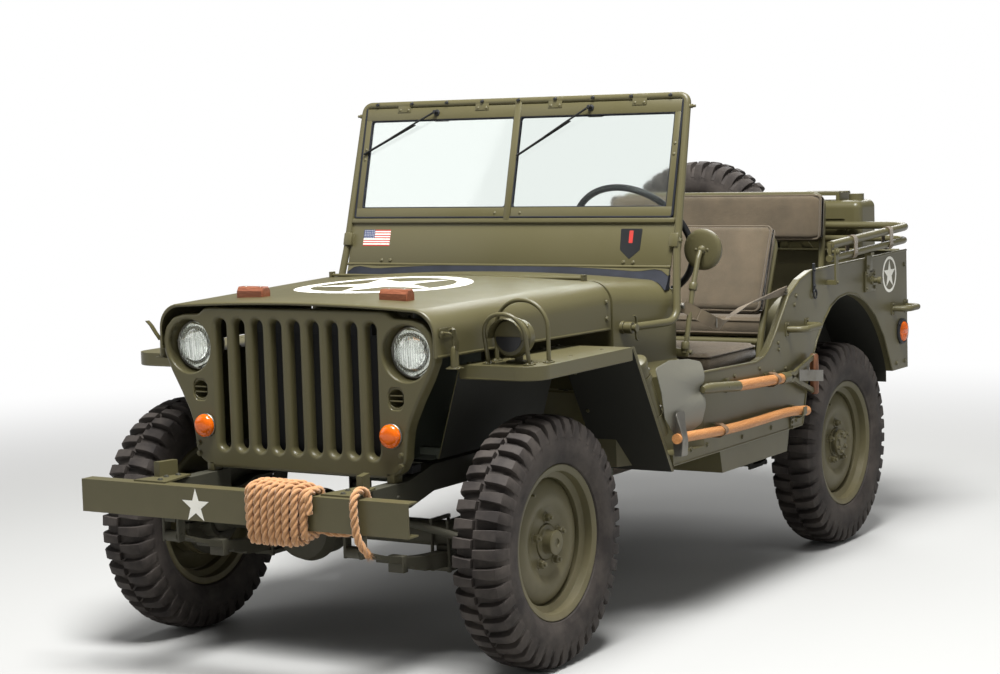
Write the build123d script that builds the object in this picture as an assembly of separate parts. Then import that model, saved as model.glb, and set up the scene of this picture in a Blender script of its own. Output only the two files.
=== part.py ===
# Army quarter-ton 4x4 field car with an open tub body, folding windshield and stowed tools.
# Millimetres, +Z up, the front faces -Y, +X is the driver's side. The origin is on the ground,
# under the middle of the car. Stations are distances behind the front axle.
from build123d import *
import math
import os

# Overall layout
WHEELBASE = 2032
TRACK = 1245
FRONT_OVERHANG = 563
REAR_OVERHANG = 743
AXLE_Z = 358
FRONT_AXLE_Y = (FRONT_OVERHANG - WHEELBASE - REAR_OVERHANG) / 2

# Clearances and the sheet's thickness
SKIN = 3
SEAT_GAP = 0.3
RUNNING = 5
PIN_FIT = 0.1

# Tyres and wheels, as distances out from the wheel's middle plane and radii
TYRE_R = 358
TYRE_HALF = 80
LUG_HEIGHT = 16
LUG_COUNT = 26
LUG_WIDTH = 40
RIM_HALF = 55
RIM_FLANGE_R = 220.5
RIM_SEAT_R = 204
RIM_WALL = 4
WELL_R = 184
HUB_OPENING_R = 52
WHEEL_BOLT_PCD = 139.7
WHEEL_NUTS = 5
DRUM_R = 128
SPINDLE_R = 22

# Axles and steering
AXLE_TUBE_R = 38
DIFF_X = -150
PINION_REACH = 190
KINGPIN_X = 522
KINGPIN_R = 12
BALL_R = 60
BALL_FLAT = 46
ARM_AHEAD = 150
TIE_Z = 372
TIE_RISE = 80
TIE_STACK = 22
TIE_PIN_R = 8
TIE_END_R = 15
BELL_X = 40
COLUMN_ANGLE = 30
COLUMN_R = 24
STEERING_WHEEL_R = 219
STEERING_RIM_R = 11
STUB_R = 12
STEERING_WHEEL_AT = (340, 1120, 1131)

# Frame
RAIL_X = 318
RAIL_W = 44
RAIL_H = 76
RAIL_WALL = 5
HORN_Z = 470
MID_RAIL_Z = 455
FRONT_RAIL_Z = 500
KICK_Z = 520
HORN_STATION = -515
MOTOR_MOUNT = 90
PINTLE_AT = (2640, 545)
PINTLE_R = (16, 34)

# Springs and shock absorbers
SPRING_HALF_W = 22
SPRING_EYE = 460
LEAF = 7
LEAVES = 6
SPRING_ARCH = 78
SPRING_TOP = AXLE_Z - 46 - SEAT_GAP
EYE_Z = SPRING_TOP - 4 + SPRING_ARCH
SHACKLE_Z = EYE_Z + 56
SPRING_PIN_R = 8
SHOCK_X = 384
SHOCK_FOOT = 96
SHOCK_FOOT_Z = 318
SHOCK_TOP = (150, 545)

# Power train
SHAFT_Z = 415
GEARBOX_END = 840
TRANSFER_END = 980
PIPE_X = 235
PIPE_Z = 405

# Bumpers
BUMPER_HALF = 565
BUMPER_Z = (457, 551)
BUMPER_DEPTH = 46
BUMPER_WALL = 5
REAR_BUMPER_X = 400
REAR_BUMPER_Z = (485, 640)

# Rope around the front bumper
ROPE_R = 11.5
COIL_X = (38, 265)
COIL_Z = (407, 591)
COIL_REACH = (46, 23)
COIL_ROUND = 40
ROPE_LOOP = [(266, -508, 446), (294, -507, 446.5), (321.5, -503, 446), (347, -500.5, 454), (369, -499.5, 470),
             (385, -499, 492), (393, -499, 518), (394, -499.5, 545), (395, -509.5, 562.3),
             (397, -526.8, 572.3), (399, -553.2, 572.3), (401, -570.5, 562.3), (403, -580.5, 545),
             (405, -581, 505), (408, -579.5, 463), (416, -572, 430), (430, -556, 404)]

# Nose; the grille's half outline runs from its top middle round to its foot
GRILLE_STATION = -283
GRILLE_RIM = 42
GRILLE_SKIN = 4
GRILLE_HALF = [(0, 1027), (300, 1025), (322, 1022), (342, 1006), (400, 1003), (440, 992),
               (468, 965), (481, 925), (474, 885), (452, 835), (418, 775), (392, 722),
               (380, 690), (373, 640), (371, 612), (352, 578), (318, 560), (0, 558)]
SLOT_COUNT = 9
SLOT_PITCH = 66
SLOT_W = 36
SLOT_Z = (614, 990)
SLOT_LIP = 26
HEADLIGHT_AT = (382, 910)
HEADLIGHT_HOLE_R = 78
LENS_R = 68
LENS_RECESS = 42
MARKER_AT = (345, 784)
MARKER_HOLE = (50, 60)
AMBER_AT = (328, 680)
AMBER_R = 33

# Front fenders
FENDER_STATIONS = (-150, 395)
FENDER_Z = 868
FENDER_IN = 470
FENDER_LIP = 38
FENDER_CORNER = 70
SPLASH_FOOT = (628, 466)
BLACKOUT_AT = (604, -70, 940)
CANISTER_TOP = (467, 815)
CANISTER_FOOT = (601, 585)
CANISTER_R = 31

# Hood
HOOD_STATIONS = (-290, 558)
HOOD_HALF = (485, 560)
HOOD_TOP = (1043, 1060)
HOOD_CROWN = (10, 14)
HOOD_EDGE_Z = 900
HOOD_SHOULDER = 70
HOOD_HINGE = (555, 1056)
HINGE_EAR_X = 470
HINGE_R = 5
REST_X = 255
REST_SIZE = (96, 40, 42)
REST_STATION = -130

# Tub
COWL_STATIONS = (568, 850)
COWL_HALF = 628
COWL_TOP = 1030
COWL_CROWN = 20
COWL_SHOULDER = 80
COWL_KNEE = 743
COWL_NECK = 785
TUB_HALF = 718
TUB_REAR = WHEELBASE + 518
RAIL_FOLD = 26
SIDE_BOTTOM = 480
REAR_BOTTOM = 575
FLOOR_Z = 534
FLOOR_SHEET = 4
REAR_FLOOR_Z = 597
RISER_STATION = WHEELBASE - 382
ARCH_FRONT = WHEELBASE - 442
ARCH_REAR = WHEELBASE + 366
TUB_TOP_REAR = 1013
WHEELHOUSE_X = 497
TUNNEL = [(-166, FLOOR_Z + 2), (-150, 690), (-120, 712), (120, 712), (150, 690), (166, FLOOR_Z + 2)]
TUNNEL_CUT = [(-162, FLOOR_Z - 10), (-162, FLOOR_Z + 2), (-147, 688), (-119, 709), (119, 709),
              (147, 688), (162, FLOOR_Z + 2), (162, FLOOR_Z - 10)]
FENDER_X = TUB_HALF + 2
CANISTER_X = FENDER_X - 30

# Windshield
SHIELD_LEAN = 14.8
SHIELD_FOOT = (843, 1033)
SHIELD_HALF = 627
SHIELD_TUBE_R = 12
SHIELD_RISE = 597
SHIELD_APRON = 32
GLASS_FROM = 196
GLASS_HALF = 3
SHIELD_PIVOT = (592, 612, 902)
SHIELD_PIN_R = 8

# Seats, as distances behind the seat's pivot where they are stations
SEAT_TUBE_R = 12
SEAT_X = 390
SEAT_HALF = 205
SEAT_PIVOT = (WHEELBASE - 912, 676)
SEAT_EAR = 20
BACK_LOW = (SEAT_PIVOT[0] + 420, 800)
BACK_HIGH = (SEAT_PIVOT[0] + 552, 1118)
REAR_SEAT_PIVOT = (WHEELBASE + 88, 700)
REAR_SEAT_HALF = 430
TANK_IN = 400
TANK_OUT = TUB_HALF - 28

# Stowage
BOW_TUBE_R = 14
BOW_X = TUB_HALF + 14
BOW_PIVOT = (WHEELBASE - 212, 1053)
BOW_REST = WHEELBASE + 118
BOW_PIN_R = 7
SHOVEL_OUT = 22
BLADE_R = 479
BLADE_WALL = 2.5
AXE_OUT = 30
SOCKET_R = 14
SHAFT_R = 17
SPARE_AT = (-200, 994)
SPARE_OFF = WHEELBASE + REAR_OVERHANG - TUB_REAR - TYRE_HALF
CAN_AT = (345, TUB_REAR + 125, 765)
CAN_SIZE = (345, 165, 430)
MIRROR_X = TUB_HALF - 58
MIRROR_AT = (984, 1115)
MIRROR_R = 59


def st(behind):
    """Y of a station given as a distance behind the front axle."""
    return FRONT_AXLE_Y + behind


def aft(behind):
    """Station of a place given as a distance behind the rear axle."""
    return WHEELBASE + behind


def block(x, y, z):
    """Box between pairs of limits; y is a pair of stations."""
    centre = ((x[0] + x[1]) / 2, st((y[0] + y[1]) / 2), (z[0] + z[1]) / 2)
    return Pos(*centre) * Box(x[1] - x[0], y[1] - y[0], z[1] - z[0])


def side_prism(points, x_low, x_high):
    """Side outline of (station, z) points, pushed across from x_low to x_high."""
    wire = Polyline(*[(st(s), z) for s, z in points], close=True)
    return side_push(make_face(wire), x_low, x_high)


def side_push(face, x_low, x_high):
    """Face drawn as (y, z), pushed across the car."""
    plane = Plane(origin=(x_low, 0, 0), x_dir=(0, 1, 0), z_dir=(1, 0, 0))
    return extrude(plane * face, x_high - x_low)


def cross_push(face, s_low, s_high):
    """Face drawn as (x, z), pushed along the car between two stations."""
    plane = Plane(origin=(0, st(s_high), 0), x_dir=(1, 0, 0), z_dir=(0, -1, 0))
    return extrude(plane * face, s_high - s_low)


def cross_prism(points, s_low, s_high):
    """Cross-section of (x, z) points, pushed along the car."""
    return cross_push(make_face(Polyline(*points, close=True)), s_low, s_high)


def plan_prism(points, z_low, z_high):
    """Plan outline of (x, station) points, pushed up."""
    wire = Polyline(*[(x, st(s)) for x, s in points], close=True)
    return extrude(Plane.XY.offset(z_low) * make_face(wire), z_high - z_low)


def rod(start, end, radius):
    """Round bar between two points, each (x, station, z)."""
    a = Vector(start[0], st(start[1]), start[2])
    b = Vector(end[0], st(end[1]), end[2])
    plane = Plane(origin=a, z_dir=b - a)
    return extrude(plane * Circle(radius), (b - a).length)


def across(x_low, x_high, s, z, radius):
    """Round bar across the car at a station."""
    return rod((x_low, s, z), (x_high, s, z), radius)


def upright(x, s, z_low, z_high, radius):
    """Upright round bar."""
    return rod((x, s, z_low), (x, s, z_high), radius)


def bar(points, radius, bend):
    """Bent round bar through (x, station, z) points, with one bend radius."""
    path = FilletPolyline(*[(x, st(s), z) for x, s, z in points], radius=bend)
    plane = Plane(origin=path @ 0, z_dir=path % 0)
    return sweep(plane * Circle(radius), path)


def turned(profile):
    """Closed (x, radius) outline turned about the X axis."""
    return revolve(make_face(Polyline(*profile, close=True)), Axis.X)


def turned_along(profile):
    """Closed (radius, y) outline turned about the Y axis."""
    return revolve(make_face(Polyline(*profile, close=True)), Axis.Y)


def globe(radius, flat):
    """Ball with a flat at its top and bottom, flat from its middle to each."""
    rim = math.sqrt(radius ** 2 - flat ** 2)
    side = ThreePointArc((rim, 0, -flat), (radius, 0, 0), (rim, 0, flat))
    back = Polyline((rim, 0, flat), (0, 0, flat), (0, 0, -flat), (rim, 0, -flat))
    return revolve(make_face([side, back]), Axis.Z)


def disc(x_low, x_high, radius):
    """Round disc or shaft about the X axis."""
    plane = Plane(origin=(x_low, 0, 0), z_dir=(1, 0, 0))
    return extrude(plane * Circle(radius), x_high - x_low)


def along(a, b, distance):
    """Point at a distance from a towards b."""
    length = math.dist(a, b)
    return tuple(p + (q - p) * distance / length for p, q in zip(a, b))


def flip(shape):
    """The same piece on the other side of the car."""
    return mirror(shape, about=Plane.YZ)


def pair(shape):
    """A piece and its mirror image."""
    return [shape, flip(shape)]


def node(name, *shapes):
    """Write one sub-part; shapes may be pieces or lists of pieces."""
    solids = []
    for shape in shapes:
        for piece in shape if isinstance(shape, list) else [shape]:
            solids += piece.solids()
    export_step(Compound(solids), f"parts/{name}.step")


def at_wheel(piece, side, station):
    """Wheel-space piece, +X outward, set at a wheel's middle."""
    placed = piece if side > 0 else flip(piece)
    return Pos(side * TRACK / 2, st(station), AXLE_Z) * placed


# Wheels


def wheel_disc():
    """Rim with its drop well, dished disc and nuts."""
    edge = RIM_HALF + 7
    outer = [(-edge, RIM_FLANGE_R), (-RIM_HALF - 2, RIM_FLANGE_R), (-RIM_HALF, RIM_SEAT_R),
             (-30, RIM_SEAT_R - 1),
             (-22, WELL_R), (22, WELL_R), (30, RIM_SEAT_R - 1), (RIM_HALF, RIM_SEAT_R),
             (RIM_HALF + 2, RIM_FLANGE_R), (edge, RIM_FLANGE_R)]
    under = RIM_SEAT_R - RIM_WALL
    inner = [(edge, RIM_FLANGE_R - 5), (edge - 3, under), (33, under - 1), (25, WELL_R - RIM_WALL),
             (-25, WELL_R - RIM_WALL), (-33, under - 1), (3 - edge, under), (-edge, RIM_FLANGE_R - 5)]
    rim = turned(outer + inner)
    dish = turned([(0, WELL_R - 2), (8, WELL_R - 2), (28, 150), (32, 112), (22, 94),
                   (22, HUB_OPENING_R), (16, HUB_OPENING_R), (16, 96), (26, 112), (22, 146)])
    nuts = [Rot(360 / WHEEL_NUTS * k, 0, 0) * Pos(22, 0, WHEEL_BOLT_PCD / 2)
            * Rot(0, 90, 0) * extrude(RegularPolygon(12, 6), 16) for k in range(WHEEL_NUTS)]
    return rim + [dish] + nuts


def hub_and_drum(cap_reach, flanged):
    """Brake drum and hub; a driven rear hub has a bolted flange."""
    bore = SPINDLE_R + PIN_FIT
    drum = turned([(-52, DRUM_R), (8, DRUM_R), (16, DRUM_R - 10), (16, bore), (-14, bore), (-14, 40), (2, 44),
                   (2, DRUM_R - 8), (-52, DRUM_R - 6)])
    cap = disc(16, cap_reach, 34)
    if flanged:
        bolts = [Rot(60 * k, 0, 0) * Pos(cap_reach, 0, 34) * Rot(0, 90, 0) * Cylinder(6, 12)
                 for k in range(6)]
        cap = cap + [disc(cap_reach - 8, cap_reach, 46)] + bolts
    return drum + cap


def tyre():
    """Carcass and two staggered rows of tread bars."""
    bead_x = RIM_HALF - 0.5
    bead_r = RIM_FLANGE_R + 1
    wall_r = TYRE_R - 73
    edge = (TYRE_HALF - 14, TYRE_R - 24)
    right = ThreePointArc((bead_x, bead_r), (TYRE_HALF, wall_r), edge)
    crown = ThreePointArc(edge, (0, TYRE_R - LUG_HEIGHT), (-edge[0], edge[1]))
    left = ThreePointArc((-edge[0], edge[1]), (-TYRE_HALF, wall_r), (-bead_x, bead_r))
    seat_r = RIM_SEAT_R + 0.5
    bead = Polyline((-bead_x, bead_r), (-bead_x, seat_r), (bead_x, seat_r), (bead_x, bead_r))
    carcass = revolve(make_face([right, crown, left, bead]), Axis.X)
    lugs = []
    for side in (1, -1):
        for k in range(LUG_COUNT):
            angle = 360 / LUG_COUNT * (k + (0 if side > 0 else 0.5))
            lug = Pos(side * (TYRE_HALF - 41), 0, 15 - TYRE_R) * Box(60, LUG_WIDTH, 30)
            lugs.append(Rot(angle, 0, 0) * lug)
    return carcass + lugs


def wheels():
    front = wheel_disc() + hub_and_drum(58, False)
    rear = wheel_disc() + hub_and_drum(46, True)
    rubber = tyre()
    for name, side in (("left", 1), ("right", -1)):
        node(f"wheel_front_{name}", at_wheel(front, side, 0))
        node(f"wheel_rear_{name}", at_wheel(rear, side, WHEELBASE))
        node(f"tyre_front_{name}", at_wheel(rubber, side, 0))
        node(f"tyre_rear_{name}", at_wheel(rubber, side, WHEELBASE))
    x, z = SPARE_AT
    stand = Pos(x, st(TUB_REAR + SPARE_OFF), z) * Rot(0, 0, 90)
    node("spare_tyre", stand * rubber)
    hub = disc(-SPARE_OFF + SEAT_GAP, 16, 36) + disc(14, 16, 90)
    plate = block((x - 80, x + 80), (TUB_REAR + SEAT_GAP, TUB_REAR + 8), (z - 80, TUB_TOP_REAR - 2))
    node("spare_wheel", stand * (wheel_disc() + hub) + plate)


# Axles and steering


def axle_z(shape, station):
    return Pos(0, st(station), AXLE_Z) * shape


def differential(cover_side):
    """Housing with its cover towards cover_side and the pinion neck the other way."""
    profile = [(0, 112), (60, 106), (96, 82), (108, 50), (108, 40), (98, 34), (98, -40),
               (72, -80), (44, -110), (34, -PINION_REACH), (0, -PINION_REACH)]
    return Pos(DIFF_X, 0, 0) * turned_along([(r, cover_side * y) for r, y in profile])


def axles():
    tube = disc(-KINGPIN_X + 40, KINGPIN_X - 40, AXLE_TUBE_R)
    balls = []
    for side in (1, -1):
        hole = Cylinder(KINGPIN_R + PIN_FIT, 2 * BALL_R)
        balls.append(Pos(side * KINGPIN_X, 0, 0) * (globe(BALL_R, BALL_FLAT) - hole))
    pads = [Pos(side * RAIL_X, 0, -37.5) * Box(RAIL_W, 64, 15) for side in (1, -1)]
    post_top = TIE_Z + TIE_RISE - 30 - AXLE_Z - SEAT_GAP
    bell_post = Pos(BELL_X, 0, post_top / 2) * Box(50, 50, post_top)
    bell_bore = Pos(BELL_X, 0, post_top) * Cylinder(KINGPIN_R + PIN_FIT, 60)
    front = (tube + [differential(-1), bell_post] + balls + pads) - bell_bore
    node("front_axle", axle_z(front, 0))
    rear_tube = disc(-TRACK / 2 + 70, TRACK / 2 - 70, AXLE_TUBE_R)
    ends = []
    for side in (1, -1):
        end = disc(-70, -62, DRUM_R) + disc(-70, 10, SPINDLE_R)
        ends.append(Pos(side * TRACK / 2, 0, 0) * (end if side > 0 else flip(end)))
    node("rear_axle", axle_z(rear_tube + [differential(1)] + ends + pads, WHEELBASE))


def knuckle():
    """Left knuckle in kingpin space: a cup round the axle's ball, spindle and steering arm."""
    reach = TRACK / 2 - KINGPIN_X
    inner = BALL_R + RUNNING
    outer = inner + 12
    flat = BALL_FLAT + RUNNING
    into_wall = globe(inner + 5, flat + 5)
    cup = globe(outer, flat + 12) - globe(inner, flat) - Pos(-80, 0, 0) * Box(120, 240, 240)
    bosses = [Pos(0, 0, up * (flat + 16)) * Cylinder(KINGPIN_R + 7, 12) for up in (1, -1)]
    pins = [Pos(0, 0, up * (flat - 4)) * Cylinder(KINGPIN_R, 30) for up in (1, -1)]
    plate = disc(reach - 70, reach - 62, DRUM_R - 4) - into_wall
    spindle = disc(outer - 6, reach + 10, SPINDLE_R)
    arm_mid = TIE_Z - AXLE_Z - 16 - 8
    arm = Pos(2, -ARM_AHEAD / 2 - 15, arm_mid) * Box(36, ARM_AHEAD + 10, 14)
    arm = arm - into_wall - Pos(0, -ARM_AHEAD, 0) * Cylinder(TIE_PIN_R + PIN_FIT, 80)
    return cup + bosses + pins + [plate, spindle, arm]


def steering():
    """Knuckles, the two tie rods on one pin, and the bell crank on the axle's post."""
    left = knuckle()
    node("knuckle_left", Pos(KINGPIN_X, st(0), AXLE_Z) * left)
    node("knuckle_right", Pos(-KINGPIN_X, st(0), AXLE_Z) * flip(left))
    joined = upright(BELL_X, -ARM_AHEAD, TIE_Z + TIE_RISE - 32, TIE_Z + TIE_RISE + TIE_STACK, TIE_PIN_R)
    for side, rise in ((1, TIE_RISE), (-1, TIE_RISE + TIE_STACK)):
        outer = (side * KINGPIN_X, -ARM_AHEAD, TIE_Z)
        inner = (BELL_X, -ARM_AHEAD, TIE_Z + rise)
        ends = [upright(x, s, z - 10, z + 10, TIE_END_R) for x, s, z in (outer, inner)]
        pin = upright(outer[0], outer[1], TIE_Z - 32, TIE_Z, TIE_PIN_R)
        joined = joined + [rod(outer, inner, 11), pin] + ends
    node("tie_rods", joined)
    top = TIE_Z + TIE_RISE - 16
    plate = [(BELL_X - 22, 6), (BELL_X - 14, -ARM_AHEAD), (BELL_X + 14, -ARM_AHEAD), (BELL_X + 22, 6)]
    crank = plan_prism(plate, top - 14, top)
    eye = upright(BELL_X, -ARM_AHEAD, top - 14, top, TIE_END_R + 3)
    boss = upright(BELL_X, 0, top - 14, top + 6, 22)
    pivot = upright(BELL_X, 0, top - 42, top - 6, KINGPIN_R)
    hole = upright(BELL_X, -ARM_AHEAD, top - 30, top + 30, TIE_PIN_R + PIN_FIT)
    node("bell_crank", crank + [boss, pivot, eye] - hole)


# Frame


def rail_path():
    """Bottom edge of a side rail, as (station, z) points from the front horn to the tail."""
    return [(HORN_STATION, HORN_Z), (-220, HORN_Z), (-100, FRONT_RAIL_Z), (230, FRONT_RAIL_Z),
            (480, MID_RAIL_Z), (aft(-377), MID_RAIL_Z), (aft(-242), KICK_Z), (TUB_REAR - 10, KICK_Z)]


def rail_bottom(station):
    """Height of a side rail's bottom edge at a station."""
    path = rail_path()
    for (s0, z0), (s1, z1) in zip(path, path[1:]):
        if s0 <= station <= s1:
            return z0 + (z1 - z0) * (station - s0) / (s1 - s0)
    return KICK_Z


def frame():
    """Two channel rails with their brackets, and the cross members between them."""
    path = rail_path()
    outline = path + [(s, z + RAIL_H) for s, z in reversed(path)]
    low, high = RAIL_X - RAIL_W / 2, RAIL_X + RAIL_W / 2
    solid = side_prism(outline, low, high)
    pocket_path = [(s + (5 if s > 0 else 0), z + RAIL_WALL) for s, z in path[1:-1]]
    pocket = pocket_path + [(s, z + RAIL_H - 2 * RAIL_WALL) for s, z in reversed(pocket_path)]
    rail = solid - side_prism(pocket, low - 1, high - RAIL_WALL)
    hangers = [hanger(s) for s in (SPRING_EYE, WHEELBASE - SPRING_EYE)]
    lugs = []
    for s in (-SPRING_EYE, WHEELBASE + SPRING_EYE):
        lug = block((RAIL_X - 20, RAIL_X + 20), (s - 15, s + 15), (SHACKLE_Z - 14, rail_bottom(s) + 2))
        lugs.append(lug - across(RAIL_X - 40, RAIL_X + 40, s, SHACKLE_Z, SPRING_PIN_R + PIN_FIT))
    mounts = [block((low, high), (s, s + 50), (rail_bottom(s) + RAIL_H - 2, floor - SEAT_GAP))
              for s, floor in ((900, FLOOR_Z), (aft(-632), FLOOR_Z), (aft(-32), REAR_FLOOR_Z))]
    node("frame_rails", *pair(rail + hangers + lugs + mounts))
    # Columns: station, bottom and top of each cross member
    members = [block((-low, low), (s - 20, s + 20), (z0, z1))
               for s, z0, z1 in ((MOTOR_MOUNT, FRONT_RAIL_Z, FRONT_RAIL_Z + 48),
                                 (1060, MID_RAIL_Z + 2, MID_RAIL_Z + 74),
                                  (aft(-432), MID_RAIL_Z + 15, MID_RAIL_Z + 73),
                                  (aft(158), KICK_Z + 8, KICK_Z + 68))]
    tail = block((-low, low), (TUB_REAR - 50, TUB_REAR - 10), (KICK_Z + 8, KICK_Z + 68))
    front_tube = across(-low, low, HORN_STATION + 45, HORN_Z + 38, 22)
    node("frame_members", members + [front_tube, tail + pintle()])


def hanger(station):
    """Bracket that holds a spring's fixed eye, with its pin."""
    top = rail_bottom(station) + 2
    cheeks = [block((RAIL_X + x - 3, RAIL_X + x + 3), (station - 20, station + 20), (EYE_Z - 20, top))
              for x in (-27, 27)]
    cap = block((RAIL_X - 30, RAIL_X + 30), (station - 20, station + 20), (top - 6, top))
    return cap + cheeks + across(RAIL_X - 30, RAIL_X + 30, station, EYE_Z, SPRING_PIN_R)


def pintle():
    """Tow hook on the rear cross member."""
    s, z = PINTLE_AT
    bore, outer = PINTLE_R
    plate = block((-60, 60), (TUB_REAR - 10, TUB_REAR + 2), (KICK_Z - 20, REAR_BOTTOM - 1))
    neck = rod((0, TUB_REAR, z), (0, s - outer + 6, z), 22)
    jaw = across(-17, 17, s, z, outer) - across(-20, 20, s, z, bore)
    return [plate, neck - across(-30, 30, s, z, bore), jaw]


def bumper():
    """Front channel bumper with its plates, wings and upright tabs."""
    z_low, z_high = BUMPER_Z
    face = -FRONT_OVERHANG
    back = face + BUMPER_DEPTH
    beam = block((-BUMPER_HALF, BUMPER_HALF), (face, back), BUMPER_Z)
    beam = beam - block((-BUMPER_HALF - 1, BUMPER_HALF + 1), (face + BUMPER_WALL, back + 1),
                        (z_low + BUMPER_WALL, z_high - BUMPER_WALL))
    inner = COIL_X[1] + RUNNING
    plates = []
    for side in (1, -1):
        x_low, x_high = sorted((side * (RAIL_X + RAIL_W / 2), side * (RAIL_X - RAIL_W / 2)))
        plates.append(block((x_low, x_high), (face + 2, HORN_STATION), (HORN_Z + 1, z_high - 1)))
        wing = plan_prism([(side * inner, face + 20), (side * 386, face + 20),
                           (side * 350, -400), (side * 296, -400)], z_high - 1, z_high + 5)
        tab = plan_prism([(side * 326, -420), (side * 346, -420), (side * 364, -480),
                          (side * 344, -480)], z_high - 1, z_high + 48)
        plates += [wing, tab]
    node("front_bumper", beam + plates)


def rear_bumpers():
    """Two looped bumperettes on arms behind the rails."""
    z_low, z_high = REAR_BUMPER_Z
    pieces = []
    for side in (1, -1):
        wire = FilletPolyline((st(TUB_REAR - 4), z_low), (st(TUB_REAR + 50), z_low),
                              (st(TUB_REAR + 50), z_high),
                              (st(TUB_REAR + 8), z_high), radius=26)
        middle = side * REAR_BUMPER_X
        band = side_push(make_face(offset(wire, 5)), middle - 22, middle + 22)
        arm = block(sorted((side * (RAIL_X - 20), side * (REAR_BUMPER_X + 22))),
                    (TUB_REAR - 10 + SEAT_GAP, TUB_REAR + 2), (z_low - 3, REAR_BOTTOM - 1))
        pieces.append(band + arm)
    return pieces


def rope():
    """Barrel of rope wound round the bumper, and the loose loop beside it."""
    s0, s1 = -FRONT_OVERHANG, -FRONT_OVERHANG + BUMPER_DEPTH
    z0, z1 = BUMPER_Z
    barrel = block(COIL_X, (s0 - COIL_REACH[0], s1 + COIL_REACH[1]), COIL_Z)
    barrel = fillet(barrel.edges().filter_by(Axis.X), COIL_ROUND)
    hole = block((COIL_X[0] - 1, COIL_X[1] + 1), (s0 - SEAT_GAP, s1 + SEAT_GAP),
                 (z0 - SEAT_GAP, z1 + SEAT_GAP))
    node("rope_coil", barrel - hole)
    points = [Vector(x, st(s), z) for x, s, z in ROPE_LOOP]
    pieces = []
    start = points[0]
    for before, at, after in zip(points, points[1:], points[2:]):
        back, on = (before - at), (after - at)
        half_turn = math.pi / 2 - back.get_angle(on) / 360 * math.pi
        run = 0.45 * min(back.length, on.length)
        radius = run / math.tan(half_turn)
        print("rope radius", round(radius, 1))
        bisector = (back.normalized() + on.normalized()).normalized()
        enter, leave = at + back.normalized() * run, at + on.normalized() * run
        middle = at + bisector * (radius / math.cos(half_turn) - radius)
        pieces += [Line(start, enter), ThreePointArc(enter, middle, leave)]
        start = leave
    pieces.append(Line(start, points[-1]))
    path = Wire(pieces)
    tube = sweep(Plane(origin=path @ 0, z_dir=path % 0) * Circle(ROPE_R), path)
    print("rope volume", round(tube.volume / (math.pi * ROPE_R ** 2 * path.length), 4))
    node("rope_loop", tube)


# Springs and shock absorbers


def leaf(station, half, z_mid, z_end, thick):
    """One bent leaf, highest at its ends."""
    bottom = ThreePointArc((st(station - half), z_end), (st(station), z_mid), (st(station + half), z_end))
    top = ThreePointArc((st(station + half), z_end + thick), (st(station), z_mid + thick),
                        (st(station - half), z_end + thick))
    ends = [Line(top @ 1, bottom @ 0), Line(bottom @ 1, top @ 0)]
    face = make_face([bottom, ends[1], top, ends[0]])
    return side_push(face, RAIL_X - SPRING_HALF_W, RAIL_X + SPRING_HALF_W)


def spring_clamp(station, lean):
    """Plate, U-bolts and shock absorber bracket under a spring, and the shackle at its free end."""
    under = SPRING_TOP - LEAF * LEAVES
    plate = (under - 12, under + 1)
    out = RAIL_X + 34
    pieces = [block((RAIL_X - 34, out), (station - 52, station + 52), plate)]
    for x in (RAIL_X - 28, RAIL_X + 28):
        for s in (station - 44, station + 44):
            pieces.append(upright(x, s, under - 4, AXLE_Z + 44, 5))
        pieces.append(block((x - 5, x + 5), (station - 49, station + 49),
                            (AXLE_Z + AXLE_TUBE_R + SEAT_GAP, AXLE_Z + 48)))
    foot = station + lean * SHOCK_FOOT
    pieces.append(block((out, out + 8), sorted((station, foot + lean * 14)), plate))
    pieces.append(block((out, out + 8), (foot - 14, foot + 14), (under - 12, SHOCK_FOOT_Z + 12)))
    end = station - lean * SPRING_EYE
    for x in (RAIL_X - 26, RAIL_X + 26):
        pieces.append(block((x - 4, x + 4), (end - 14, end + 14), (EYE_Z - 16, SHACKLE_Z + 14)))
    for z in (EYE_Z, SHACKLE_Z):
        pieces.append(across(RAIL_X - 32, RAIL_X + 32, end, z, SPRING_PIN_R))
    return pieces


def springs():
    sets = []
    for station, lean in ((0, 1), (WHEELBASE, -1)):
        leaves = []
        for k in range(LEAVES):
            share = 1 - 0.13 * k
            low = SPRING_TOP - LEAF * (k + 1)
            leaves.append(leaf(station, (SPRING_EYE - 8) * share, low, low + SPRING_ARCH * share ** 2, LEAF))
        eyes = [across(RAIL_X - SPRING_HALF_W, RAIL_X + SPRING_HALF_W, station + sign * SPRING_EYE, EYE_Z, 17)
                for sign in (-1, 1)]
        bore = across(RAIL_X - 32, RAIL_X + 32, station + lean * SPRING_EYE, EYE_Z, SPRING_PIN_R + PIN_FIT)
        sets.append((leaves[0] + leaves[1:] + eyes + spring_clamp(station, lean)) - bore)
    node("leaf_springs", *[pair(one)[k] for one in sets for k in (0, 1)])


def shocks():
    pieces = []
    reach, top_z = SHOCK_TOP
    for station, lean in ((0, 1), (WHEELBASE, -1)):
        foot = (SHOCK_X, station + lean * SHOCK_FOOT, SHOCK_FOOT_Z)
        top = (SHOCK_X, station + lean * reach, top_z)
        middle = tuple((a + b) / 2 for a, b in zip(foot, top))
        body = rod(foot, middle, 18) + rod(middle, top, 22)
        upper = across(RAIL_X + RAIL_W / 2 + SEAT_GAP, SHOCK_X + 12, top[1], top_z - 12, 9)
        lower = across(RAIL_X + 42 + SEAT_GAP, SHOCK_X + 12, foot[1], SHOCK_FOOT_Z + 4, 9)
        pieces.append(body + upper + lower)
    node("shock_absorbers", *[pair(one)[k] for one in pieces for k in (0, 1)])


# Power train


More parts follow.
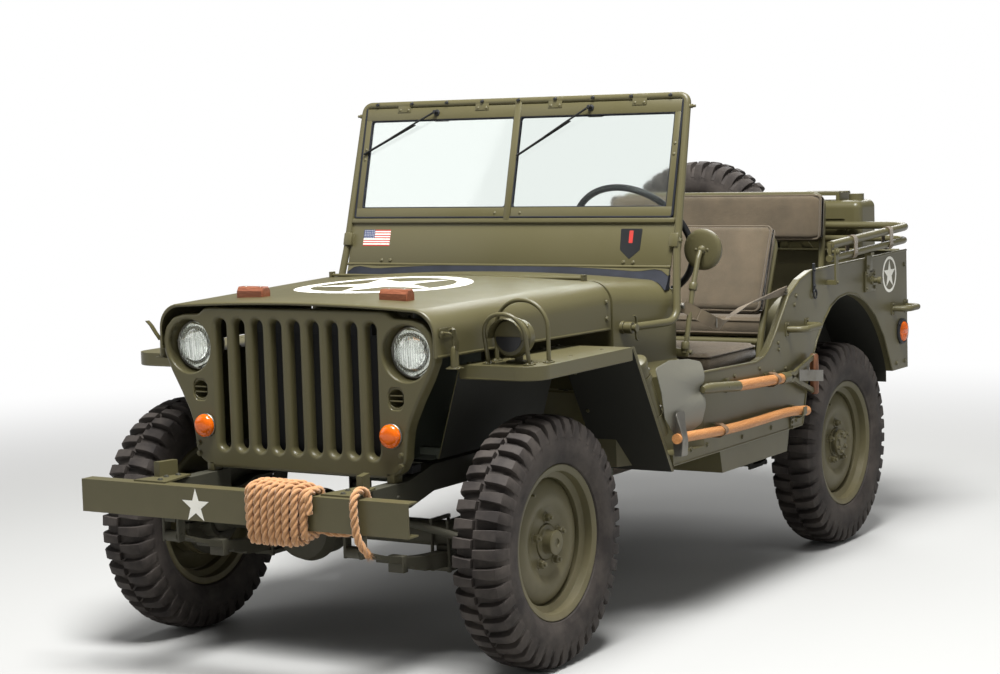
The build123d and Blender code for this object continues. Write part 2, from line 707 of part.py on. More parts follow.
def powertrain():
    """Engine, clutch, gearbox and transfer case as one block on its mounts, the shafts and the exhaust."""
    engine = block((-175, 175), (-60, 430), (560, 845))
    head = block((-120, 120), (-50, 420), (845, 905))
    sump = block((-100, 120), (130, 410), (470, 560))
    bell = cross_prism([(-150, 480), (-150, 720), (-80, 770), (80, 770), (150, 720), (150, 480)], 430, 530)
    box = block((-90, 90), (530, GEARBOX_END), (470, 650))
    transfer = block((-230, 90), (GEARBOX_END, TRANSFER_END), (385, 528))
    skid = block((-RAIL_X + 20, RAIL_X - 20), (850, 970), (366, 372))
    post = block((-60, 60), (880, 940), (371, 386))
    arms = [block(sorted((side * 165, side * 280)), (MOTOR_MOUNT - 12, MOTOR_MOUNT + 12),
                  (570, 592)) for side in (1, -1)]
    feet = [block(sorted((side * 236, side * 280)), (MOTOR_MOUNT - 18, MOTOR_MOUNT + 18),
                  (FRONT_RAIL_Z + 48, 592)) for side in (1, -1)]
    legs = [block(sorted((side * (RAIL_X - 20), side * (RAIL_X + 12))), (860, 960),
                  (366, MID_RAIL_Z - SEAT_GAP)) for side in (1, -1)]
    node("powertrain", engine + [head, sump, bell, box, transfer, skid, post] + feet + arms + legs)
    shafts = []
    for front, rear, z_front, z_rear in ((PINION_REACH, GEARBOX_END, AXLE_Z, SHAFT_Z),
                                         (TRANSFER_END, WHEELBASE - PINION_REACH, SHAFT_Z, AXLE_Z)):
        a, b = (DIFF_X, front + 8, z_front), (DIFF_X, rear - 8, z_rear)
        flanges = [rod((DIFF_X, front + SEAT_GAP, z_front), (DIFF_X, front + 14, z_front), 36),
                   rod((DIFF_X, rear - 14, z_rear), (DIFF_X, rear - SEAT_GAP, z_rear), 36)]
        shafts.append(rod(a, b, 20) + rod(a, along(a, b, 50), 28) + rod(along(b, a, 50), b, 28) + flanges)
    node("drive_shafts", shafts)
    pipe = bar([(175 + SEAT_GAP, 290, 640), (215, 290, 640), (215, 330, PIPE_Z + 7), (PIPE_X, 760, PIPE_Z),
                (PIPE_X, 1060, PIPE_Z)], 20, 18)
    muffler = rod((PIPE_X, 1050, PIPE_Z), (PIPE_X, 1500, PIPE_Z), 52)
    tail = rod((PIPE_X, 1500, PIPE_Z), (PIPE_X, 1560, PIPE_Z), 18)
    node("exhaust", pipe + muffler + tail)


def fuel_tank():
    """Tank under the driver's seat, above and below the floor."""
    x = (TANK_IN, TANK_OUT)
    front = SEAT_PIVOT[0]
    seat_part = block(x, (front + 32, front + 410), (FLOOR_Z + FLOOR_SHEET + SEAT_GAP, 655))
    low = FLOOR_Z - SEAT_GAP
    sump = side_prism([(front - 120, low), (front - 90, 400), (front + 400, 400), (front + 440, low)], *x)
    neck = upright(490, front + 130, 650, 670, 40)
    return [seat_part + neck, sump]


# Nose


def grille():
    """Pressed nose plate: a shell with rolled slots, lamp openings and feet on the frame."""
    outline = GRILLE_HALF + [(-x, z) for x, z in reversed(GRILLE_HALF[1:-1])] + [(0, GRILLE_HALF[-1][1])]
    face = make_face(Polyline(*outline[:-1], close=True))
    shell = cross_push(face, GRILLE_STATION, GRILLE_STATION + GRILLE_RIM)
    inner = offset(face, -GRILLE_SKIN)
    shell = shell - cross_push(inner, GRILLE_STATION + GRILLE_SKIN, GRILLE_STATION + GRILLE_RIM + 1)
    middle, tall = sum(SLOT_Z) / 2, SLOT_Z[1] - SLOT_Z[0]
    slots, rims = [], []
    for k in range(SLOT_COUNT):
        x = (k - (SLOT_COUNT - 1) / 2) * SLOT_PITCH
        hole = Pos(x, middle) * Rot(0, 0, 90) * SlotOverall(tall, SLOT_W)
        rim = Pos(x, middle) * Rot(0, 0, 90) * SlotOverall(tall + 2 * SKIN, SLOT_W + 2 * SKIN)
        slots.append(cross_push(hole, GRILLE_STATION - 1, GRILLE_STATION + SLOT_LIP + 1))
        rims.append(cross_push(rim - hole, GRILLE_STATION, GRILLE_STATION + SLOT_LIP))
    for side in (1, -1):
        for hole in (Pos(side * HEADLIGHT_AT[0], HEADLIGHT_AT[1]) * Circle(HEADLIGHT_HOLE_R),
                     Pos(side * MARKER_AT[0], MARKER_AT[1]) * RectangleRounded(*MARKER_HOLE, 14)):
            slots.append(cross_push(hole, GRILLE_STATION - 1, GRILLE_STATION + 10))
    feet = [block((side * RAIL_X - 12, side * RAIL_X + 12), (GRILLE_STATION, GRILLE_STATION + GRILLE_RIM),
                  (HORN_Z + RAIL_H, 574)) for side in (1, -1)]
    node("grille", shell - slots + rims + feet)


def lamp_turned(profile, x, station, z):
    """Lamp piece: a (radius, distance behind) outline turned about the lamp's own axis."""
    return Pos(x, st(station), z) * turned_along(profile)


def lamps():
    """Headlights deep in the nose, blackout markers, amber domes and tail lamps."""
    x, z = HEADLIGHT_AT
    behind = GRILLE_STATION + GRILLE_SKIN
    rim = LENS_RECESS - GRILLE_SKIN
    hole = HEADLIGHT_HOLE_R
    bucket = [(LENS_R + 1, rim + 4), (LENS_R + 7, rim - 2), (hole + 1, SEAT_GAP), (hole + 8, SEAT_GAP),
              (hole + 8, 26), (hole + 3, 48), (70, 80), (40, 118), (0, 124), (0, 120), (38, 114), (66, 77),
              (LENS_R + 1, rim + 12)]
    lens = [(0, rim - 22), (34, rim - 19), (54, rim - 12), (LENS_R, rim), (LENS_R, rim + 4), (50, rim - 7),
            (30, rim - 14), (0, rim - 17)]
    node("headlights", *pair(lamp_turned(bucket, x, behind, z)), *blackout_marker())
    node("lamp_lenses", *pair(lamp_turned(lens, x, behind, z)))
    r = AMBER_R
    amber = [(0, -26), (r - 13, -25), (r - 3, -18), (r, -8), (r, -SEAT_GAP), (0, -SEAT_GAP)]
    side = Rot(0, 0, 90) * turned_along([(0, -18), (28, -14), (36, -8), (36, -SEAT_GAP), (0, -SEAT_GAP)])
    side = Pos(TUB_HALF, st(TUB_REAR - 50), 722) * side
    tail = [(0, SEAT_GAP), (34, SEAT_GAP), (34, 34), (28, 40), (0, 42)]
    node("marker_lamps", *pair(lamp_turned(amber, AMBER_AT[0], GRILLE_STATION, AMBER_AT[1])), *pair(side),
         *pair(lamp_turned(tail, TUB_HALF - 78, TUB_REAR, 690)))


def blackout_marker():
    body = [(0, SEAT_GAP), (36, SEAT_GAP), (36, 6), (26, 8), (26, 40), (18, 56), (0, 60)]
    return pair(lamp_turned(body, MARKER_AT[0], GRILLE_STATION + GRILLE_SKIN, MARKER_AT[1]))


def radiator():
    core = block((-235, 235), (-205, -150), (585, 950))
    tanks = block((-225, 225), (-215, -140), (950, 1000)) + block((-225, 225), (-215, -140), (545, 585))
    cap = upright(60, -178, 1000, 1016, 26)
    feet = block((-335, 335), (-200, -155), (562.5, 585))
    return core + [tanks, cap, feet]


def fenders():
    """Flat-topped front fenders with a lip, splash plates and inner aprons."""
    s0, s1 = FENDER_STATIONS
    x0, x1 = FENDER_IN, FENDER_X
    top = Pos((x0 + x1) / 2, st((s0 + s1) / 2)) * Rectangle(x1 - x0, s1 - s0)
    corner = top.vertices().group_by(Axis.Y)[0].sort_by(Axis.X)[-1]
    top = fillet(corner, FENDER_CORNER)
    solid = extrude(Plane.XY.offset(FENDER_Z - FENDER_LIP) * top, FENDER_LIP)
    hollow = offset(top, -SKIN) + Pos(x0, st((s0 + s1) / 2)) * Rectangle(2 * SKIN + 2, s1 - s0 - 2 * SKIN)
    hollow = hollow + Pos((x0 + x1) / 2, st(s1)) * Rectangle(x1 - x0 - 2 * SKIN, 2 * SKIN + 2)
    solid = solid - extrude(Plane.XY.offset(FENDER_Z - FENDER_LIP - 1) * hollow, FENDER_LIP + 1 - SKIN)
    foot_s, foot_z = SPLASH_FOOT
    slope = math.atan2(FENDER_Z - foot_z, foot_s - s1)
    thick_s = SKIN / math.sin(slope)
    splash = side_prism([(s1 - 2, FENDER_Z), (s1 - 2 + thick_s, FENDER_Z), (foot_s, foot_z),
                         (foot_s - thick_s, foot_z)], x0, x1)
    edge = side_prism([(s1 - 2, FENDER_Z), (s1 + 14, FENDER_Z), (foot_s + 12, foot_z),
                       (foot_s - thick_s, foot_z)], x1 - SKIN, x1)
    apron = cross_prism([(x0, FENDER_Z), (x0 + 4, FENDER_Z), (x0 - 76, 600), (x0 - 80, 600)], s0, s1)
    half = (solid + [splash, edge, apron]) - cowl_body()
    node("front_fenders", *pair(half))


# Hood and cowl


def arch_face(half, top, crown, edge, shoulder):
    """Hood cross-section: sides, round shoulders and a slightly crowned top."""
    bend = (1 - math.sqrt(0.5)) * shoulder
    right = [Line((half, edge), (half, top - shoulder)),
             ThreePointArc((half, top - shoulder), (half - bend, top - bend), (half - shoulder, top))]
    over = ThreePointArc((half - shoulder, top), (0, top + crown), (shoulder - half, top))
    left = [ThreePointArc((shoulder - half, top), (bend - half, top - bend), (-half, top - shoulder)),
            Line((-half, top - shoulder), (-half, edge))]
    return make_face([*right, over, *left, Line((-half, edge), (half, edge))])


def cross_plane(station):
    return Plane(origin=(0, st(station), 0), x_dir=(1, 0, 0), z_dir=(0, -1, 0))


def hood_solid(wall, past):
    """Space under the hood's skin, reaching past both of its ends."""
    sections = []
    for k, sign in ((1, 1), (0, -1)):
        face = arch_face(HOOD_HALF[k] - wall, HOOD_TOP[k] - HOOD_CROWN[k] - wall, HOOD_CROWN[k],
                         HOOD_EDGE_Z - past, HOOD_SHOULDER - wall)
        sections.append(cross_plane(HOOD_STATIONS[k] + sign * past) * face)
    return loft(sections)


def hood():
    """Hood shell with its hinge rod, and the two wooden rests on it."""
    rear = HOOD_STATIONS[1]
    outer = hood_solid(0, 0)
    s, z = HOOD_HINGE
    reach = HINGE_EAR_X + 9
    rib = block((-reach, reach), (s - 14, s - 2), (z - 16, z + 10))
    behind = block((-reach, reach), (s - 2, rear + 1), (z - 20, z + 10))
    notches = [block(sorted((side * (HINGE_EAR_X - 9), side * reach)), (s - 18, rear + 1), (z - 32, z + 20))
               for side in (1, -1)]
    barrel = across(-HINGE_EAR_X - 6, HINGE_EAR_X + 6, s, z, HINGE_R)
    node("hood", outer - (hood_solid(SKIN, 1) - rib) - behind - notches + barrel)
    wide, deep, tall = REST_SIZE
    front_top = HOOD_TOP[0]
    under = Pos(0, 0, SEAT_GAP) * outer
    rest = block((REST_X - wide / 2, REST_X + wide / 2), (REST_STATION - deep / 2, REST_STATION + deep / 2),
                 (front_top - 10, front_top + tall - 8))
    rest = chamfer(rest.faces().sort_by(Axis.Z)[-1].edges().filter_by(Axis.X), 9)
    node("hood_blocks", *pair(rest - under))


def cowl_face(half_low, half_top, top, crown, shoulder, bottom):
    """Cowl cross-section: a wide foot, a narrow side, round shoulders and a crowned top."""
    bend = (1 - math.sqrt(0.5)) * shoulder
    half, side = half_top, top - shoulder
    right = [Polyline((half_low, bottom), (half_low, COWL_KNEE), (half, COWL_NECK), (half, side)),
             ThreePointArc((half, side), (half - bend, top - bend), (half - shoulder, top))]
    over = ThreePointArc((half - shoulder, top), (0, top + crown), (shoulder - half, top))
    left = [ThreePointArc((shoulder - half, top), (bend - half, top - bend), (-half, side)),
            Polyline((-half, side), (-half, COWL_NECK), (-half_low, COWL_KNEE), (-half_low, bottom))]
    return make_face([*right, over, *left, Line((-half_low, bottom), (half_low, bottom))])


def cowl_solid(wall, past):
    """Space inside the cowl's skin, open at the bottom and rear when it reaches past them."""
    s0, s1 = COWL_STATIONS
    bottom = SIDE_BOTTOM - past
    front_half = HOOD_HALF[1] + 2 - wall
    rear = cowl_face(TUB_HALF - wall, COWL_HALF - wall, COWL_TOP - wall, COWL_CROWN,
                     COWL_SHOULDER - wall, bottom)
    front = cowl_face(front_half, front_half, HOOD_TOP[1] - HOOD_CROWN[1] - wall, HOOD_CROWN[1],
                      HOOD_SHOULDER - wall, bottom)
    return loft([cross_plane(s1 + past) * rear, cross_plane(s0 + wall) * front])


def cowl_body():
    """Outside of the cowl as a solid."""
    return cowl_solid(0, 0)


def cowl(brackets):
    """Scuttle shell with its toe board, steps, hinge ears and windshield pivots."""
    s0, s1 = COWL_STATIONS
    outer = cowl_body()
    inner = cowl_solid(SKIN, 1)
    floor_top = FLOOR_Z + FLOOR_SHEET
    toe = side_prism([(s0 + SKIN, 700), (s1 - 40, FLOOR_Z), (s1, FLOOR_Z), (s1, floor_top),
                      (s1 - 38, floor_top), (s0 + SKIN, 706)], -TUB_HALF, TUB_HALF) & inner
    toe = toe - cross_prism(TUNNEL, s0, s1 + 10) - cross_prism(TUNNEL_CUT, s0, s1 + 10)
    step = block((TUB_HALF - 70, TUB_HALF), (640, s1), (SIDE_BOTTOM + 6, SIDE_BOTTOM + 34)) - outer
    below = block((-500, 500), (s0 - 1, s0 + SKIN + 1), (SIDE_BOTTOM - 1, 712))
    px, ps, pz = SHIELD_PIVOT
    bores = [across(side * (px - 40), side * (px + 30), ps, pz, SHIELD_PIN_R + PIN_FIT) for side in (1, -1)]
    s, z = HOOD_HINGE
    ears = []
    for side in (1, -1):
        x = side * HINGE_EAR_X
        ear_plate = block((x - 4, x + 4), (s - 9, s0 + 2), (z - 26, z + 9))
        ears.append(ear_plate - across(x - 9, x + 9, s, z, HINGE_R + PIN_FIT))
    body = outer - inner - below + toe + brackets + ears + pair(step)
    node("cowl", body - bores - column_rod(COLUMN_R + SEAT_GAP))


def dashboard():
    """Instrument panel with its dials and the passenger's grip."""
    s = COWL_STATIONS[1] + SEAT_GAP
    half = COWL_HALF - 3
    panel = cross_prism([(-half, 885), (half, 885), (half - 7, 1000), (half - 65, 1034), (65 - half, 1034),
                         (7 - half, 1000)], s, s + 4)
    grip = bar([(-520, s + 2, 940), (-520, s + 60, 940), (-330, s + 60, 940), (-330, s + 2, 940)], 9, 22)
    dials = [rod((x, s + 3, 965), (x, s + 13, 965), r) for x, r in ((0, 42), (-84, 26), (84, 26))]
    return (panel + [grip] + dials) - column_rod(COLUMN_R + SEAT_GAP)


# Tub


def arch_edges():
    """Rear wheel arch as arcs, from its front foot to its rear foot."""
    foot, low, high = aft(-442), aft(-394), aft(-316)
    crest, fall = aft(-192), aft(208)
    return [ThreePointArc((st(foot), SIDE_BOTTOM), (st(low), 640), (st(high), 752)),
            ThreePointArc((st(high), 752), (st(crest), 860), (st(aft(-38)), 892)),
            ThreePointArc((st(aft(-38)), 892), (st(fall), 795), (st(ARCH_REAR), REAR_BOTTOM))]


def side_face():
    """Tub side behind the cowl, with its entry cut-out and wheel arch."""
    front = COWL_STATIONS[1]
    entry = [(aft(-349), 998), (aft(-442), 975), (aft(-532), 930), (aft(-641), 814), (aft(-692), 768),
             (aft(-736), 744), (aft(-796), 733)]
    points = [(ARCH_REAR, REAR_BOTTOM), (TUB_REAR, REAR_BOTTOM), (TUB_REAR, TUB_TOP_REAR), *entry,
              (front, 743), (front, SIDE_BOTTOM), (ARCH_FRONT, SIDE_BOTTOM)]
    return make_face([*arch_edges(), Polyline(*[(st(s), z) for s, z in points])])


def body_sides():
    """Tub sides with folded edges, bow brackets, grab handles and tool pads."""
    face = side_face()
    solid = side_push(face, TUB_HALF - RAIL_FOLD, TUB_HALF)
    inner = offset(face, -SKIN)
    side = solid - side_push(inner, TUB_HALF - RAIL_FOLD - 1, TUB_HALF - SKIN)
    bs, bz = BOW_PIVOT
    out = TUB_HALF
    bracket = [block((out, out + 36), (bs - 12, bs + 12), (940, 956)),
               block((out + 30, out + 36), (bs - 12, bs + 12), (940, bz + 14)),
               across(out + 2, out + 36, bs, bz, BOW_PIN_R)]
    cradle = [block((out, out + 8), (BOW_REST, BOW_REST + 30), (950, 1029)),
              block((out, out + 24), (BOW_REST, BOW_REST + 30), (1017, 1029))]
    side = side + bracket + cradle + grips() + tool_rests()
    node("body_sides", *pair(side))


def grips():
    """Grab handles of one side."""
    low, high = TUB_HALF - 1, TUB_HALF + 58
    return [bar([(low, s0, z), (high, s0 + 10, z), (high, s1 - 10, z), (low, s1, z)], 11, 30)
            for s0, s1, z in ((aft(-552), aft(-392), 817), (aft(378), aft(504), 805))]


def tool_rests():
    """Pads that the shovel and the axe lie against, one row each."""
    # Columns: start station, length, bottom, height, reach out from the side
    return [block((TUB_HALF - 1, TUB_HALF + reach - SEAT_GAP), (s, s + length), (z, z + tall))
            for s, length, z, tall, reach in ((1000, 24, 662, 44, SHOVEL_OUT - SOCKET_R),
                                              (1290, 30, 648, 42, SHOVEL_OUT - SHAFT_R),
                                              (900, 24, 545, 32, AXE_OUT - SHAFT_R),
                                              (1480, 24, 524, 38, AXE_OUT - SHAFT_R))]


def wheelhouses():
    """Boxes over the rear wheels, inside the tub."""
    feet = [(ARCH_REAR, REAR_BOTTOM), (ARCH_REAR, SIDE_BOTTOM), (ARCH_FRONT, SIDE_BOTTOM)]
    inner_face = make_face([*arch_edges(), Polyline(*[(st(s), z) for s, z in feet])])
    outer_x = TUB_HALF - RAIL_FOLD
    shell = side_push(offset(inner_face, SKIN), WHEELHOUSE_X, outer_x)
    shell = shell - side_push(inner_face, WHEELHOUSE_X + SKIN, outer_x + 1)
    trim = block((WHEELHOUSE_X - 1, outer_x + 1), (ARCH_FRONT - 90, ARCH_REAR + 102),
                 (SIDE_BOTTOM - 80, FLOOR_Z))
    node("wheelhouses", *pair(shell - trim))


def floor_pan():
    """Front and rear floors with the riser, the gearbox tunnel and the seats' ears."""
    sheet = (FLOOR_Z, FLOOR_Z + FLOOR_SHEET)
    rear_sheet = (REAR_FLOOR_Z, REAR_FLOOR_Z + FLOOR_SHEET)
    s1 = COWL_STATIONS[1]
    wide, fold = TUB_HALF - SKIN, TUB_HALF - RAIL_FOLD
    arch = ARCH_FRONT - 5
    back = TUB_REAR - SKIN
    front = block((-wide, wide), (s1 + 3, arch), sheet) + block((-fold, fold), (s1 + 1, s1 + 3), sheet)
    neck = block((-WHEELHOUSE_X, WHEELHOUSE_X), (arch, RISER_STATION), sheet)
    riser = block((-WHEELHOUSE_X, WHEELHOUSE_X), (RISER_STATION, RISER_STATION + SKIN),
                  (FLOOR_Z, rear_sheet[1]))
    rear = block((-WHEELHOUSE_X, WHEELHOUSE_X), (RISER_STATION, back), rear_sheet)
    tail = block((-fold, fold), (ARCH_REAR + 6, back), rear_sheet)
    end = SEAT_PIVOT[0] + 180
    tunnel = cross_prism(TUNNEL, 640, end) - cross_prism(TUNNEL_CUT, 630, end - SKIN)
    pan = (front + [neck, riser, rear, tail]) - cross_prism(TUNNEL_CUT, 840, end - SKIN) + tunnel
    ears = [ear(-SEAT_X + side * (SEAT_HALF + SEAT_EAR), SEAT_PIVOT, sheet[1]) for side in (1, -1)]
    ears += [ear(side * (REAR_SEAT_HALF + SEAT_EAR), REAR_SEAT_PIVOT, rear_sheet[1]) for side in (1, -1)]
    return pan + ears


def ear(x, pivot, floor):
    """Floor bracket with a bore for a seat's pivot tube."""
    s, z = pivot
    plate = block((x - 3, x + 3), (s - 22, s + 22), (floor - 1, z + 20))
    return plate - across(x - 10, x + 10, s, z, SEAT_TUBE_R + PIN_FIT)


def rear_panel(tray):
    half = TUB_HALF - RAIL_FOLD
    solid = block((-half, half), (TUB_REAR - RAIL_FOLD, TUB_REAR), (REAR_BOTTOM, TUB_TOP_REAR))
    cut = block((-half - 1, half + 1), (TUB_REAR - RAIL_FOLD - 1, TUB_REAR - SKIN),
                (REAR_BOTTOM - 1, TUB_TOP_REAR - SKIN))
    return solid - cut + tray


# Windshield


def shield_plane(forward=0.0):
    """Plane of the windshield: x across, y up the glass, z forward."""
    lean = math.radians(SHIELD_LEAN)
    foot = Vector(0, st(SHIELD_FOOT[0]), SHIELD_FOOT[1])
    ahead = Vector(0, -math.cos(lean), math.sin(lean))
    return Plane(origin=foot + ahead * forward, x_dir=(1, 0, 0), z_dir=ahead)


def shield_plate(x, rise, depth):
    """Flat piece in the windshield: limits across, up the glass and forward."""
    sketch = Pos((x[0] + x[1]) / 2, (rise[0] + rise[1]) / 2) * Rectangle(x[1] - x[0], rise[1] - rise[0])
    return extrude(shield_plane(depth[0]) * sketch, depth[1] - depth[0])


def on_shield(x, rise, forward=0.0):
    """Windshield point as (x, station, z)."""
    point = shield_plane(forward).from_local_coords(Vector(x, rise, 0))
    return (point.X, point.Y - FRONT_AXLE_Y, point.Z)


def windshield():
    """Folding windshield: outer tube, apron, glazed frames and wipers; returns the pivots' brackets."""
    px, ps, pz = SHIELD_PIVOT
    r = SHIELD_TUBE_R
    top = SHIELD_RISE - r
    side = SHIELD_HALF - r
    corner = (SHIELD_HALF + 24, 812, pz + 3)
    right = [(px, ps, pz), corner, on_shield(side + 14, 90), on_shield(side, top)]
    left = [(-x, s, z) for x, s, z in reversed(right)]
    hoop = bar(right + left, r, 55)
    apron = shield_plate((-side, side), (SHIELD_APRON, GLASS_FROM - 14), (-2, 2))
    sill = shield_plate((-side, side), (GLASS_FROM - 22, GLASS_FROM), (-10, 10))
    inner_side = [shield_plate((x - 12, x + 12), (GLASS_FROM - 14, top), (-9, 9))
                  for x in (side - 14, 14 - side)]
    inner_top = shield_plate((-side, side), (top - 26, top - 4), (-9, 9))
    post = shield_plate((-14, 14), (GLASS_FROM - 14, top - 4), (-9, 9))
    frame = hoop + [apron, sill, post, inner_top] + inner_side
    groove = GLASS_HALF + SEAT_GAP
    edge = side - 20
    cuts, panes = [], []
    for x_low, x_high in ((8, edge), (-edge, -8)):
        low, high = GLASS_FROM - 6, top - 16
        cuts.append(shield_plate((x_low, x_high), (low, high), (-groove, groove)))
        panes.append(shield_plate((x_low + SEAT_GAP, x_high - SEAT_GAP),
                                  (low + SEAT_GAP, high - SEAT_GAP), (-GLASS_HALF, GLASS_HALF)))
    frame = frame - cuts
    pins = [across(s * (px - 26), s * (px + 12), ps, pz, SHIELD_PIN_R) for s in (1, -1)]
    eyes = [across(s * (px - 12), s * (px + 14), ps, pz, 18) for s in (1, -1)]
    node("windshield_frame", frame + pins + eyes)
    node("windshield_glass", panes)
    arms = []
    # Columns: across and up at the pivot, across and up at the tip
    for x_pivot, rise, x_tip, tip_rise in ((-317, 560, -590, 415), (275, 560, 20, 400)):
        hub = on_shield(x_pivot, rise, 9.3)
        out = on_shield(x_pivot, rise, 26)
        tip = on_shield(x_tip, tip_rise, 16)
        arms.append(rod(hub, out, 9) + rod(out, tip, 4))
    node("wipers", arms)
    return [across(s * (px - 30), s * (px - 13), ps, pz, 20) for s in (1, -1)]


# Seats


def seat_frame(x_mid, pivots):
    """Tube seat frame; with pivots it has a pivot tube in front in place of front legs."""
    w = SEAT_HALF
    s0, z0 = SEAT_PIVOT
    bend = (s0 + 380, z0 - 11)
    half = [bend, BACK_LOW, BACK_HIGH]
    back = bar([(x_mid - w, *p) for p in half] + [(x_mid + w, *p) for p in reversed(half)], SEAT_TUBE_R, 50)
    rails = [rod((x, s0, z0), (x, s0 + 440, z0), SEAT_TUBE_R) for x in (x_mid - w, x_mid + w)]
    stations = (s0 + 430,) if pivots else (s0 + 14, s0 + 430)
    legs = [upright(x, s, FLOOR_Z + FLOOR_SHEET + SEAT_GAP, z0, SEAT_TUBE_R - 2)
            for x in (x_mid - w, x_mid + w) for s in stations]
    reach = w + (SEAT_EAR + 6 if pivots else 0)
    cross = [across(x_mid - reach, x_mid + reach, s0, z0, SEAT_TUBE_R),
             across(x_mid - w, x_mid + w, bend[0], z0, SEAT_TUBE_R)]
    pan = block((x_mid - w, x_mid + w), (s0, bend[0]), (z0 + 4, z0 + 14))
    return back + rails + legs + cross + [pan]


def pad(x, s, z, size, lean):
    """Rounded pad about a middle point, leaning back by an angle in degrees."""
    solid = fillet(Box(*size).edges(), min(size) * 0.3)
    return Pos(x, st(s), z) * Rot(-lean, 0, 0) * solid


def back_pad(x, low, high, share, size):
    """Backrest in front of tubes that rise from low to high, each (station, z)."""
    lean = math.atan2(high[0] - low[0], high[1] - low[1])
    out = SEAT_TUBE_R + SEAT_GAP + size[1] / 2
    s = low[0] + share * (high[0] - low[0]) - out * math.cos(lean)
    z = low[1] + share * (high[1] - low[1]) + out * math.sin(lean)
    return pad(x, s, z, size, math.degrees(lean))


def seat_pads(x_mid):
    s0, z0 = SEAT_PIVOT
    wide = 2 * SEAT_HALF + 20
    cushion = (wide, 376, 84)
    return [pad(x_mid, s0 + 180, z0 + 14 + SEAT_GAP + cushion[2] / 2, cushion, 0),
            back_pad(x_mid, BACK_LOW, BACK_HIGH, 0.6, (wide, 60, 310))]


def seats():
    """Driver's seat, tipping passenger's seat and the folding rear bench."""
    node("driver_seat_frame", seat_frame(SEAT_X, False))
    node("driver_cushions", seat_pads(SEAT_X))
    node("passenger_seat_frame", seat_frame(-SEAT_X, True))
    node("passenger_cushions", seat_pads(-SEAT_X))
    w = REAR_SEAT_HALF
    s0, z0 = REAR_SEAT_PIVOT
    half = [(s0, z0), (s0 + 275, z0), (s0 + 330, 1225)]
    hoop = bar([(-w, *p) for p in half] + [(w, *p) for p in reversed(half)], SEAT_TUBE_R, 45)
    legs = [upright(x, s0 + 250, REAR_FLOOR_Z + FLOOR_SHEET + SEAT_GAP, z0, SEAT_TUBE_R - 2) for x in (-w, w)]
    cross = across(-w - SEAT_EAR - 6, w + SEAT_EAR + 6, s0, z0, SEAT_TUBE_R)
    pan = block((-w, w), (s0, s0 + 265), (z0 + 4, z0 + 14))
    node("rear_seat_frame", hoop + legs + [cross, pan])
    cushion = (2 * w, 260, 80)
    node("rear_cushions", [pad(0, s0 + 120, z0 + 14 + SEAT_GAP + cushion[2] / 2, cushion, 0),
                           pad(0, s0 + 281, 1142, (2 * w + 40, 56, 170), 6)])


# Controls


def column_axis():
    """Middle of the steering wheel and the direction of its column, towards the driver."""
    lean = math.radians(COLUMN_ANGLE)
    x, s, z = STEERING_WHEEL_AT
    return Vector(x, st(s), z), Vector(0, math.cos(lean), math.sin(lean))


def column_rod(radius):
    """Solid of the steering column's jacket."""
    hub, axis = column_axis()
    return extrude(Plane(origin=hub - axis * 960, z_dir=axis) * Circle(radius), 902)


def controls():
    """Steering wheel with its shaft stub; returns the column and the steering box."""
    hub, axis = column_axis()
    plane = Plane(origin=hub, x_dir=(1, 0, 0), z_dir=axis)
    boss = plane.location * Pos(0, 0, -30) * Cylinder(32, 44)
    reach = STEERING_WHEEL_R - STEERING_RIM_R
    spokes = [plane.location * Rot(0, 0, 90 + 120 * k) * Pos(reach / 2, 0, -12)
              * Rot(0, -3, 0) * Box(reach, 18, 8) for k in range(3)]
    rim = plane.location * Torus(reach, STEERING_RIM_R)
    stub = extrude(plane.offset(-110) * Circle(STUB_R), 70)
    node("steering_wheel", rim + spokes + [boss, stub])
    start = hub - axis * 58
    gear = hub - axis * 960
    bore = extrude(Plane(origin=start - axis * 60, z_dir=axis) * Circle(STUB_R + PIN_FIT), 80)
    jacket = column_rod(COLUMN_R) - bore
    box = Pos(gear.X, gear.Y, gear.Z) * Rot(COLUMN_ANGLE, 0, 0) * Box(90, 130, 100)
    low, high = (rail_bottom(s) + RAIL_H + SEAT_GAP for s in (330, 250))
    foot = side_prism([(250, high), (330, low), (330, 620), (250, 620)], RAIL_X - 14, RAIL_X + 22)
    return jacket + box + foot


def levers():
    """Gear lever and the two transfer levers on the tunnel."""
    pieces = []
    # Columns: foot across and behind, then the tip
    for x, s, tip in ((0, 800, (30, 1010, 905)), (-50, 905, (-50, 985, 850)), (-88, 905, (-95, 985, 850))):
        knob = upright(tip[0], tip[1], tip[2] - 17, tip[2] + 17, 18)
        foot = upright(x, s, 712 + SEAT_GAP, 724 + SEAT_GAP, 18)
        pieces.append(rod((x, s, 720), tip, 8) + knob + foot)
    return pieces


# Stowage


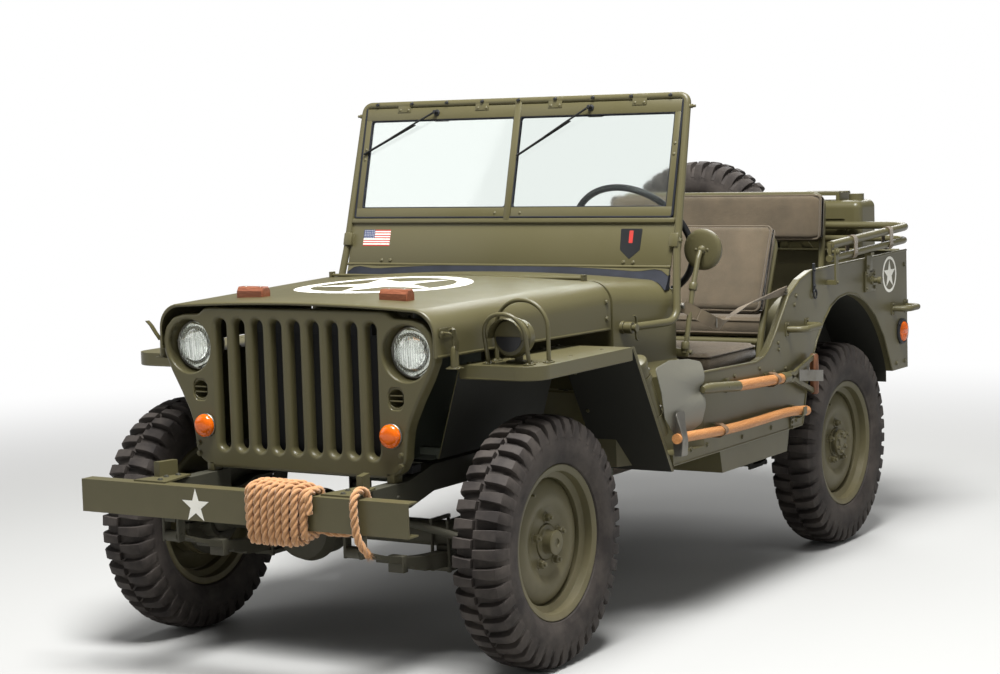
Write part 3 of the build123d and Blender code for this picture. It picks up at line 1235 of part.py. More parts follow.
def tools():
    """Shovel with a dished blade and forked grip, and the axe, both on the left side."""
    out = TUB_HALF + SHOVEL_OUT
    outline = make_face(Polyline(*[(st(s), z) for s, z in ((570, 800), (640, 806), (740, 795), (812, 780),
                                                           (824, 660), (780, 600), (690, 577), (640, 590),
                                                           (600, 660))], close=True))
    outline = fillet(outline.vertices(), 14)
    dish = rod((TUB_HALF + 20 - BLADE_R, 500, 692), (TUB_HALF + 20 - BLADE_R, 900, 692), BLADE_R)
    dish = dish - rod((TUB_HALF + 20 - BLADE_R, 499, 692), (TUB_HALF + 20 - BLADE_R, 901, 692),
                      BLADE_R - BLADE_WALL)
    blade = side_push(outline, TUB_HALF, TUB_HALF + 40) & dish
    socket = rod((out, 770, 704), (out, 1050, 678), SOCKET_R)
    shaft = rod((out, 1040, 679), (out, 1400, 664), SHAFT_R)
    forks = [bar([(out, 1395, 664), (out, 1470, mid), (out, 1640, end)], 8, 30)
             for mid, end in ((664, 712), (655, 590))]
    grip = upright(out, 1644, 583, 718, 15)
    node("shovel", blade + [socket, shaft, grip] + forks)
    out = TUB_HALF + AXE_OUT
    handle = rod((out, 606, 570), (out, 1560, 541), SHAFT_R)
    cheek = Polyline(*[(st(s), z) for s, z in ((606, 640), (618, 590), (614, 515), (652, 515), (648, 590),
                                               (664, 640))])
    edge = ThreePointArc((st(664), 640), (st(635), 650), (st(606), 640))
    wedge = cross_prism([(out - 15, 510), (out + 15, 510), (out + 19, 560), (out + 13, 600), (out + 1.5, 652),
                         (out - 1.5, 652), (out - 13, 600), (out - 19, 560)], 590, 680)
    head = side_push(make_face([cheek, edge]), out - 20, out + 20) & wedge
    node("axe", handle + head)


def bows():
    """Top bows folded down to lie behind the seats."""
    r = BOW_TUBE_R
    x = BOW_X
    bs, bz = BOW_PIVOT
    back = TUB_REAR + 20
    # Columns: radius, front station and z, rear station and z
    upper, lower = [bar([(x, s0, z0), (x, s1, z1), (-x, s1, z1), (-x, s0, z0)], radius, 90)
                    for radius, s0, z0, s1, z1 in ((r, bs - 5, 1077, back, 1103),
                                                   (r - 2, bs - 20, 1030, back - 8, 1054))]
    links = [block(sorted((s * (x - 6), s * (x + 6))), (bs - 14, bs + 14), (1026, 1082)) for s in (1, -1)]
    bores = across(-x - 20, x + 20, bs, bz, BOW_PIN_R + PIN_FIT)
    return (upper + lower + links) - bores


def jerrycan():
    """Pressed fuel can with three handles; returns it and its tray."""
    x, s, z = CAN_AT
    width, deep, tall = CAN_SIZE
    body = fillet(Box(width, deep, tall).edges(), 28)
    panel = RectangleRounded(width - 90, tall - 110, 26)
    ribs = [Rot(0, 0, turn) * Rectangle(2 * tall, 26) for turn in (51, -51)]
    for up in (-1, 1):
        plane = Plane(origin=(0, up * (deep / 2 - 5), -14), x_dir=(1, 0, 0), z_dir=(0, up, 0))
        body = body - extrude(plane * (panel - ribs[0] - ribs[1]), 6)
    can = Pos(x, st(s), z + tall / 2) * body
    top = z + tall
    handles = [block((x - 95, x + 75), (s + k - 10, s + k + 10), (top + 19, top + 33)) for k in (-44, 0, 44)]
    ends = [block((x + e - 7, x + e + 7), (s - 54, s + 54), (top - 3, top + 29)) for e in (-90, 70)]
    cap = upright(x + 125, s, top - 16, top + 24, 28)
    tray = [block((x - 180, x + 180), (TUB_REAR - 1, s + deep / 2 + 6), (z - 12, z - SEAT_GAP)),
            block((x - 180, x + 180), (TUB_REAR - 1, TUB_REAR + 6), (z - 12, z + 150)),
            block((x - 180, x + 180), (s + deep / 2 + 2, s + deep / 2 + 6), (z - 12, z + 40))]
    return can + handles + ends + [cap], tray


def mirror_and_lamp():
    """Mirror on its stem, blackout lamp in its guard, and the canister on the left fender."""
    s, z = MIRROR_AT
    x = MIRROR_X
    rear = COWL_STATIONS[1]
    stem = rod((x, rear + 10, 848), (x, s - 9, z), 8) + rod((x - 6, rear + 3, 800), (x, rear + 10, 850), 10)
    face = Pos(x, st(s), z) * Rot(0, 0, 90) * disc(-8, 8, MIRROR_R)
    foot = block((x - 38, x + 8), (rear + SEAT_GAP, rear + 12), (792, 814))
    node("mirror", stem + face + foot)
    x, s, z = BLACKOUT_AT
    base_z = FENDER_Z + SEAT_GAP
    drum = lamp_turned([(0, 0), (48, 4), (54, 18), (48, 60), (26, 84), (0, 88)], x, s - 30, z)
    visor = lamp_turned([(54, -26), (56, -26), (56, 24), (52, 24), (52, 16), (54, 16)], x, s - 30, z)
    visor = visor - block((x - 70, x + 70), (s - 80, s), (z - 70, z))
    loops = []
    # Columns: half width, station of the feet, station and height of the top, height of the feet
    for half, foot_s, top_s, top_z, low in ((66, s - 34, s - 66, 1010, base_z + 1.4),
                                            (84, s + 40, s + 40, 1040, base_z)):
        loops.append(bar([(x - half, foot_s, low), (x - half, top_s, top_z), (x + half, top_s, top_z),
                          (x + half, foot_s, low)], 6, half - 4))
    post = upright(x, s + 20, FENDER_Z + 1, z - 20, 12)
    base = block((x - 30, x + 30), (s, s + 40), (base_z, FENDER_Z + 6))
    node("blackout_lamp", drum + [visor, post, base], *loops)
    top, foot = (CANISTER_X, *CANISTER_TOP), (CANISTER_X, *CANISTER_FOOT)
    bands = [rod(along(top, foot, d), along(top, foot, d + 16), CANISTER_R + 3) for d in (50, 190)]
    node("canister", rod(top, foot, CANISTER_R) + bands)


os.makedirs("parts", exist_ok=True)
wheels()
axles()
steering()
frame()
bumper()
rope()
node("rear_bumperettes", rear_bumpers())
springs()
shocks()
powertrain()
node("fuel_tank", fuel_tank())
grille()
lamps()
node("radiator", radiator())
fenders()
hood()
cowl(windshield())
node("dashboard", dashboard())
body_sides()
wheelhouses()
node("floor_pan", floor_pan())
can, tray = jerrycan()
node("jerrycan", can)
node("rear_panel", rear_panel(tray))
seats()
node("steering_column", controls(), levers())
tools()
node("top_bows", bows())
mirror_and_lamp()
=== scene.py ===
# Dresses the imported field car: paint, rubber, canvas, glass, rope and the small fittings.
# Metres, +Z up, the car faces -Y and +X is the driver's side.
import random
from math import copysign, cos, exp, pi, radians, sin, sqrt, tan, tau

import bmesh
import bpy
from bpy.props import (
    FloatProperty, FloatVectorProperty, IntProperty, PointerProperty, StringProperty,
)
from mathutils import Matrix, Vector


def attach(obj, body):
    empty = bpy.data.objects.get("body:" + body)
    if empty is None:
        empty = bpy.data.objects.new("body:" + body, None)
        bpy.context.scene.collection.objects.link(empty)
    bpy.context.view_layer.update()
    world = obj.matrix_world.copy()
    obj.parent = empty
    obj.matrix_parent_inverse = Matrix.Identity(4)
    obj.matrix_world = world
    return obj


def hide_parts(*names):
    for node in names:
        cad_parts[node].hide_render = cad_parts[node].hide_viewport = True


bl_info = {
    "name": "Field Car Dressing",
    "version": (1, 0, 0),
    "blender": (4, 5, 0),
    "location": "View3D > Sidebar > Field Car",
    "description": "Paint, tyres, canvas, glass, rope and fittings of an open army car",
    "category": "Object",
}

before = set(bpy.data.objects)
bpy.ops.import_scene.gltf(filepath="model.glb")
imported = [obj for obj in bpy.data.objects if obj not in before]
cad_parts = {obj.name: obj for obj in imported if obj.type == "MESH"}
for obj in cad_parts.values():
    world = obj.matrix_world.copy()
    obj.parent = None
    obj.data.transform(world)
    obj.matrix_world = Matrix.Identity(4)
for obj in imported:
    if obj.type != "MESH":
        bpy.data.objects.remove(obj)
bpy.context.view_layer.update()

# The car's main sizes, as in the solids
AXLE_Y = -1.106
WHEELBASE = 2.032
TRACK = 1.245
AXLE_Z = 0.358
TUB_HALF = 0.718
TUB_END = 2.55
RAIL_X = 0.318
MARKER_X, MARKER_Z = 0.345, 0.784
SIDES = (("left", 1), ("right", -1))

# Directions that fittings face
UP, REAR, AHEAD = (0, 0, 1), (0, 1, 0), (0, -1, 0)

# Thickness of pressed panels and of washers, and a star's inner radius as a share of its outer
SKIN = 0.0022
WASHER = 0.0015
STAR_WAIST = 0.382

# Stray fibres along the rope and at its cut end
SIDE_HAIRS, END_HAIRS = 900, 160

# Control points of the rope's last loop, from the end of its turns
ROPE_LOOP = [(0.266, -1.614, 0.446), (0.294, -1.613, 0.4465), (0.3215, -1.609, 0.446),
    (0.347, -1.6065, 0.454), (0.369, -1.6055, 0.47), (0.385, -1.605, 0.492), (0.393, -1.605, 0.518),
    (0.394, -1.6055, 0.545), (0.395, -1.6155, 0.5623), (0.397, -1.6328, 0.5723),
    (0.399, -1.6592, 0.5723), (0.401, -1.6765, 0.5623), (0.403, -1.6865, 0.545),
    (0.405, -1.687, 0.505), (0.408, -1.6855, 0.463), (0.416, -1.678, 0.43), (0.43, -1.662, 0.404)]


def st(behind):
    """Y of a place given in metres behind the front axle."""
    return AXLE_Y + behind


def pt(x, behind, z):
    """Point given by its place across, metres behind the front axle and height."""
    return Vector((x, AXLE_Y + behind, z))


# Mesh making


def new_mesh():
    return bmesh.new()


def add_faces(bm, points, faces):
    """Adds points and the faces between them, and returns the new vertices."""
    made = [bm.verts.new(p) for p in points]
    for face in faces:
        bm.faces.new([made[i] for i in face])
    return made


def add_rings(bm, rings, closed=True, capped=False):
    """Skins a list of equal point rings; closed joins each ring's last point to its first."""
    count = len(rings[0])
    points = [p for ring in rings for p in ring]
    faces = []
    span = count if closed else count - 1
    for k in range(len(rings) - 1):
        for i in range(span):
            j = (i + 1) % count
            faces.append((k * count + i, k * count + j, (k + 1) * count + j, (k + 1) * count + i))
    if capped:
        faces.append(tuple(reversed(range(count))))
        faces.append(tuple(range((len(rings) - 1) * count, len(rings) * count)))
    return add_faces(bm, points, faces)


def frame_at(origin, ahead, up=(0, 0, 1)):
    """Matrix whose local X points ahead, with local Z as near to up as it can be."""
    x = Vector(ahead).normalized()
    z = Vector(up)
    z = z - x * z.dot(x)
    if z.length < 1e-6:
        z = Vector(REAR) - x * x.y
    z.normalize()
    y = z.cross(x)
    return Matrix.Translation(Vector(origin)) @ Matrix((x, y, z)).transposed().to_4x4()


def circle(steps, radius=1.0, start=0.0):
    """Points (u, v) of a circle about the origin."""
    turns = [start + tau * k / steps for k in range(steps)]
    return [(radius * cos(turn), radius * sin(turn)) for turn in turns]


def hexagon(place, *stops):
    """Rings of six points about the place's local X, one for each (along, radius)."""
    return [[place @ Vector((along, u, v)) for u, v in circle(6, radius)]
        for along, radius in stops]


def add_turned(bm, profile, place, steps, loop=False):
    """Turns (along, radius) points about the place's local X."""
    rings = [[place @ Vector((along, u, v)) for u, v in circle(steps, radius)]
        for along, radius in profile]
    if loop:
        rings.append(rings[0])
    made = add_rings(bm, rings)
    if loop:
        bmesh.ops.remove_doubles(bm, verts=made[:steps] + made[-steps:], dist=1e-6)
    return made


def add_box(bm, low, high, bevel=0.0, place=None):
    """Box between two corners, with its edges rounded by bevel."""
    low, high = Vector(low), Vector(high)
    corners = [Vector((x, y, z)) for x in (low.x, high.x) for y in (low.y, high.y)
        for z in (low.z, high.z)]
    faces = [(0, 1, 3, 2), (4, 6, 7, 5), (0, 4, 5, 1), (2, 3, 7, 6), (0, 2, 6, 4), (1, 5, 7, 3)]
    made = add_faces(bm, corners, faces)
    if bevel:
        edges = list({edge for vert in made for edge in vert.link_edges})
        bent = bmesh.ops.bevel(bm, geom=edges, offset=bevel, segments=2, profile=0.5,
            affect="EDGES")
        made = list({v for face in bent["faces"] for v in face.verts} | {v
            for v in made if v.is_valid})
    if place is not None:
        bmesh.ops.transform(bm, matrix=place, verts=made)
    return made


def add_slab(bm, outline, low, high, place):
    """Flat piece: an outline of (x, y) points pushed along the place's Z."""
    rings = [[place @ Vector((x, y, z)) for x, y in outline] for z in (low, high)]
    return add_rings(bm, rings, capped=True)


def rounded(points, radius, steps=6):
    """Polyline with its inner corners turned to arcs of one radius, or of a radius for each."""
    points = [Vector(p) for p in points]
    radii = [radius] * len(points) if isinstance(radius, (int, float)) else radius
    out = [points[0]]
    for before, corner, after, bend in zip(points, points[1:], points[2:], radii):
        a, b = before - corner, after - corner
        reach = min(bend / tan(a.angle(b) / 2) if a.angle(b) < 3.1 else 0, a.length * 0.49,
            b.length * 0.49)
        if reach <= 1e-6:
            out.append(corner)
            continue
        start, end = corner + a.normalized() * reach, corner + b.normalized() * reach
        for k in range(steps + 1):
            t = k / steps
            out.append(start * (1 - t) ** 2 + corner * 2 * t * (1 - t) + end * t * t)
    return out + [points[-1]]


def add_tube(bm, points, radius, sides, closed=False):
    """Round tube along points; radius may be a number or one for each point."""
    points = [Vector(p) for p in points]
    count = len(points)
    radii = [radius] * count if isinstance(radius, (int, float)) else radius
    tangents = []
    for k in range(count):
        before = points[(k - 1) % count] if closed or k else points[0]
        after = points[(k + 1) % count] if closed or k < count - 1 else points[-1]
        tangents.append((after - before).normalized())
    side = tangents[0].orthogonal().normalized()
    rings = []
    for k in range(count):
        side = (side - tangents[k] * side.dot(tangents[k])).normalized()
        other = tangents[k].cross(side)
        rings.append([points[k] + (side * u + other * v) * radii[k] for u, v in circle(sides)])
    if closed:
        rings.append(rings[0])
    return add_rings(bm, rings, capped=not closed)


def add_ribs(bm, place, count, line, radius):
    """Thin ribs along (along, radius) points, spread round the place's local X."""
    for u, v in circle(count):
        add_tube(bm, [place @ Vector((along, r * u, r * v)) for along, r in line], radius, 5)


def heading(points, k):
    """Direction of a line at one of its points."""
    return (points[min(k + 1, len(points) - 1)] - points[max(k - 1, 0)]).normalized()


def add_strap(bm, points, width, thick, across):
    """Flat strap along points, its width along the across direction."""
    points = [Vector(p) for p in points]
    across = Vector(across).normalized() * width / 2
    rings = []
    for k, point in enumerate(points):
        out = heading(points, k).cross(across).normalized() * thick / 2
        rings.append([point - across - out, point + across - out, point + across + out,
            point - across + out])
    return add_rings(bm, rings, capped=True)


def add_bolt(bm, at, normal, across, tall):
    """Hexagon bolt head on its washer."""
    place = frame_at(at, normal)
    add_turned(bm, [(0, 0), (0, across * 0.75), (WASHER, across * 0.72), (WASHER, 0)], place, 16)
    radius = across / sqrt(3)
    head = hexagon(place, (0.001, radius), (tall * 0.8, radius), (tall, radius * 0.82))
    add_rings(bm, head, capped=True)


def add_screw(bm, at, normal, radius, tall):
    """Round-headed screw or rivet."""
    place = frame_at(at, normal)
    add_turned(bm, [(0, 0), (0, radius), (tall * 0.5, radius * 0.86), (tall * 0.86, radius * 0.5),
        (tall, 0)], place, 12)


def make_piece(bm, name, finish, stands_for=(), body="chassis", sharp=35):
    """Turns the mesh into a shaded object that rides on a body and stands for some solids."""
    bmesh.ops.remove_doubles(bm, verts=bm.verts, dist=1e-6)
    bmesh.ops.recalc_face_normals(bm, faces=bm.faces)
    mesh = bpy.data.meshes.new(name)
    bm.to_mesh(mesh)
    bm.free()
    mesh.materials.append(FINISH[finish])
    mesh.shade_smooth()
    mesh.set_sharp_from_angle(angle=radians(sharp))
    piece = bpy.data.objects.new(name, mesh)
    bpy.context.scene.collection.objects.link(piece)
    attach(piece, body)
    if stands_for:
        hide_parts(*stands_for)
    return piece


# Finishes


def linear(colour):
    """sRGB hex value, such as 6B6A4A, as linear red, green, blue and alpha."""
    parts = [int(colour[i:i + 2], 16) / 255 for i in (0, 2, 4)]
    return tuple(c / 12.92 if c <= 0.04045 else ((c + 0.055) / 1.055) ** 2.4
        for c in parts) + (1.0,)


def put(tree, kind, inputs=None, **settings):
    """Adds one shader node with its settings; inputs are values or the sockets that feed them."""
    made = tree.nodes.new(kind)
    for name, value in settings.items():
        setattr(made, name, value)
    for name, value in (inputs or {}).items():
        if isinstance(value, bpy.types.NodeSocket):
            tree.links.new(value, made.inputs[name])
        else:
            made.inputs[name].default_value = value
    return made


def blank(name):
    """New material with its node tree, its surface shader and the place in object space."""
    material = bpy.data.materials.new(name)
    material.use_nodes = True
    tree = material.node_tree
    shader = tree.nodes["Principled BSDF"]
    place = put(tree, "ShaderNodeTexCoord").outputs["Object"]
    return material, tree, shader, place


def noise(tree, place, size_mm, detail=3.0, rough=0.5, warp=0.0):
    """Noise whose lumps are about size_mm across."""
    return put(tree, "ShaderNodeTexNoise", {"Vector": place, "Scale": 1000 / size_mm,
        "Detail": detail, "Roughness": rough, "Distortion": warp}).outputs["Fac"]


def ramp(tree, fac, stops):
    """Colour ramp from (place, hex colour) stops."""
    made = put(tree, "ShaderNodeValToRGB", {"Fac": fac})
    points = made.color_ramp.elements
    for k, (at, colour) in enumerate(stops):
        point = points[k] if k < 2 else points.new(at)
        point.position = at
        point.color = linear(colour)
    return made.outputs["Color"]


def threshold(tree, fac, dark, pale):
    """Black up to one value, white from the other."""
    return ramp(tree, fac, ((dark, "000000"), (pale, "FFFFFF")))


def times(tree, one, two):
    return put(tree, "ShaderNodeMath", {0: one, 1: two}, operation="MULTIPLY").outputs[0]


def remap(tree, value, start, end, low=0.0, high=1.0):
    """What lies between start and end, spread from low to high."""
    return put(tree, "ShaderNodeMapRange", {"Value": value, "From Min": start, "From Max": end,
        "To Min": low, "To Max": high}).outputs["Result"]


def mix(tree, fac, one, two):
    """Blend of two colours, each a value or a socket."""
    made = put(tree, "ShaderNodeMix", data_type="RGBA")
    for socket, value in ((made.inputs[0], fac), (made.inputs[6], one), (made.inputs[7], two)):
        if isinstance(value, bpy.types.NodeSocket):
            tree.links.new(value, socket)
        else:
            socket.default_value = value
    return made.outputs[2]


def bump(tree, height, depth_mm, under=None):
    """Bump whose full height is depth_mm."""
    inputs = {"Height": height, "Strength": 1.0, "Distance": depth_mm / 1000}
    if under is not None:
        inputs["Normal"] = under
    return put(tree, "ShaderNodeBump", inputs).outputs["Normal"]


def wire(tree, shader, **links):
    """Links or sets the surface shader's sockets."""
    names = {"colour": "Base Color", "rough": "Roughness", "normal": "Normal", "metal": "Metallic",
        "ior": "IOR", "clear": "Transmission Weight", "sheen": "Sheen Weight",
        "shine": "Specular IOR Level"}
    for key, value in links.items():
        socket = shader.inputs[names[key]]
        if isinstance(value, bpy.types.NodeSocket):
            tree.links.new(value, socket)
        else:
            socket.default_value = value


def sprayed_enamel(name, colour, worn, dusty, gloss=0.36):
    """Lustreless alkyd enamel sprayed over pressed steel: faint orange peel, cloudy tone, and
    pale dust that gathers low down."""
    material, tree, shader, place = blank(name)
    clouds = noise(tree, place, 420, 4.0, 0.55)
    tone = mix(tree, clouds, linear(colour), linear(worn))
    height = put(tree, "ShaderNodeSeparateXYZ", {"Vector": place}).outputs["Z"]
    low = remap(tree, height, 0.62, 0.12, 0, 0.42)
    dust = times(tree, low, noise(tree, place, 60, 5.0, 0.6))
    speck = remap(tree, noise(tree, place, 3.0, 2.0), 0.66, 0.8, 0, 0.25)
    amount = put(tree, "ShaderNodeMath", {0: dust, 1: speck}, operation="MAXIMUM").outputs[0]
    shade = mix(tree, amount, tone, linear(dusty))
    rough = remap(tree, clouds, 0.3, 0.7, gloss - 0.06, gloss + 0.1)
    peel = noise(tree, place, 2.5, 2.0)
    edge = put(tree, "ShaderNodeBevel", {"Radius": 0.0022}, samples=4).outputs["Normal"]
    wire(tree, shader, colour=shade, rough=rough, ior=1.5, shine=0.34,
        normal=bump(tree, peel, 0.05, edge))
    return material


def vulcanised_rubber(name, colour, chalky, coarse_mm, gloss=0.72):
    """Moulded and vulcanised rubber: near black, chalky grey where it has weathered."""
    material, tree, shader, place = blank(name)
    patches = noise(tree, place, 90, 5.0, 0.62)
    grit = noise(tree, place, coarse_mm, 3.0, 0.6)
    shade = mix(tree, threshold(tree, patches, 0.35, 0.75), linear(colour), linear(chalky))
    wire(tree, shader, shine=0.2, colour=shade, rough=gloss, ior=1.52,
        normal=bump(tree, grit, 0.35))
    return material


def cotton_duck(name, colour, faded, thread_mm=1.1):
    """Cotton duck: a plain weave of thick thread, drawn a little coarse so that it shows, with
    rubbed, faded patches."""
    material, tree, shader, place = blank(name)
    weave = []
    for axis in ((1, 0, 0.35), (0.2, 1, 1)):
        across = put(tree, "ShaderNodeVectorMath", {0: place, 1: axis},
            operation="DOT_PRODUCT").outputs["Value"]
        turn = times(tree, across, 2 * pi * 1000 / (2 * thread_mm))
        weave.append(put(tree, "ShaderNodeMath", {0: turn}, operation="SINE").outputs[0])
    thread = remap(tree, times(tree, *weave), -1.0, 1.0)
    rub = threshold(tree, noise(tree, place, 130, 5.0, 0.6), 0.38, 0.72)
    ground = mix(tree, rub, linear(colour), linear(faded))
    shade = mix(tree, thread, ground, mix(tree, 0.75, (0, 0, 0, 1), ground))
    folds = bump(tree, noise(tree, place, 38, 4.0, 0.55), 1.6)
    wire(tree, shader, colour=shade, rough=0.92, sheen=0.25, normal=bump(tree, thread, 0.35, folds))
    return material


def oiled_timber(name, pale, deep, ring_mm, along, gloss=0.5):
    """Riven hardwood, oiled: long grain that runs along one axis, darker in the pores."""
    material, tree, shader, place = blank(name)
    squeeze = [1.0, 1.0, 1.0]
    squeeze["XYZ".index(along)] = 0.06
    stretched = put(tree, "ShaderNodeMapping", {"Vector": place,
        "Scale": squeeze}).outputs["Vector"]
    grain = noise(tree, stretched, ring_mm * 3, 6.0, 0.6, 0.4)
    pores = noise(tree, stretched, ring_mm * 0.5, 4.0, 0.7)
    shade = ramp(tree, grain, ((0.3, deep), (0.68, pale)))
    dark = mix(tree, threshold(tree, pores, 0.45, 0.6), linear(deep), shade)
    wire(tree, shader, colour=dark, rough=gloss, ior=1.5, normal=bump(tree, pores, 0.2))
    return material


def twisted_manila(name, pale, deep):
    """Manila fibre laid into strands: golden, with darker creases and stray hairs."""
    material, tree, shader, place = blank(name)
    fibres = noise(tree, place, 1.4, 4.0, 0.7, 1.5)
    patches = noise(tree, place, 35, 3.0)
    shade = mix(tree, patches, ramp(tree, fibres, ((0.3, deep), (0.62, pale))), linear(pale))
    wire(tree, shader, colour=shade, rough=0.9, sheen=0.3, normal=bump(tree, fibres, 0.8))
    return material


def toughened_glass(name, tint, clear=1.0, gloss=0.02):
    """Float glass: clear, with a faint green cast and wiped smears."""
    material, tree, shader, place = blank(name)
    smears = noise(tree, place, 160, 3.0, 0.6, 0.6)
    rough = remap(tree, smears, 0.35, 0.7, gloss, gloss + 0.05)
    wire(tree, shader, colour=linear(tint), rough=rough, clear=clear, ior=1.46)
    return material


def moulded_plastic(name, colour, gloss=0.25, clear=0.0):
    """Injection-moulded acrylic or bakelite: glossy, even in colour."""
    material, tree, shader, place = blank(name)
    haze = noise(tree, place, 25, 3.0)
    shade = mix(tree, haze, linear(colour), mix(tree, 0.85, (0, 0, 0, 1), linear(colour)))
    wire(tree, shader, colour=shade, rough=gloss, clear=clear, ior=1.49)
    return material


def bare_metal(name, colour, gloss, grain_mm=1.2, stained="3A3128", stain=0.35):
    """Machined or plated metal with fine brushing and some staining."""
    material, tree, shader, place = blank(name)
    brushed = noise(tree, place, grain_mm, 2.0, 0.7)
    marks = threshold(tree, noise(tree, place, 30, 5.0, 0.65), 0.5, 0.8)
    amount = times(tree, marks, stain)
    shade = mix(tree, amount, linear(colour), linear(stained))
    rough = remap(tree, brushed, 0, 1.0, gloss * 0.7, gloss * 1.4)
    wire(tree, shader, colour=shade, metal=1.0, rough=rough, normal=bump(tree, brushed, 0.03))
    return material


def tanned_leather(name, colour, worn):
    """Vegetable-tanned leather: fine pebbled grain, with paler rubbed patches."""
    material, tree, shader, place = blank(name)
    pebble = put(tree, "ShaderNodeTexVoronoi", {"Vector": place,
        "Scale": 1000 / 2.2}).outputs["Distance"]
    rub = noise(tree, place, 22, 3.0)
    shade = mix(tree, rub, linear(colour), linear(worn))
    wire(tree, shader, colour=shade, rough=0.55, normal=bump(tree, pebble, 0.3))
    return material


def stencil_paint(name, colour, under):
    """Brushed-on marking paint, thin enough that a little of the coat below shows."""
    material, tree, shader, place = blank(name)
    thin = ramp(tree, noise(tree, place, 14, 5.0, 0.7), ((0.28, "FFFFFF"), (0.42, "000000")))
    amount = times(tree, thin, 0.35)
    shade = mix(tree, amount, linear(colour), linear(under))
    wire(tree, shader, colour=shade, rough=0.55, normal=bump(tree, noise(tree, place, 3, 2.0),
        0.05))
    return material


def make_finishes(paint):
    """All of the car's finishes, by the name that the pieces use."""
    olive, worn, dusty = paint.olive, paint.olive_worn, paint.dust
    return {
        "olive": sprayed_enamel("lustreless olive enamel", olive, worn, dusty),
        "olive_dark": sprayed_enamel("chassis enamel", "33332A", "3B3A2E", "6E6553", 0.6),
        "olive_wheel": sprayed_enamel("wheel enamel", olive, worn, "8A7F66", 0.5),
        # Near-black coat for the faces under the fenders and in the wheel arches: partly a real
        # dark underbody coat, partly painted shade.
        "undercoat_and_shade": sprayed_enamel("bituminous coat with painted shade", "1C1C17", "24231C", "3E392D", 0.7),
        # Paler than the body paint: partly the blade's own lighter paint, partly a painted
        # highlight where the dished blade faces the sky.
        "blade": sprayed_enamel("pale tool enamel with painted highlight", "67665A", "77756A", "7C7566", 0.34),
        "black": sprayed_enamel("black stove enamel", "17181A", "1F2021", "5C574C", 0.4),
        "tyre": vulcanised_rubber("vulcanised tyre rubber", "2B2725", "4A443F", 1.6),
        "rubber": vulcanised_rubber("extruded rubber seal", "15171D", "20232B", 1.0, 0.7),
        "canvas": cotton_duck("olive cotton duck", "4C412F", "5E513D"),
        "webbing": cotton_duck("cotton webbing", "574A35", "6E6048", 1.6),
        "handle": oiled_timber("oiled ash", "CF9A66", "A06A3A", 2.2, "Y"),
        "grip": oiled_timber("stained ash", "8A5A36", "5E3820", 2.2, "Z"),
        "block": oiled_timber("varnished oak", "9A6246", "6E3B24", 3.0, "X", 0.35),
        "rope": twisted_manila("three-strand manila", "BE8E5F", "6F4A2C"),
        "glass": toughened_glass("toughened windscreen glass", "EDF4F0"),
        "lens": toughened_glass("pressed lamp glass", "F6F8F6", 1.0, 0.03),
        "amber": moulded_plastic("moulded amber acrylic", "E8690A", 0.16, 0.15),
        "red": moulded_plastic("moulded red acrylic", "7E0D0A", 0.2),
        "bakelite": moulded_plastic("black bakelite", "16161A", 0.28),
        "silver": bare_metal("silvered reflector", "F2F2EE", 0.06, 3.0, "D8D8D0", 0.1),
        "steel": bare_metal("worn machined steel", "85827A", 0.42),
        "dull_steel": bare_metal("heat-stained pipe steel", "6E655B", 0.6, 2.0, "3B2A1D", 0.7),
        "iron": sprayed_enamel("engine enamel over cast iron", "4A4F45", "555A4F", "6B6454", 0.6),
        "leather": tanned_leather("tanned leather", "5B4632", "7A624A"),
        "white": stencil_paint("white marking paint", "E4E2D8", olive),
        "blue": stencil_paint("blue marking paint", "2B3A63", olive),
        "badge_red": stencil_paint("red marking paint", "A82A22", olive),
        "dial": moulded_plastic("enamelled dial", "14140F", 0.3),
    }


# Settings that a user would change


def colour_setting(name, description, default):
    return StringProperty(name=name, description=description, default=default)


def length_setting(name, description, default, low=0.0, high=4.0):
    return FloatProperty(name=name, description=description, default=default, min=low, max=high,
        subtype="DISTANCE", unit="LENGTH", precision=4)


class PaintSettings(bpy.types.PropertyGroup):
    olive: colour_setting("Olive", "Body paint as an sRGB hex value", "4B472D")
    olive_worn: colour_setting("Worn olive", "Faded body paint as an sRGB hex value", "544F37")
    dust: colour_setting("Dust", "Road dust as an sRGB hex value", "857B62")
    floor: colour_setting("Floor", "Studio floor as an sRGB hex value", "A2A2A0")


class TyreSettings(bpy.types.PropertyGroup):
    lugs: IntProperty(name="Lugs", description="Tread bars on each side of a tyre", default=42,
        min=12, max=60)
    lug_width: length_setting("Lug width", "Width of a tread bar along the tread", 0.029, 0.01,
        0.06)
    lug_tall: length_setting("Lug height", "How far a tread bar stands out", 0.016, 0.004, 0.03)
    radius: length_setting("Radius", "Outside radius of a tyre", 0.358, 0.2, 0.6)


class RopeSettings(bpy.types.PropertyGroup):
    diameter: length_setting("Rope diameter", "Thickness of the bumper rope", 0.023, 0.01, 0.05)
    turns: IntProperty(name="Turns", description="Turns of rope on the bumper", default=9, min=3,
        max=14)
    start: length_setting("First turn", "Where the first turn lies across the bumper", 0.038)


class StageSettings(bpy.types.PropertyGroup):
    lens: FloatProperty(name="Lens", description="Camera focal length", default=80.3, min=20,
        max=200, subtype="DISTANCE_CAMERA", unit="CAMERA")
    key_power: FloatProperty(name="Key light", description="Power of the main lamp", default=1080.0,
        min=0.0, subtype="POWER", unit="POWER")
    eye: FloatVectorProperty(name="Camera place", description="Where the camera stands",
        default=(3.8157, -6.4041, 1.5384), size=3, subtype="XYZ", unit="LENGTH")


class CarSettings(bpy.types.PropertyGroup):
    paint: PointerProperty(type=PaintSettings, name="Paint", description="Paint colours")
    tyre: PointerProperty(type=TyreSettings, name="Tyres", description="Tyre sizes")
    rope: PointerProperty(type=RopeSettings, name="Rope", description="Rope sizes")
    stage: PointerProperty(type=StageSettings, name="Stage", description="Camera and light")


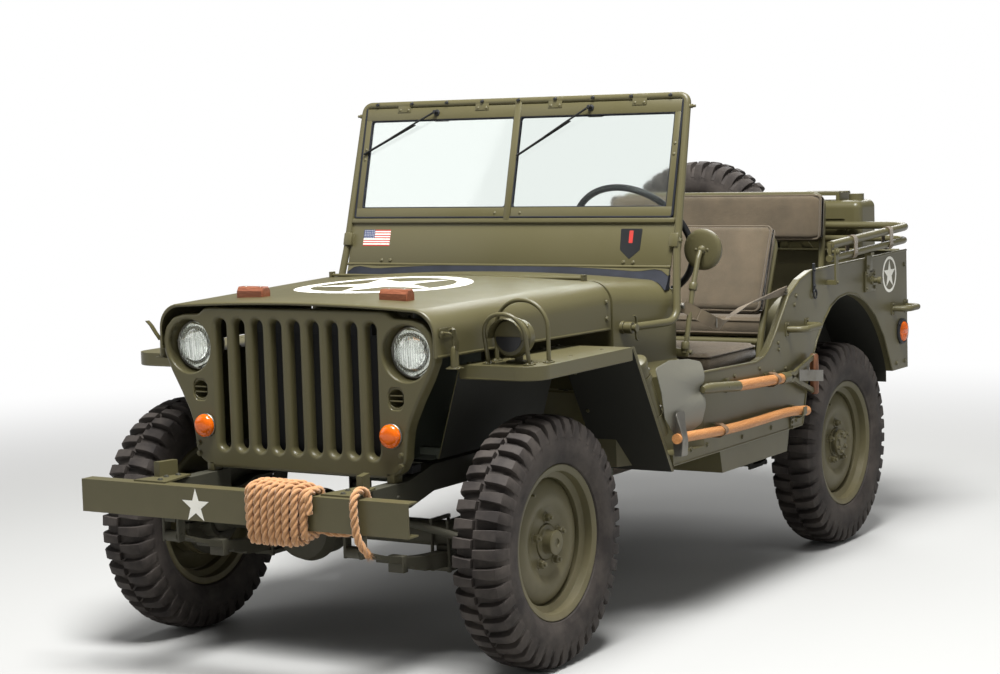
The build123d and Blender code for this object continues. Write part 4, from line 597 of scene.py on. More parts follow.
FINISH = {}


def settings():
    return bpy.context.scene.field_car


class Step:
    """What the car's operators share."""
    bl_options = {"REGISTER", "UNDO"}

    def execute(self, context):
        self.make(settings())
        return {"FINISHED"}


# Stage and camera


# Columns: name, place, size and share of the key light's power
LIGHTS = (
    ("key", (1.2, -1.9, 6.4), 2.6, 1.0),
    ("fill", (-5.0, -3.6, 3.2), 4.0, 0.07),
    ("side", (5.2, 0.6, 3.0), 3.0, 0.035),
    ("back", (-1.5, 5.4, 4.2), 3.6, 0.20),
)

# Yaw, pitch and roll of the camera in degrees
CAMERA_ANGLES = (31.94, 5.55, -1.72)


class CAR_OT_stage(Step, bpy.types.Operator):
    """Pale floor, soft studio lights and the camera at the photograph's angle"""
    bl_idname = "car.stage"
    bl_label = "Stage"

    def make(self, car):
        scene = bpy.context.scene
        scene.view_settings.view_transform = "Standard"
        self.floor(scene, car.paint.floor)
        self.world(scene)
        for name, at, size, share in LIGHTS:
            light = bpy.data.lights.new(name, "AREA")
            light.energy = car.stage.key_power * share
            light.size = size
            lamp = bpy.data.objects.new(name, light)
            lamp.location = at
            lamp.rotation_euler = (Vector((0, 0, 0.6)) - lamp.location).to_track_quat("-Z",
                "Y").to_euler()
            scene.collection.objects.link(lamp)
        self.camera(scene, car.stage)

    def floor(self, scene, colour):
        bm = new_mesh()
        half = 30.0
        add_faces(bm, [(-half, -half, 0), (half, -half, 0), (half, half, 0), (-half, half, 0)],
            [(0, 1, 2, 3)])
        mesh = bpy.data.meshes.new("floor")
        bm.to_mesh(mesh)
        bm.free()
        material, tree, shader, place = blank("studio floor")
        wire(tree, shader, colour=linear(colour), rough=0.9)
        self.fade_out(tree, shader, place)
        mesh.materials.append(material)
        floor = bpy.data.objects.new("floor", mesh)
        scene.collection.objects.link(floor)

    def fade_out(self, tree, shader, place):
        """Turns the floor into the white backdrop away from the car, so that no horizon shows."""
        flat = put(tree, "ShaderNodeVectorMath", {0: place, 1: (1, 1, 0)},
            operation="MULTIPLY").outputs[0]
        away = put(tree, "ShaderNodeVectorMath", {0: flat}, operation="LENGTH").outputs["Value"]
        amount = put(tree, "ShaderNodeMapRange", {"Value": away, "From Min": 2.4, "From Max": 6.5},
            interpolation_type="SMOOTHSTEP").outputs["Result"]
        glow = put(tree, "ShaderNodeEmission", {"Color": (1, 1, 1, 1), "Strength": 1.0}).outputs[0]
        blend = put(tree, "ShaderNodeMixShader", {0: amount, 1: shader.outputs[0],
            2: glow}).outputs[0]
        tree.links.new(blend, tree.nodes["Material Output"].inputs["Surface"])

    def world(self, scene):
        """Soft light all round, with white behind the car and its glass."""
        world = bpy.data.worlds.new("studio")
        scene.world = world
        world.use_nodes = True
        tree = world.node_tree
        background = tree.nodes["Background"]
        background.inputs["Color"].default_value = (1, 1, 1, 1)
        background.inputs["Strength"].default_value = 0.2
        seen = put(tree, "ShaderNodeLightPath")
        white = put(tree, "ShaderNodeBackground", {"Color": (1, 1, 1, 1), "Strength": 1.0})
        direct = put(tree, "ShaderNodeMath", {0: seen.outputs["Is Camera Ray"],
            1: seen.outputs["Is Transmission Ray"]}, operation="MAXIMUM")
        blend = put(tree, "ShaderNodeMixShader", {0: direct.outputs[0], 1: background.outputs[0],
            2: white.outputs[0]})
        tree.links.new(blend.outputs[0], tree.nodes["World Output"].inputs["Surface"])

    def camera(self, scene, stage):
        """Camera at the photograph's place and angles."""
        data = bpy.data.cameras.new("camera")
        data.sensor_width = 36
        data.lens = stage.lens
        data.clip_end = 200
        camera = bpy.data.objects.new("camera", data)
        yaw, pitch, roll = (radians(a) for a in CAMERA_ANGLES)
        back = Vector((sin(yaw) * cos(pitch), -cos(yaw) * cos(pitch), sin(pitch)))
        level = Vector(UP).cross(back).normalized()
        above = back.cross(level)
        right = level * cos(roll) + above * sin(roll)
        up = above * cos(roll) - level * sin(roll)
        turn = Matrix((right, up, back)).transposed().to_4x4()
        camera.matrix_world = Matrix.Translation(Vector(stage.eye)) @ turn
        scene.collection.objects.link(camera)
        scene.camera = camera


# Tyres and wheels


# Columns: name, body, middle and the way it faces
WHEELS = [(f"{end}_{name}", f"wheel_{end}_{name}", (side * TRACK / 2, st(at), AXLE_Z), (side, 0, 0))
          for end, at in (("front", 0), ("rear", WHEELBASE)) for name, side in SIDES]
WHEELS.append(("spare", "chassis", (-0.2, st(2.695), 0.994), REAR))


def node_name(kind, name):
    """Name of the tyre or wheel solid that a row of WHEELS is about."""
    return f"spare_{kind}" if name == "spare" else f"{kind}_{name}"


def add_tyre(bm, place, tyre):
    """Tyre about the place's local X: a ribbed carcass with staggered bars and shoulder blocks."""
    r = tyre.radius
    base = r - tyre.lug_tall
    half = [(0, base), (0.034, base - 0.003), (0.06, base - 0.012), (0.071, base - 0.026),
        (0.0775, base - 0.044), (0.0765, base - 0.046), (0.079, base - 0.06),
        (0.0785, base - 0.082), (0.0735, base - 0.103), (0.072, base - 0.105),
        (0.0665, base - 0.117), (0.06, base - 0.12), (0.056, 0.2215), (0.0545, 0.2055)]
    profile = [(-x, h) for x, h in reversed(half)] + half[1:]
    add_turned(bm, profile, place, 126)
    # Columns: out from the middle, base and top radius, half width as a share of a bar's
    shape = ((0.003, base - 0.002, r - 0.0005, 0.8), (0.03, base - 0.004, r - 0.001, 0.92),
        (0.052, base - 0.012, r - 0.004, 1.04), (0.068, base - 0.024, r - 0.012, 1.1),
        (0.0755, base - 0.044, base - 0.012, 1.04), (0.0785, base - 0.062, base - 0.046, 0.9))
    pitch = 2 * pi / tyre.lugs
    for side in (1, -1):
        for k in range(tyre.lugs):
            turn = pitch * (k + (0.0 if side > 0 else 0.5))
            rings = []
            for out, low, high, share in shape:
                wide = tyre.lug_width / 2 * share
                edge = 0.0016
                ring = [(low, wide * 1.12), (high - edge, wide * 0.98), (high, wide - edge)]
                ring += [(h, -w) for h, w in reversed(ring)]
                rings.append([place @ (Matrix.Rotation(turn, 4, "X")
                    @ Vector((side * out, w, sqrt(h * h - w * w)))) for h, w in ring])
            add_rings(bm, rings, capped=True)


class CAR_OT_tyres(Step, bpy.types.Operator):
    """Bar-tread tyres, one on each wheel and the spare"""
    bl_idname = "car.tyres"
    bl_label = "Tyres"

    def make(self, car):
        for name, body, at, out in WHEELS:
            bm = new_mesh()
            add_tyre(bm, frame_at(at, out), car.tyre)
            make_piece(bm, f"tyre_tread_{name}", "tyre", [node_name("tyre", name)], body=body,
                sharp=32)


def add_wheel(bm, place, hub_reach, flanged):
    """Pressed wheel about the place's local X: drop-centre rim, dished disc, nuts and hub."""
    rim = [(-0.06, 0.2195), (-0.057, 0.22), (-0.0555, 0.212), (-0.055, 0.2045), (-0.03, 0.203),
        (-0.022, 0.185), (0.022, 0.185), (0.03, 0.203), (0.055, 0.2045), (0.0555, 0.212),
        (0.057, 0.2195), (0.0605, 0.221), (0.0625, 0.2185), (0.0615, 0.2145), (0.059, 0.206),
        (0.056, 0.201), (0.033, 0.199), (0.025, 0.181), (-0.025, 0.181), (-0.033, 0.199),
        (-0.059, 0.2), (-0.062, 0.215)]
    add_turned(bm, rim, place, 96, loop=True)
    disc = [(-0.001, 0.1805), (0.006, 0.1805), (0.012, 0.177), (0.02, 0.166), (0.027, 0.15),
        (0.0315, 0.134), (0.0325, 0.122), (0.0305, 0.11), (0.025, 0.099), (0.0225, 0.094),
        (0.022, 0.053), (0.0205, 0.0515), (0.0165, 0.0515), (0.016, 0.096), (0.024, 0.112),
        (0.026, 0.122), (0.025, 0.134), (0.02, 0.148), (0.01, 0.168), (0, 0.175)]
    add_turned(bm, disc, place, 96, loop=True)
    for k in range(5):
        turn = place @ Matrix.Rotation(tau * k / 5, 4, "X")
        stud = turn @ Matrix.Translation((0.0215, 0, 0.06985))
        add_turned(bm, [(0, 0.0155), (0.004, 0.0145), (0.004, 0)], stud, 18)
        add_rings(bm, hexagon(stud, (0.003, 0.0118), (0.0155, 0.0118), (0.0185, 0.0095)),
            capped=True)
        add_turned(bm, [(0.018, 0.0062), (0.0245, 0.0062), (0.0255, 0.0052), (0.0255, 0)], stud, 12)
    hub = [(0.014, 0.05), (0.024, 0.05), (0.026, 0.048), (0.026, 0.036), (0.028, 0.034)]
    if flanged:
        hub += [(hub_reach - 0.012, 0.033), (hub_reach - 0.01, 0.0455), (hub_reach - 0.001, 0.046),
            (hub_reach, 0.0445), (hub_reach, 0.02), (hub_reach + 0.003, 0.018),
            (hub_reach + 0.003, 0)]
    else:
        hub += [(0.034, 0.0325), (0.05, 0.0325), (0.0515, 0.0345), (0.056, 0.0345),
            (0.0575, 0.0325), (hub_reach, 0.03), (hub_reach + 0.0005, 0.012),
            (hub_reach - 0.003, 0.011), (hub_reach - 0.003, 0)]
    add_turned(bm, hub, place, 48)
    if flanged:
        for k in range(6):
            turn = place @ Matrix.Rotation(tau * k / 6, 4, "X")
            at = turn @ Vector((hub_reach, 0, 0.0335))
            add_bolt(bm, at, place.to_3x3() @ Vector((1, 0, 0)), 0.013, 0.008)
    valve = place @ Matrix.Rotation(0.6, 4, "X")
    add_tube(bm, [valve @ Vector((x, 0, h)) for x, h in ((0.024, 0.184), (0.03, 0.181),
        (0.052, 0.179))], 0.0038, 10)


class CAR_OT_wheels(Step, bpy.types.Operator):
    """Pressed steel wheels with drums and hubs"""
    bl_idname = "car.wheels"
    bl_label = "Wheels"

    def make(self, car):
        for name, body, at, out in WHEELS:
            bm = new_mesh()
            place = frame_at(at, out)
            spare = name == "spare"
            add_wheel(bm, place, 0.046 if "rear" in name else 0.058, "rear" in name)
            if spare:
                carrier = [(-0.1445, 0.0355), (0.012, 0.0355), (0.0155, 0.039), (0.0155, 0.089)]
                add_turned(bm, carrier, place, 32)
                low, high = (-0.28, st(2.5503), 0.914), (-0.12, st(2.558), 1.011)
                add_box(bm, low, high, 0.002)
                for x in (-0.265, -0.135):
                    for z in (0.93, 0.996):
                        add_bolt(bm, (x, st(2.558), z), REAR, 0.016, 0.008)
            else:
                drum = [(-0.051, 0.04), (-0.052, 0.122), (-0.0515, 0.1265), (-0.044, 0.128),
                    (-0.043, 0.1255), (-0.036, 0.1255), (-0.035, 0.128), (0.004, 0.128),
                    (0.01, 0.122), (0.0155, 0.112), (0.0155, 0.045)]
                add_turned(bm, drum, place, 64)
            make_piece(bm, f"wheel_disc_{name}", "olive_wheel", [node_name("wheel", name)],
                body=body, sharp=30)


# Bumper rope


def curve_mesh(curve):
    """Mesh of a curve; the curve is removed."""
    holder = bpy.data.objects.new(curve.name, curve)
    bpy.context.scene.collection.objects.link(holder)
    bpy.context.view_layer.update()
    seen = holder.evaluated_get(bpy.context.evaluated_depsgraph_get())
    mesh = bpy.data.meshes.new_from_object(seen)
    bpy.data.objects.remove(holder)
    bpy.data.curves.remove(curve)
    return mesh


def route_points(points):
    """Reads a smooth line off one open spline that has the points as its control points."""
    curve = bpy.data.curves.new("rope route", "CURVE")
    curve.dimensions = "3D"
    spline = curve.splines.new("NURBS")
    spline.points.add(len(points) - 1)
    for point, place in zip(spline.points, points):
        point.co = (*place, 1.0)
    spline.use_endpoint_u = True
    spline.order_u = 3
    spline.resolution_u = 12
    mesh = curve_mesh(curve)
    places = [vert.co.copy() for vert in mesh.vertices]
    bpy.data.meshes.remove(mesh)
    return places


def even_points(places, step):
    """The same line with its points a step apart."""
    spans = [(b - a).length for a, b in zip(places, places[1:])]
    count = max(2, round(sum(spans) / step))
    out, done, k = [places[0]], 0, 0
    for i in range(1, count):
        want = sum(spans) * i / count
        while done + spans[k] < want:
            done += spans[k]
            k += 1
        out.append(places[k].lerp(places[k + 1], (want - done) / spans[k]))
    return out + [places[-1]]


def add_laid_rope(bm, line, radius, lay):
    """Three strands twisted around a line; lay is the length of one full twist."""
    strand = radius * 0.464
    side = (line[1] - line[0]).orthogonal().normalized()
    run = 0.0
    paths = [[], [], []]
    for k, point in enumerate(line):
        ahead = heading(line, k)
        side = (side - ahead * side.dot(ahead)).normalized()
        other = ahead.cross(side)
        for i, path in enumerate(paths):
            turn = tau * (run / lay + i / 3)
            path.append(point + (side * cos(turn) + other * sin(turn)) * (radius - strand))
        if k < len(line) - 1:
            run += (line[k + 1] - point).length
    for path in paths:
        add_tube(bm, path, strand * 1.06, 8)


class CAR_OT_rope(Step, bpy.types.Operator):
    """Manila rope wound around the bumper in two layers, with one loop beside them"""
    bl_idname = "car.rope"
    bl_label = "Bumper rope"

    def make(self, car):
        rope = car.rope
        r = rope.diameter / 2
        points = self.winding(rope, r) + [Vector(p) for p in ROPE_LOOP]
        line = even_points(route_points(points), 0.0055)
        bm = new_mesh()
        add_laid_rope(bm, line, r, 3.1 * rope.diameter)
        piece = make_piece(bm, "bumper_rope", "rope", ["rope_coil", "rope_loop"], sharp=60)
        hairs = new_mesh()
        self.stray_hairs(hairs, line, r)
        fibres = make_piece(hairs, "rope_fibres", "rope", sharp=60)

    def winding(self, rope, r):
        """Turns around the bumper: a tight layer, and a fuller one back over it."""
        # Columns: middle in y and z, half reach in y and z, corner radius
        tight = (-1.646, 0.504, 0.0345, 0.0585, 0.013)
        full = (-1.6575, 0.499, 0.046, 0.0805, 0.03)
        steps = 24
        points = []
        for outer, count in ((False, rope.turns), (True, rope.turns - 0.38)):
            total = round(count * steps)
            for k in range(total + 1):
                share = k / total
                along = share if outer else 1 - share
                angle = tau * (k / steps)
                swell = 0.0
                if outer:
                    climb = min(k / steps / 0.5, 1.0)
                    fall = min(max((1.0 - share) / 0.28, 0), 1.0)
                    swell = climb * fall * fall * (3 - 2 * fall)
                y, z, half_y, half_z, corner = (a + (b - a) * swell for a, b in zip(tight, full))
                turn = (cos(angle), sin(angle))
                flat = [max(-1.0, min(1.0, 2.6 * part)) for part in turn]
                points.append(Vector((rope.start + r + along * (rope.turns - 1) * 1.1 * 2 * r,
                    y - (half_y - corner) * flat[0] - corner * turn[0],
                    z + (half_z - corner) * flat[1] + corner * turn[1])))
        return points

    def stray_hairs(self, bm, line, r):
        dice = random.Random(7)
        for _ in range(SIDE_HAIRS):
            at = dice.randrange(1, len(line) - 1)
            ahead = (line[at + 1] - line[at]).normalized()
            out = Matrix.Rotation(dice.uniform(0, tau), 3, ahead) @ ahead.orthogonal().normalized()
            root = line[at] + out * r * 0.85
            tip = root + (out * dice.uniform(0.3, 1.0) + ahead
                * dice.uniform(-1.2, 1.2)) * dice.uniform(0.004, 0.013)
            wide = ahead.cross(out) * 0.00035
            add_faces(bm, [root - wide, root + wide, tip], [(0, 1, 2)])
        end, ahead = line[-1], (line[-1] - line[-4]).normalized()
        for _ in range(END_HAIRS):
            out = Matrix.Rotation(dice.uniform(0, tau), 3, ahead) @ ahead.orthogonal().normalized()
            root = end - ahead * 0.004 + out * r * dice.uniform(0, 0.9)
            tip = root + (ahead * dice.uniform(0.5, 1.0) + out
                * dice.uniform(0, 0.5)) * dice.uniform(0.012, 0.03)
            wide = ahead.cross(out) * 0.0005
            add_faces(bm, [root - wide, root + wide, tip], [(0, 1, 2)])


# Sheet metal helpers


def inset(points, depth, flat):
    """Closed (u, v) outline moved inwards by depth; flat tells which way round it runs."""
    out = []
    count = len(points)
    for k, (u, v) in enumerate(points):
        a, b = points[k - 1], points[(k + 1) % count]
        along = Vector((b[0] - a[0], b[1] - a[1])).normalized()
        out.append((u - along.y * depth * flat, v + along.x * depth * flat))
    return out


def turn_of(points):
    """1 for an anticlockwise outline, -1 for a clockwise one."""
    area = sum(a[0] * b[1] - b[0] * a[1] for a, b in zip(points, points[1:] + points[:1]))
    return 1 if area > 0 else -1


def flat_fill(bm, outlines, place):
    """Fills flat outlines, the first with the others as holes, and keeps their points."""
    curve = bpy.data.curves.new("fill", "CURVE")
    curve.dimensions = "2D"
    curve.fill_mode = "BOTH"
    for outline in outlines:
        spline = curve.splines.new("POLY")
        spline.points.add(len(outline) - 1)
        for point, (u, v) in zip(spline.points, outline):
            point.co = (u, v, 0, 1)
        spline.use_cyclic_u = True
    mesh = curve_mesh(curve)
    mesh.transform(place)
    bm.from_mesh(mesh)
    bpy.data.meshes.remove(mesh)


def rolled_edge(bm, outline, place, roll, deep, back, outward):
    """Edge that rolls a quarter turn and runs straight back; returns where the flat starts."""
    flat = turn_of(outline)
    way = 1 if outward else -1
    rings = []
    steps = 6
    for k in range(steps + 1):
        turn = pi / 2 * k / steps
        rings.append((roll * (1 - sin(turn)), -deep * (1 - cos(turn))))
    rings = [(roll * 1.06, 0)] + rings + [(0, -back)]
    skin = [[place @ Vector((u, v, depth)) for u, v in inset(outline, off * way, flat)]
        for off, depth in rings]
    add_rings(bm, skin)
    return inset(outline, rings[0][0] * way, flat)


def stadium(u, v, wide, tall):
    """Upright slot outline with round ends."""
    steps = 10
    r = wide / 2
    out = []
    for centre, start in ((v + tall / 2 - r, 0), (v - tall / 2 + r, pi)):
        out += [(u + r * cos(start + pi * k / steps), centre + r * sin(start + pi * k / steps))
            for k in range(steps + 1)]
    return out


def plate_outline(half_u, half_v, radius, steps=5):
    """Rectangle about the origin, given by half its sizes, with rounded corners."""
    corners = [(-half_u, -half_v), (half_u, -half_v), (half_u, half_v), (-half_u, half_v)]
    return round_loop(corners, radius, steps)


def round_loop(points, radius, steps=5):
    """Closed outline of (u, v) points with every corner rounded."""
    points = [Vector((*p, 0)) for p in points]
    loop = [(points[-1] + points[0]) / 2] + points + [(points[-1] + points[0]) / 2]
    return [(p.x, p.y) for p in rounded(loop, radius, steps)[:-1]]


def thicken(bm, thick):
    """Gives an open skin its wall, inwards."""
    bmesh.ops.remove_doubles(bm, verts=bm.verts, dist=1e-6)
    bmesh.ops.recalc_face_normals(bm, faces=bm.faces)
    bmesh.ops.solidify(bm, geom=bm.faces, thickness=thick)


# Nose


# Station of the grille's face, then half of its outline as places across and heights
GRILLE_AT = -0.283
GRILLE_HALF = ((0.29, 0.558), (0.318, 0.56), (0.352, 0.578), (0.371, 0.612), (0.373, 0.64),
    (0.38, 0.69), (0.392, 0.722), (0.418, 0.775), (0.452, 0.835), (0.474, 0.885), (0.481, 0.925),
    (0.468, 0.965), (0.44, 0.993), (0.4, 1.004), (0.344, 1.006), (0.322, 1.023), (0.3, 1.025))
LAMP_X, LAMP_Z = 0.382, 0.91
SLOTS = 9
SLOT_PITCH = 0.066


def facing(x, station, z):
    """Place whose local X is across the car, Y is up and Z points forward."""
    return Matrix.Translation((x, st(station), z)) @ Matrix(((1, 0, 0), (0, 0, -1),
        (0, 1, 0))).to_4x4()


class CAR_OT_grille(Step, bpy.types.Operator):
    """Pressed nose with nine rolled slots, lamp openings and its brackets"""
    bl_idname = "car.grille"
    bl_label = "Grille"

    def make(self, car):
        bm = new_mesh()
        place = facing(0, GRILLE_AT, 0)
        loop = list(GRILLE_HALF) + [(-x, z) for x, z in reversed(GRILLE_HALF)]
        outline = round_loop(loop, 0.03, 4)
        fills = [rolled_edge(bm, outline, place, 0.009, 0.01, 0.042, True)]
        for k in range(SLOTS):
            slot = stadium((k - (SLOTS - 1) / 2) * SLOT_PITCH, 0.802, 0.036, 0.376)
            fills.append(rolled_edge(bm, slot, place, 0.0135, 0.017, 0.03, False))
        for side in (1, -1):
            lamp = [(side * LAMP_X + u, LAMP_Z + v) for u, v in circle(64, 0.078)]
            fills.append(rolled_edge(bm, lamp, place, 0.006, 0.007, 0.016, False))
            marker = round_loop([(side * MARKER_X + dx, MARKER_Z + dz)
                for dx, dz in ((-0.025, -0.014), (-0.016, -0.031), (0.016, -0.031), (0.025, -0.014),
                (0.025, 0.014), (0.016, 0.03), (-0.016, 0.03), (-0.025, 0.014))], 0.012)
            fills.append(rolled_edge(bm, marker, place, 0.004, 0.005, 0.012, False))
        flat_fill(bm, fills, place)
        thicken(bm, SKIN)
        for side in (1, -1):
            low = (side * RAIL_X - 0.012, st(GRILLE_AT), 0.546)
            add_box(bm, low, (side * RAIL_X + 0.012, st(-0.241), 0.574), 0.002)
            for z in (0.625, 0.655):
                add_bolt(bm, (side * 0.357, st(-0.2835), z - 0.028), AHEAD, 0.013, 0.006)
        make_piece(bm, "grille_panel", "olive", ["grille"], sharp=40)
        self.lamps()

    def lamps(self):
        bucket, glass, mirror, marker, amber, bezel = (new_mesh() for _ in range(6))
        for side in (1, -1):
            place = frame_at((side * LAMP_X, st(GRILLE_AT), LAMP_Z), AHEAD)
            add_turned(bucket, [(-0.012, 0.079), (-0.014, 0.0862), (-0.03, 0.0862), (-0.052, 0.08),
                (-0.08, 0.07), (-0.118, 0.04), (-0.124, 0), (-0.12, 0), (-0.114, 0.038),
                (-0.077, 0.066), (-0.046, 0.0745), (-0.038, 0.0775), (-0.016, 0.0795),
                (-0.012, 0.079)], place, 64)
            add_turned(bezel, [(-0.046, 0.0742), (-0.04, 0.0742), (-0.0375, 0.0722), (-0.037, 0.07),
                (-0.0385, 0.0682), (-0.043, 0.068), (-0.046, 0.0742)], place, 64)
            for u, v in circle(3, 0.0715, 0.9):
                add_screw(bezel, place @ Vector((-0.037, u, v)), AHEAD, 0.004, 0.002)
            add_turned(glass, [(-0.0415, 0.0682), (-0.0335, 0.062), (-0.0275, 0.05),
                (-0.023, 0.034), (-0.0205, 0.016), (-0.02, 0), (-0.0232, 0), (-0.024, 0.018),
                (-0.0262, 0.034), (-0.0305, 0.049), (-0.0365, 0.061), (-0.044, 0.0665),
                (-0.0415, 0.0682)], place, 64)
            for u in (k * 0.0078 for k in range(-7, 8)):
                half = sqrt(0.06 ** 2 - u ** 2)
                rib = [place @ Vector((-0.0248 - 1.6 * (v * v + u ** 2), u, v))
                    for v in (half * j / 8 for j in range(-8, 9))]
                add_tube(glass, rib, 0.0017, 6)
            add_turned(mirror, [(-0.044, 0.0665), (-0.052, 0.062), (-0.064, 0.05), (-0.073, 0.034),
                (-0.078, 0.016), (-0.079, 0), (-0.081, 0), (-0.08, 0.018), (-0.0752, 0.0352),
                (-0.066, 0.0512), (-0.054, 0.0632), (-0.046, 0.0672), (-0.044, 0.0665)], place, 64)
            add_turned(mirror, [(-0.079, 0.007), (-0.056, 0.007), (-0.05, 0.0062), (-0.046, 0.004),
                (-0.0455, 0)], place, 24)
            spot = frame_at((side * MARKER_X, st(GRILLE_AT), MARKER_Z), AHEAD)
            add_turned(marker, [(-0.008, 0.036), (-0.004, 0.0335), (-0.0042, 0.027),
                (-0.007, 0.0255), (-0.01, 0.0245), (-0.044, 0.026), (-0.058, 0.018), (-0.062, 0)],
                spot, 36)
            for z in (-0.007, 0.008):
                add_box(marker, (side * MARKER_X - 0.0215, st(-0.2795), MARKER_Z + z - 0.002),
                    (side * MARKER_X + 0.0215, st(-0.2755), MARKER_Z + z + 0.002), 0.0008)
            base = frame_at((side * 0.328, st(GRILLE_AT), 0.68), AHEAD)
            add_turned(bezel, [(0.0003, 0.0355), (0.004, 0.0355), (0.006, 0.034), (0.0062, 0.031)],
                base, 40)
            add_turned(amber, [(0.004, 0.033), (0.012, 0.033), (0.0165, 0.031), (0.0205, 0.027),
                (0.0235, 0.0215), (0.025, 0.015), (0.0256, 0.0075), (0.0258, 0), (0.0228, 0),
                (0.0222, 0.014), (0.019, 0.0245), (0.013, 0.03), (0.004, 0.0305)], base, 40)
            rib = ((0.0125, 0.029), (0.018, 0.025), (0.0212, 0.017), (0.0222, 0.008))
            add_ribs(amber, base, 12, rib, 0.0013)
            add_turned(mirror, [(0.0022, 0), (0.0022, 0.03), (0.0008, 0.031)], base, 32)
            add_turned(mirror, [(0.0022, 0.005), (0.01, 0.0055), (0.0145, 0.004), (0.0155, 0)],
                base, 16)
        make_piece(bucket, "headlight_buckets", "olive", ["headlights"], sharp=40)
        make_piece(bezel, "lamp_rims", "steel", sharp=40)
        make_piece(glass, "headlight_glass", "lens", ["lamp_lenses"], sharp=30)
        make_piece(mirror, "lamp_reflectors", "silver", sharp=30)
        make_piece(marker, "blackout_markers", "olive")
        make_piece(amber, "amber_markers", "amber")


# Hood


# Stations of the hood's ends; station and height of its hinge
HOOD_ENDS = (-0.29, 0.558)
HOOD_HINGE = (0.555, 1.056)

# Rise of the hood's middle, and the radius of its shoulders
CROWN = 0.012
SHOULDER = 0.07

# Catches, wooden rests, and the ring round the star
CATCH_AT = -0.238
REST_X, REST_AT, REST_TOP = 0.255, -0.13, 1.074
STAR_OUT, STAR_IN = 0.272, 0.222


def hood_size(s):
    """Half width and top of the hood at a station."""
    share = (s - HOOD_ENDS[0]) / (HOOD_ENDS[1] - HOOD_ENDS[0])
    return 0.485 + 0.075 * share, 1.033 + 0.013 * share


def hood_section(s, shrink=0.0):
    """Points over the hood at a station, from its left foot to its right foot."""
    half, top = hood_size(s)
    flat = half - SHOULDER
    right = [(half, 0.9), (half, 0.925), (half, 0.95)]
    for k in range(9):
        turn = pi / 2 * k / 8
        right.append((flat + SHOULDER * cos(turn), top - SHOULDER + SHOULDER * sin(turn)))
    for k in range(1, 8):
        x = flat * (1 - k / 8)
        right.append((x, top + CROWN * (1 - (x / flat) ** 2)))
    points = right + [(0, top + CROWN)] + [(-x, z) for x, z in reversed(right)]
    if shrink:
        points = [(x * (1 - shrink / half), z - shrink if z > 0.93 else z) for x, z in points]
    return [pt(x, s, z) for x, z in points]


def hood_height(x, s):
    """Height of the hood's top at a place."""
    half, top = hood_size(s)
    flat = half - SHOULDER
    if abs(x) <= flat:
        return top + CROWN * (1 - (x / flat) ** 2)
    return top - SHOULDER + sqrt(max(SHOULDER ** 2 - (abs(x) - flat) ** 2, 0))


def star_outline(radius):
    """Outline of a five-pointed star about the origin, one point up."""
    out = []
    for k in range(10):
        r = radius if k % 2 == 0 else radius * STAR_WAIST
        turn = pi / 2 + pi * k / 5
        out.append((r * cos(turn), r * sin(turn)))
    return out


def add_draped(bm, outlines, surface, grid):
    """Flat paint shape on a curved surface; surface maps (u, v) to a point."""
    flat = new_mesh()
    flat_fill(flat, outlines, Matrix.Identity(4))
    for axis, normal in ((0, (1, 0, 0)), (1, (0, 1, 0))):
        reach = [vert.co[axis] for vert in flat.verts]
        for k in range(1, int((max(reach) - min(reach)) / grid) + 1):
            spot = [min(reach) + grid * k * part for part in normal]
            bmesh.ops.bisect_plane(flat, geom=flat.verts[:] + flat.edges[:] + flat.faces[:],
                dist=1e-7, plane_co=spot, plane_no=normal)
    for vert in flat.verts:
        vert.co = surface(vert.co.x, vert.co.y)
    mesh = bpy.data.meshes.new("draped")
    flat.to_mesh(mesh)
    flat.free()
    bm.from_mesh(mesh)
    bpy.data.meshes.remove(mesh)


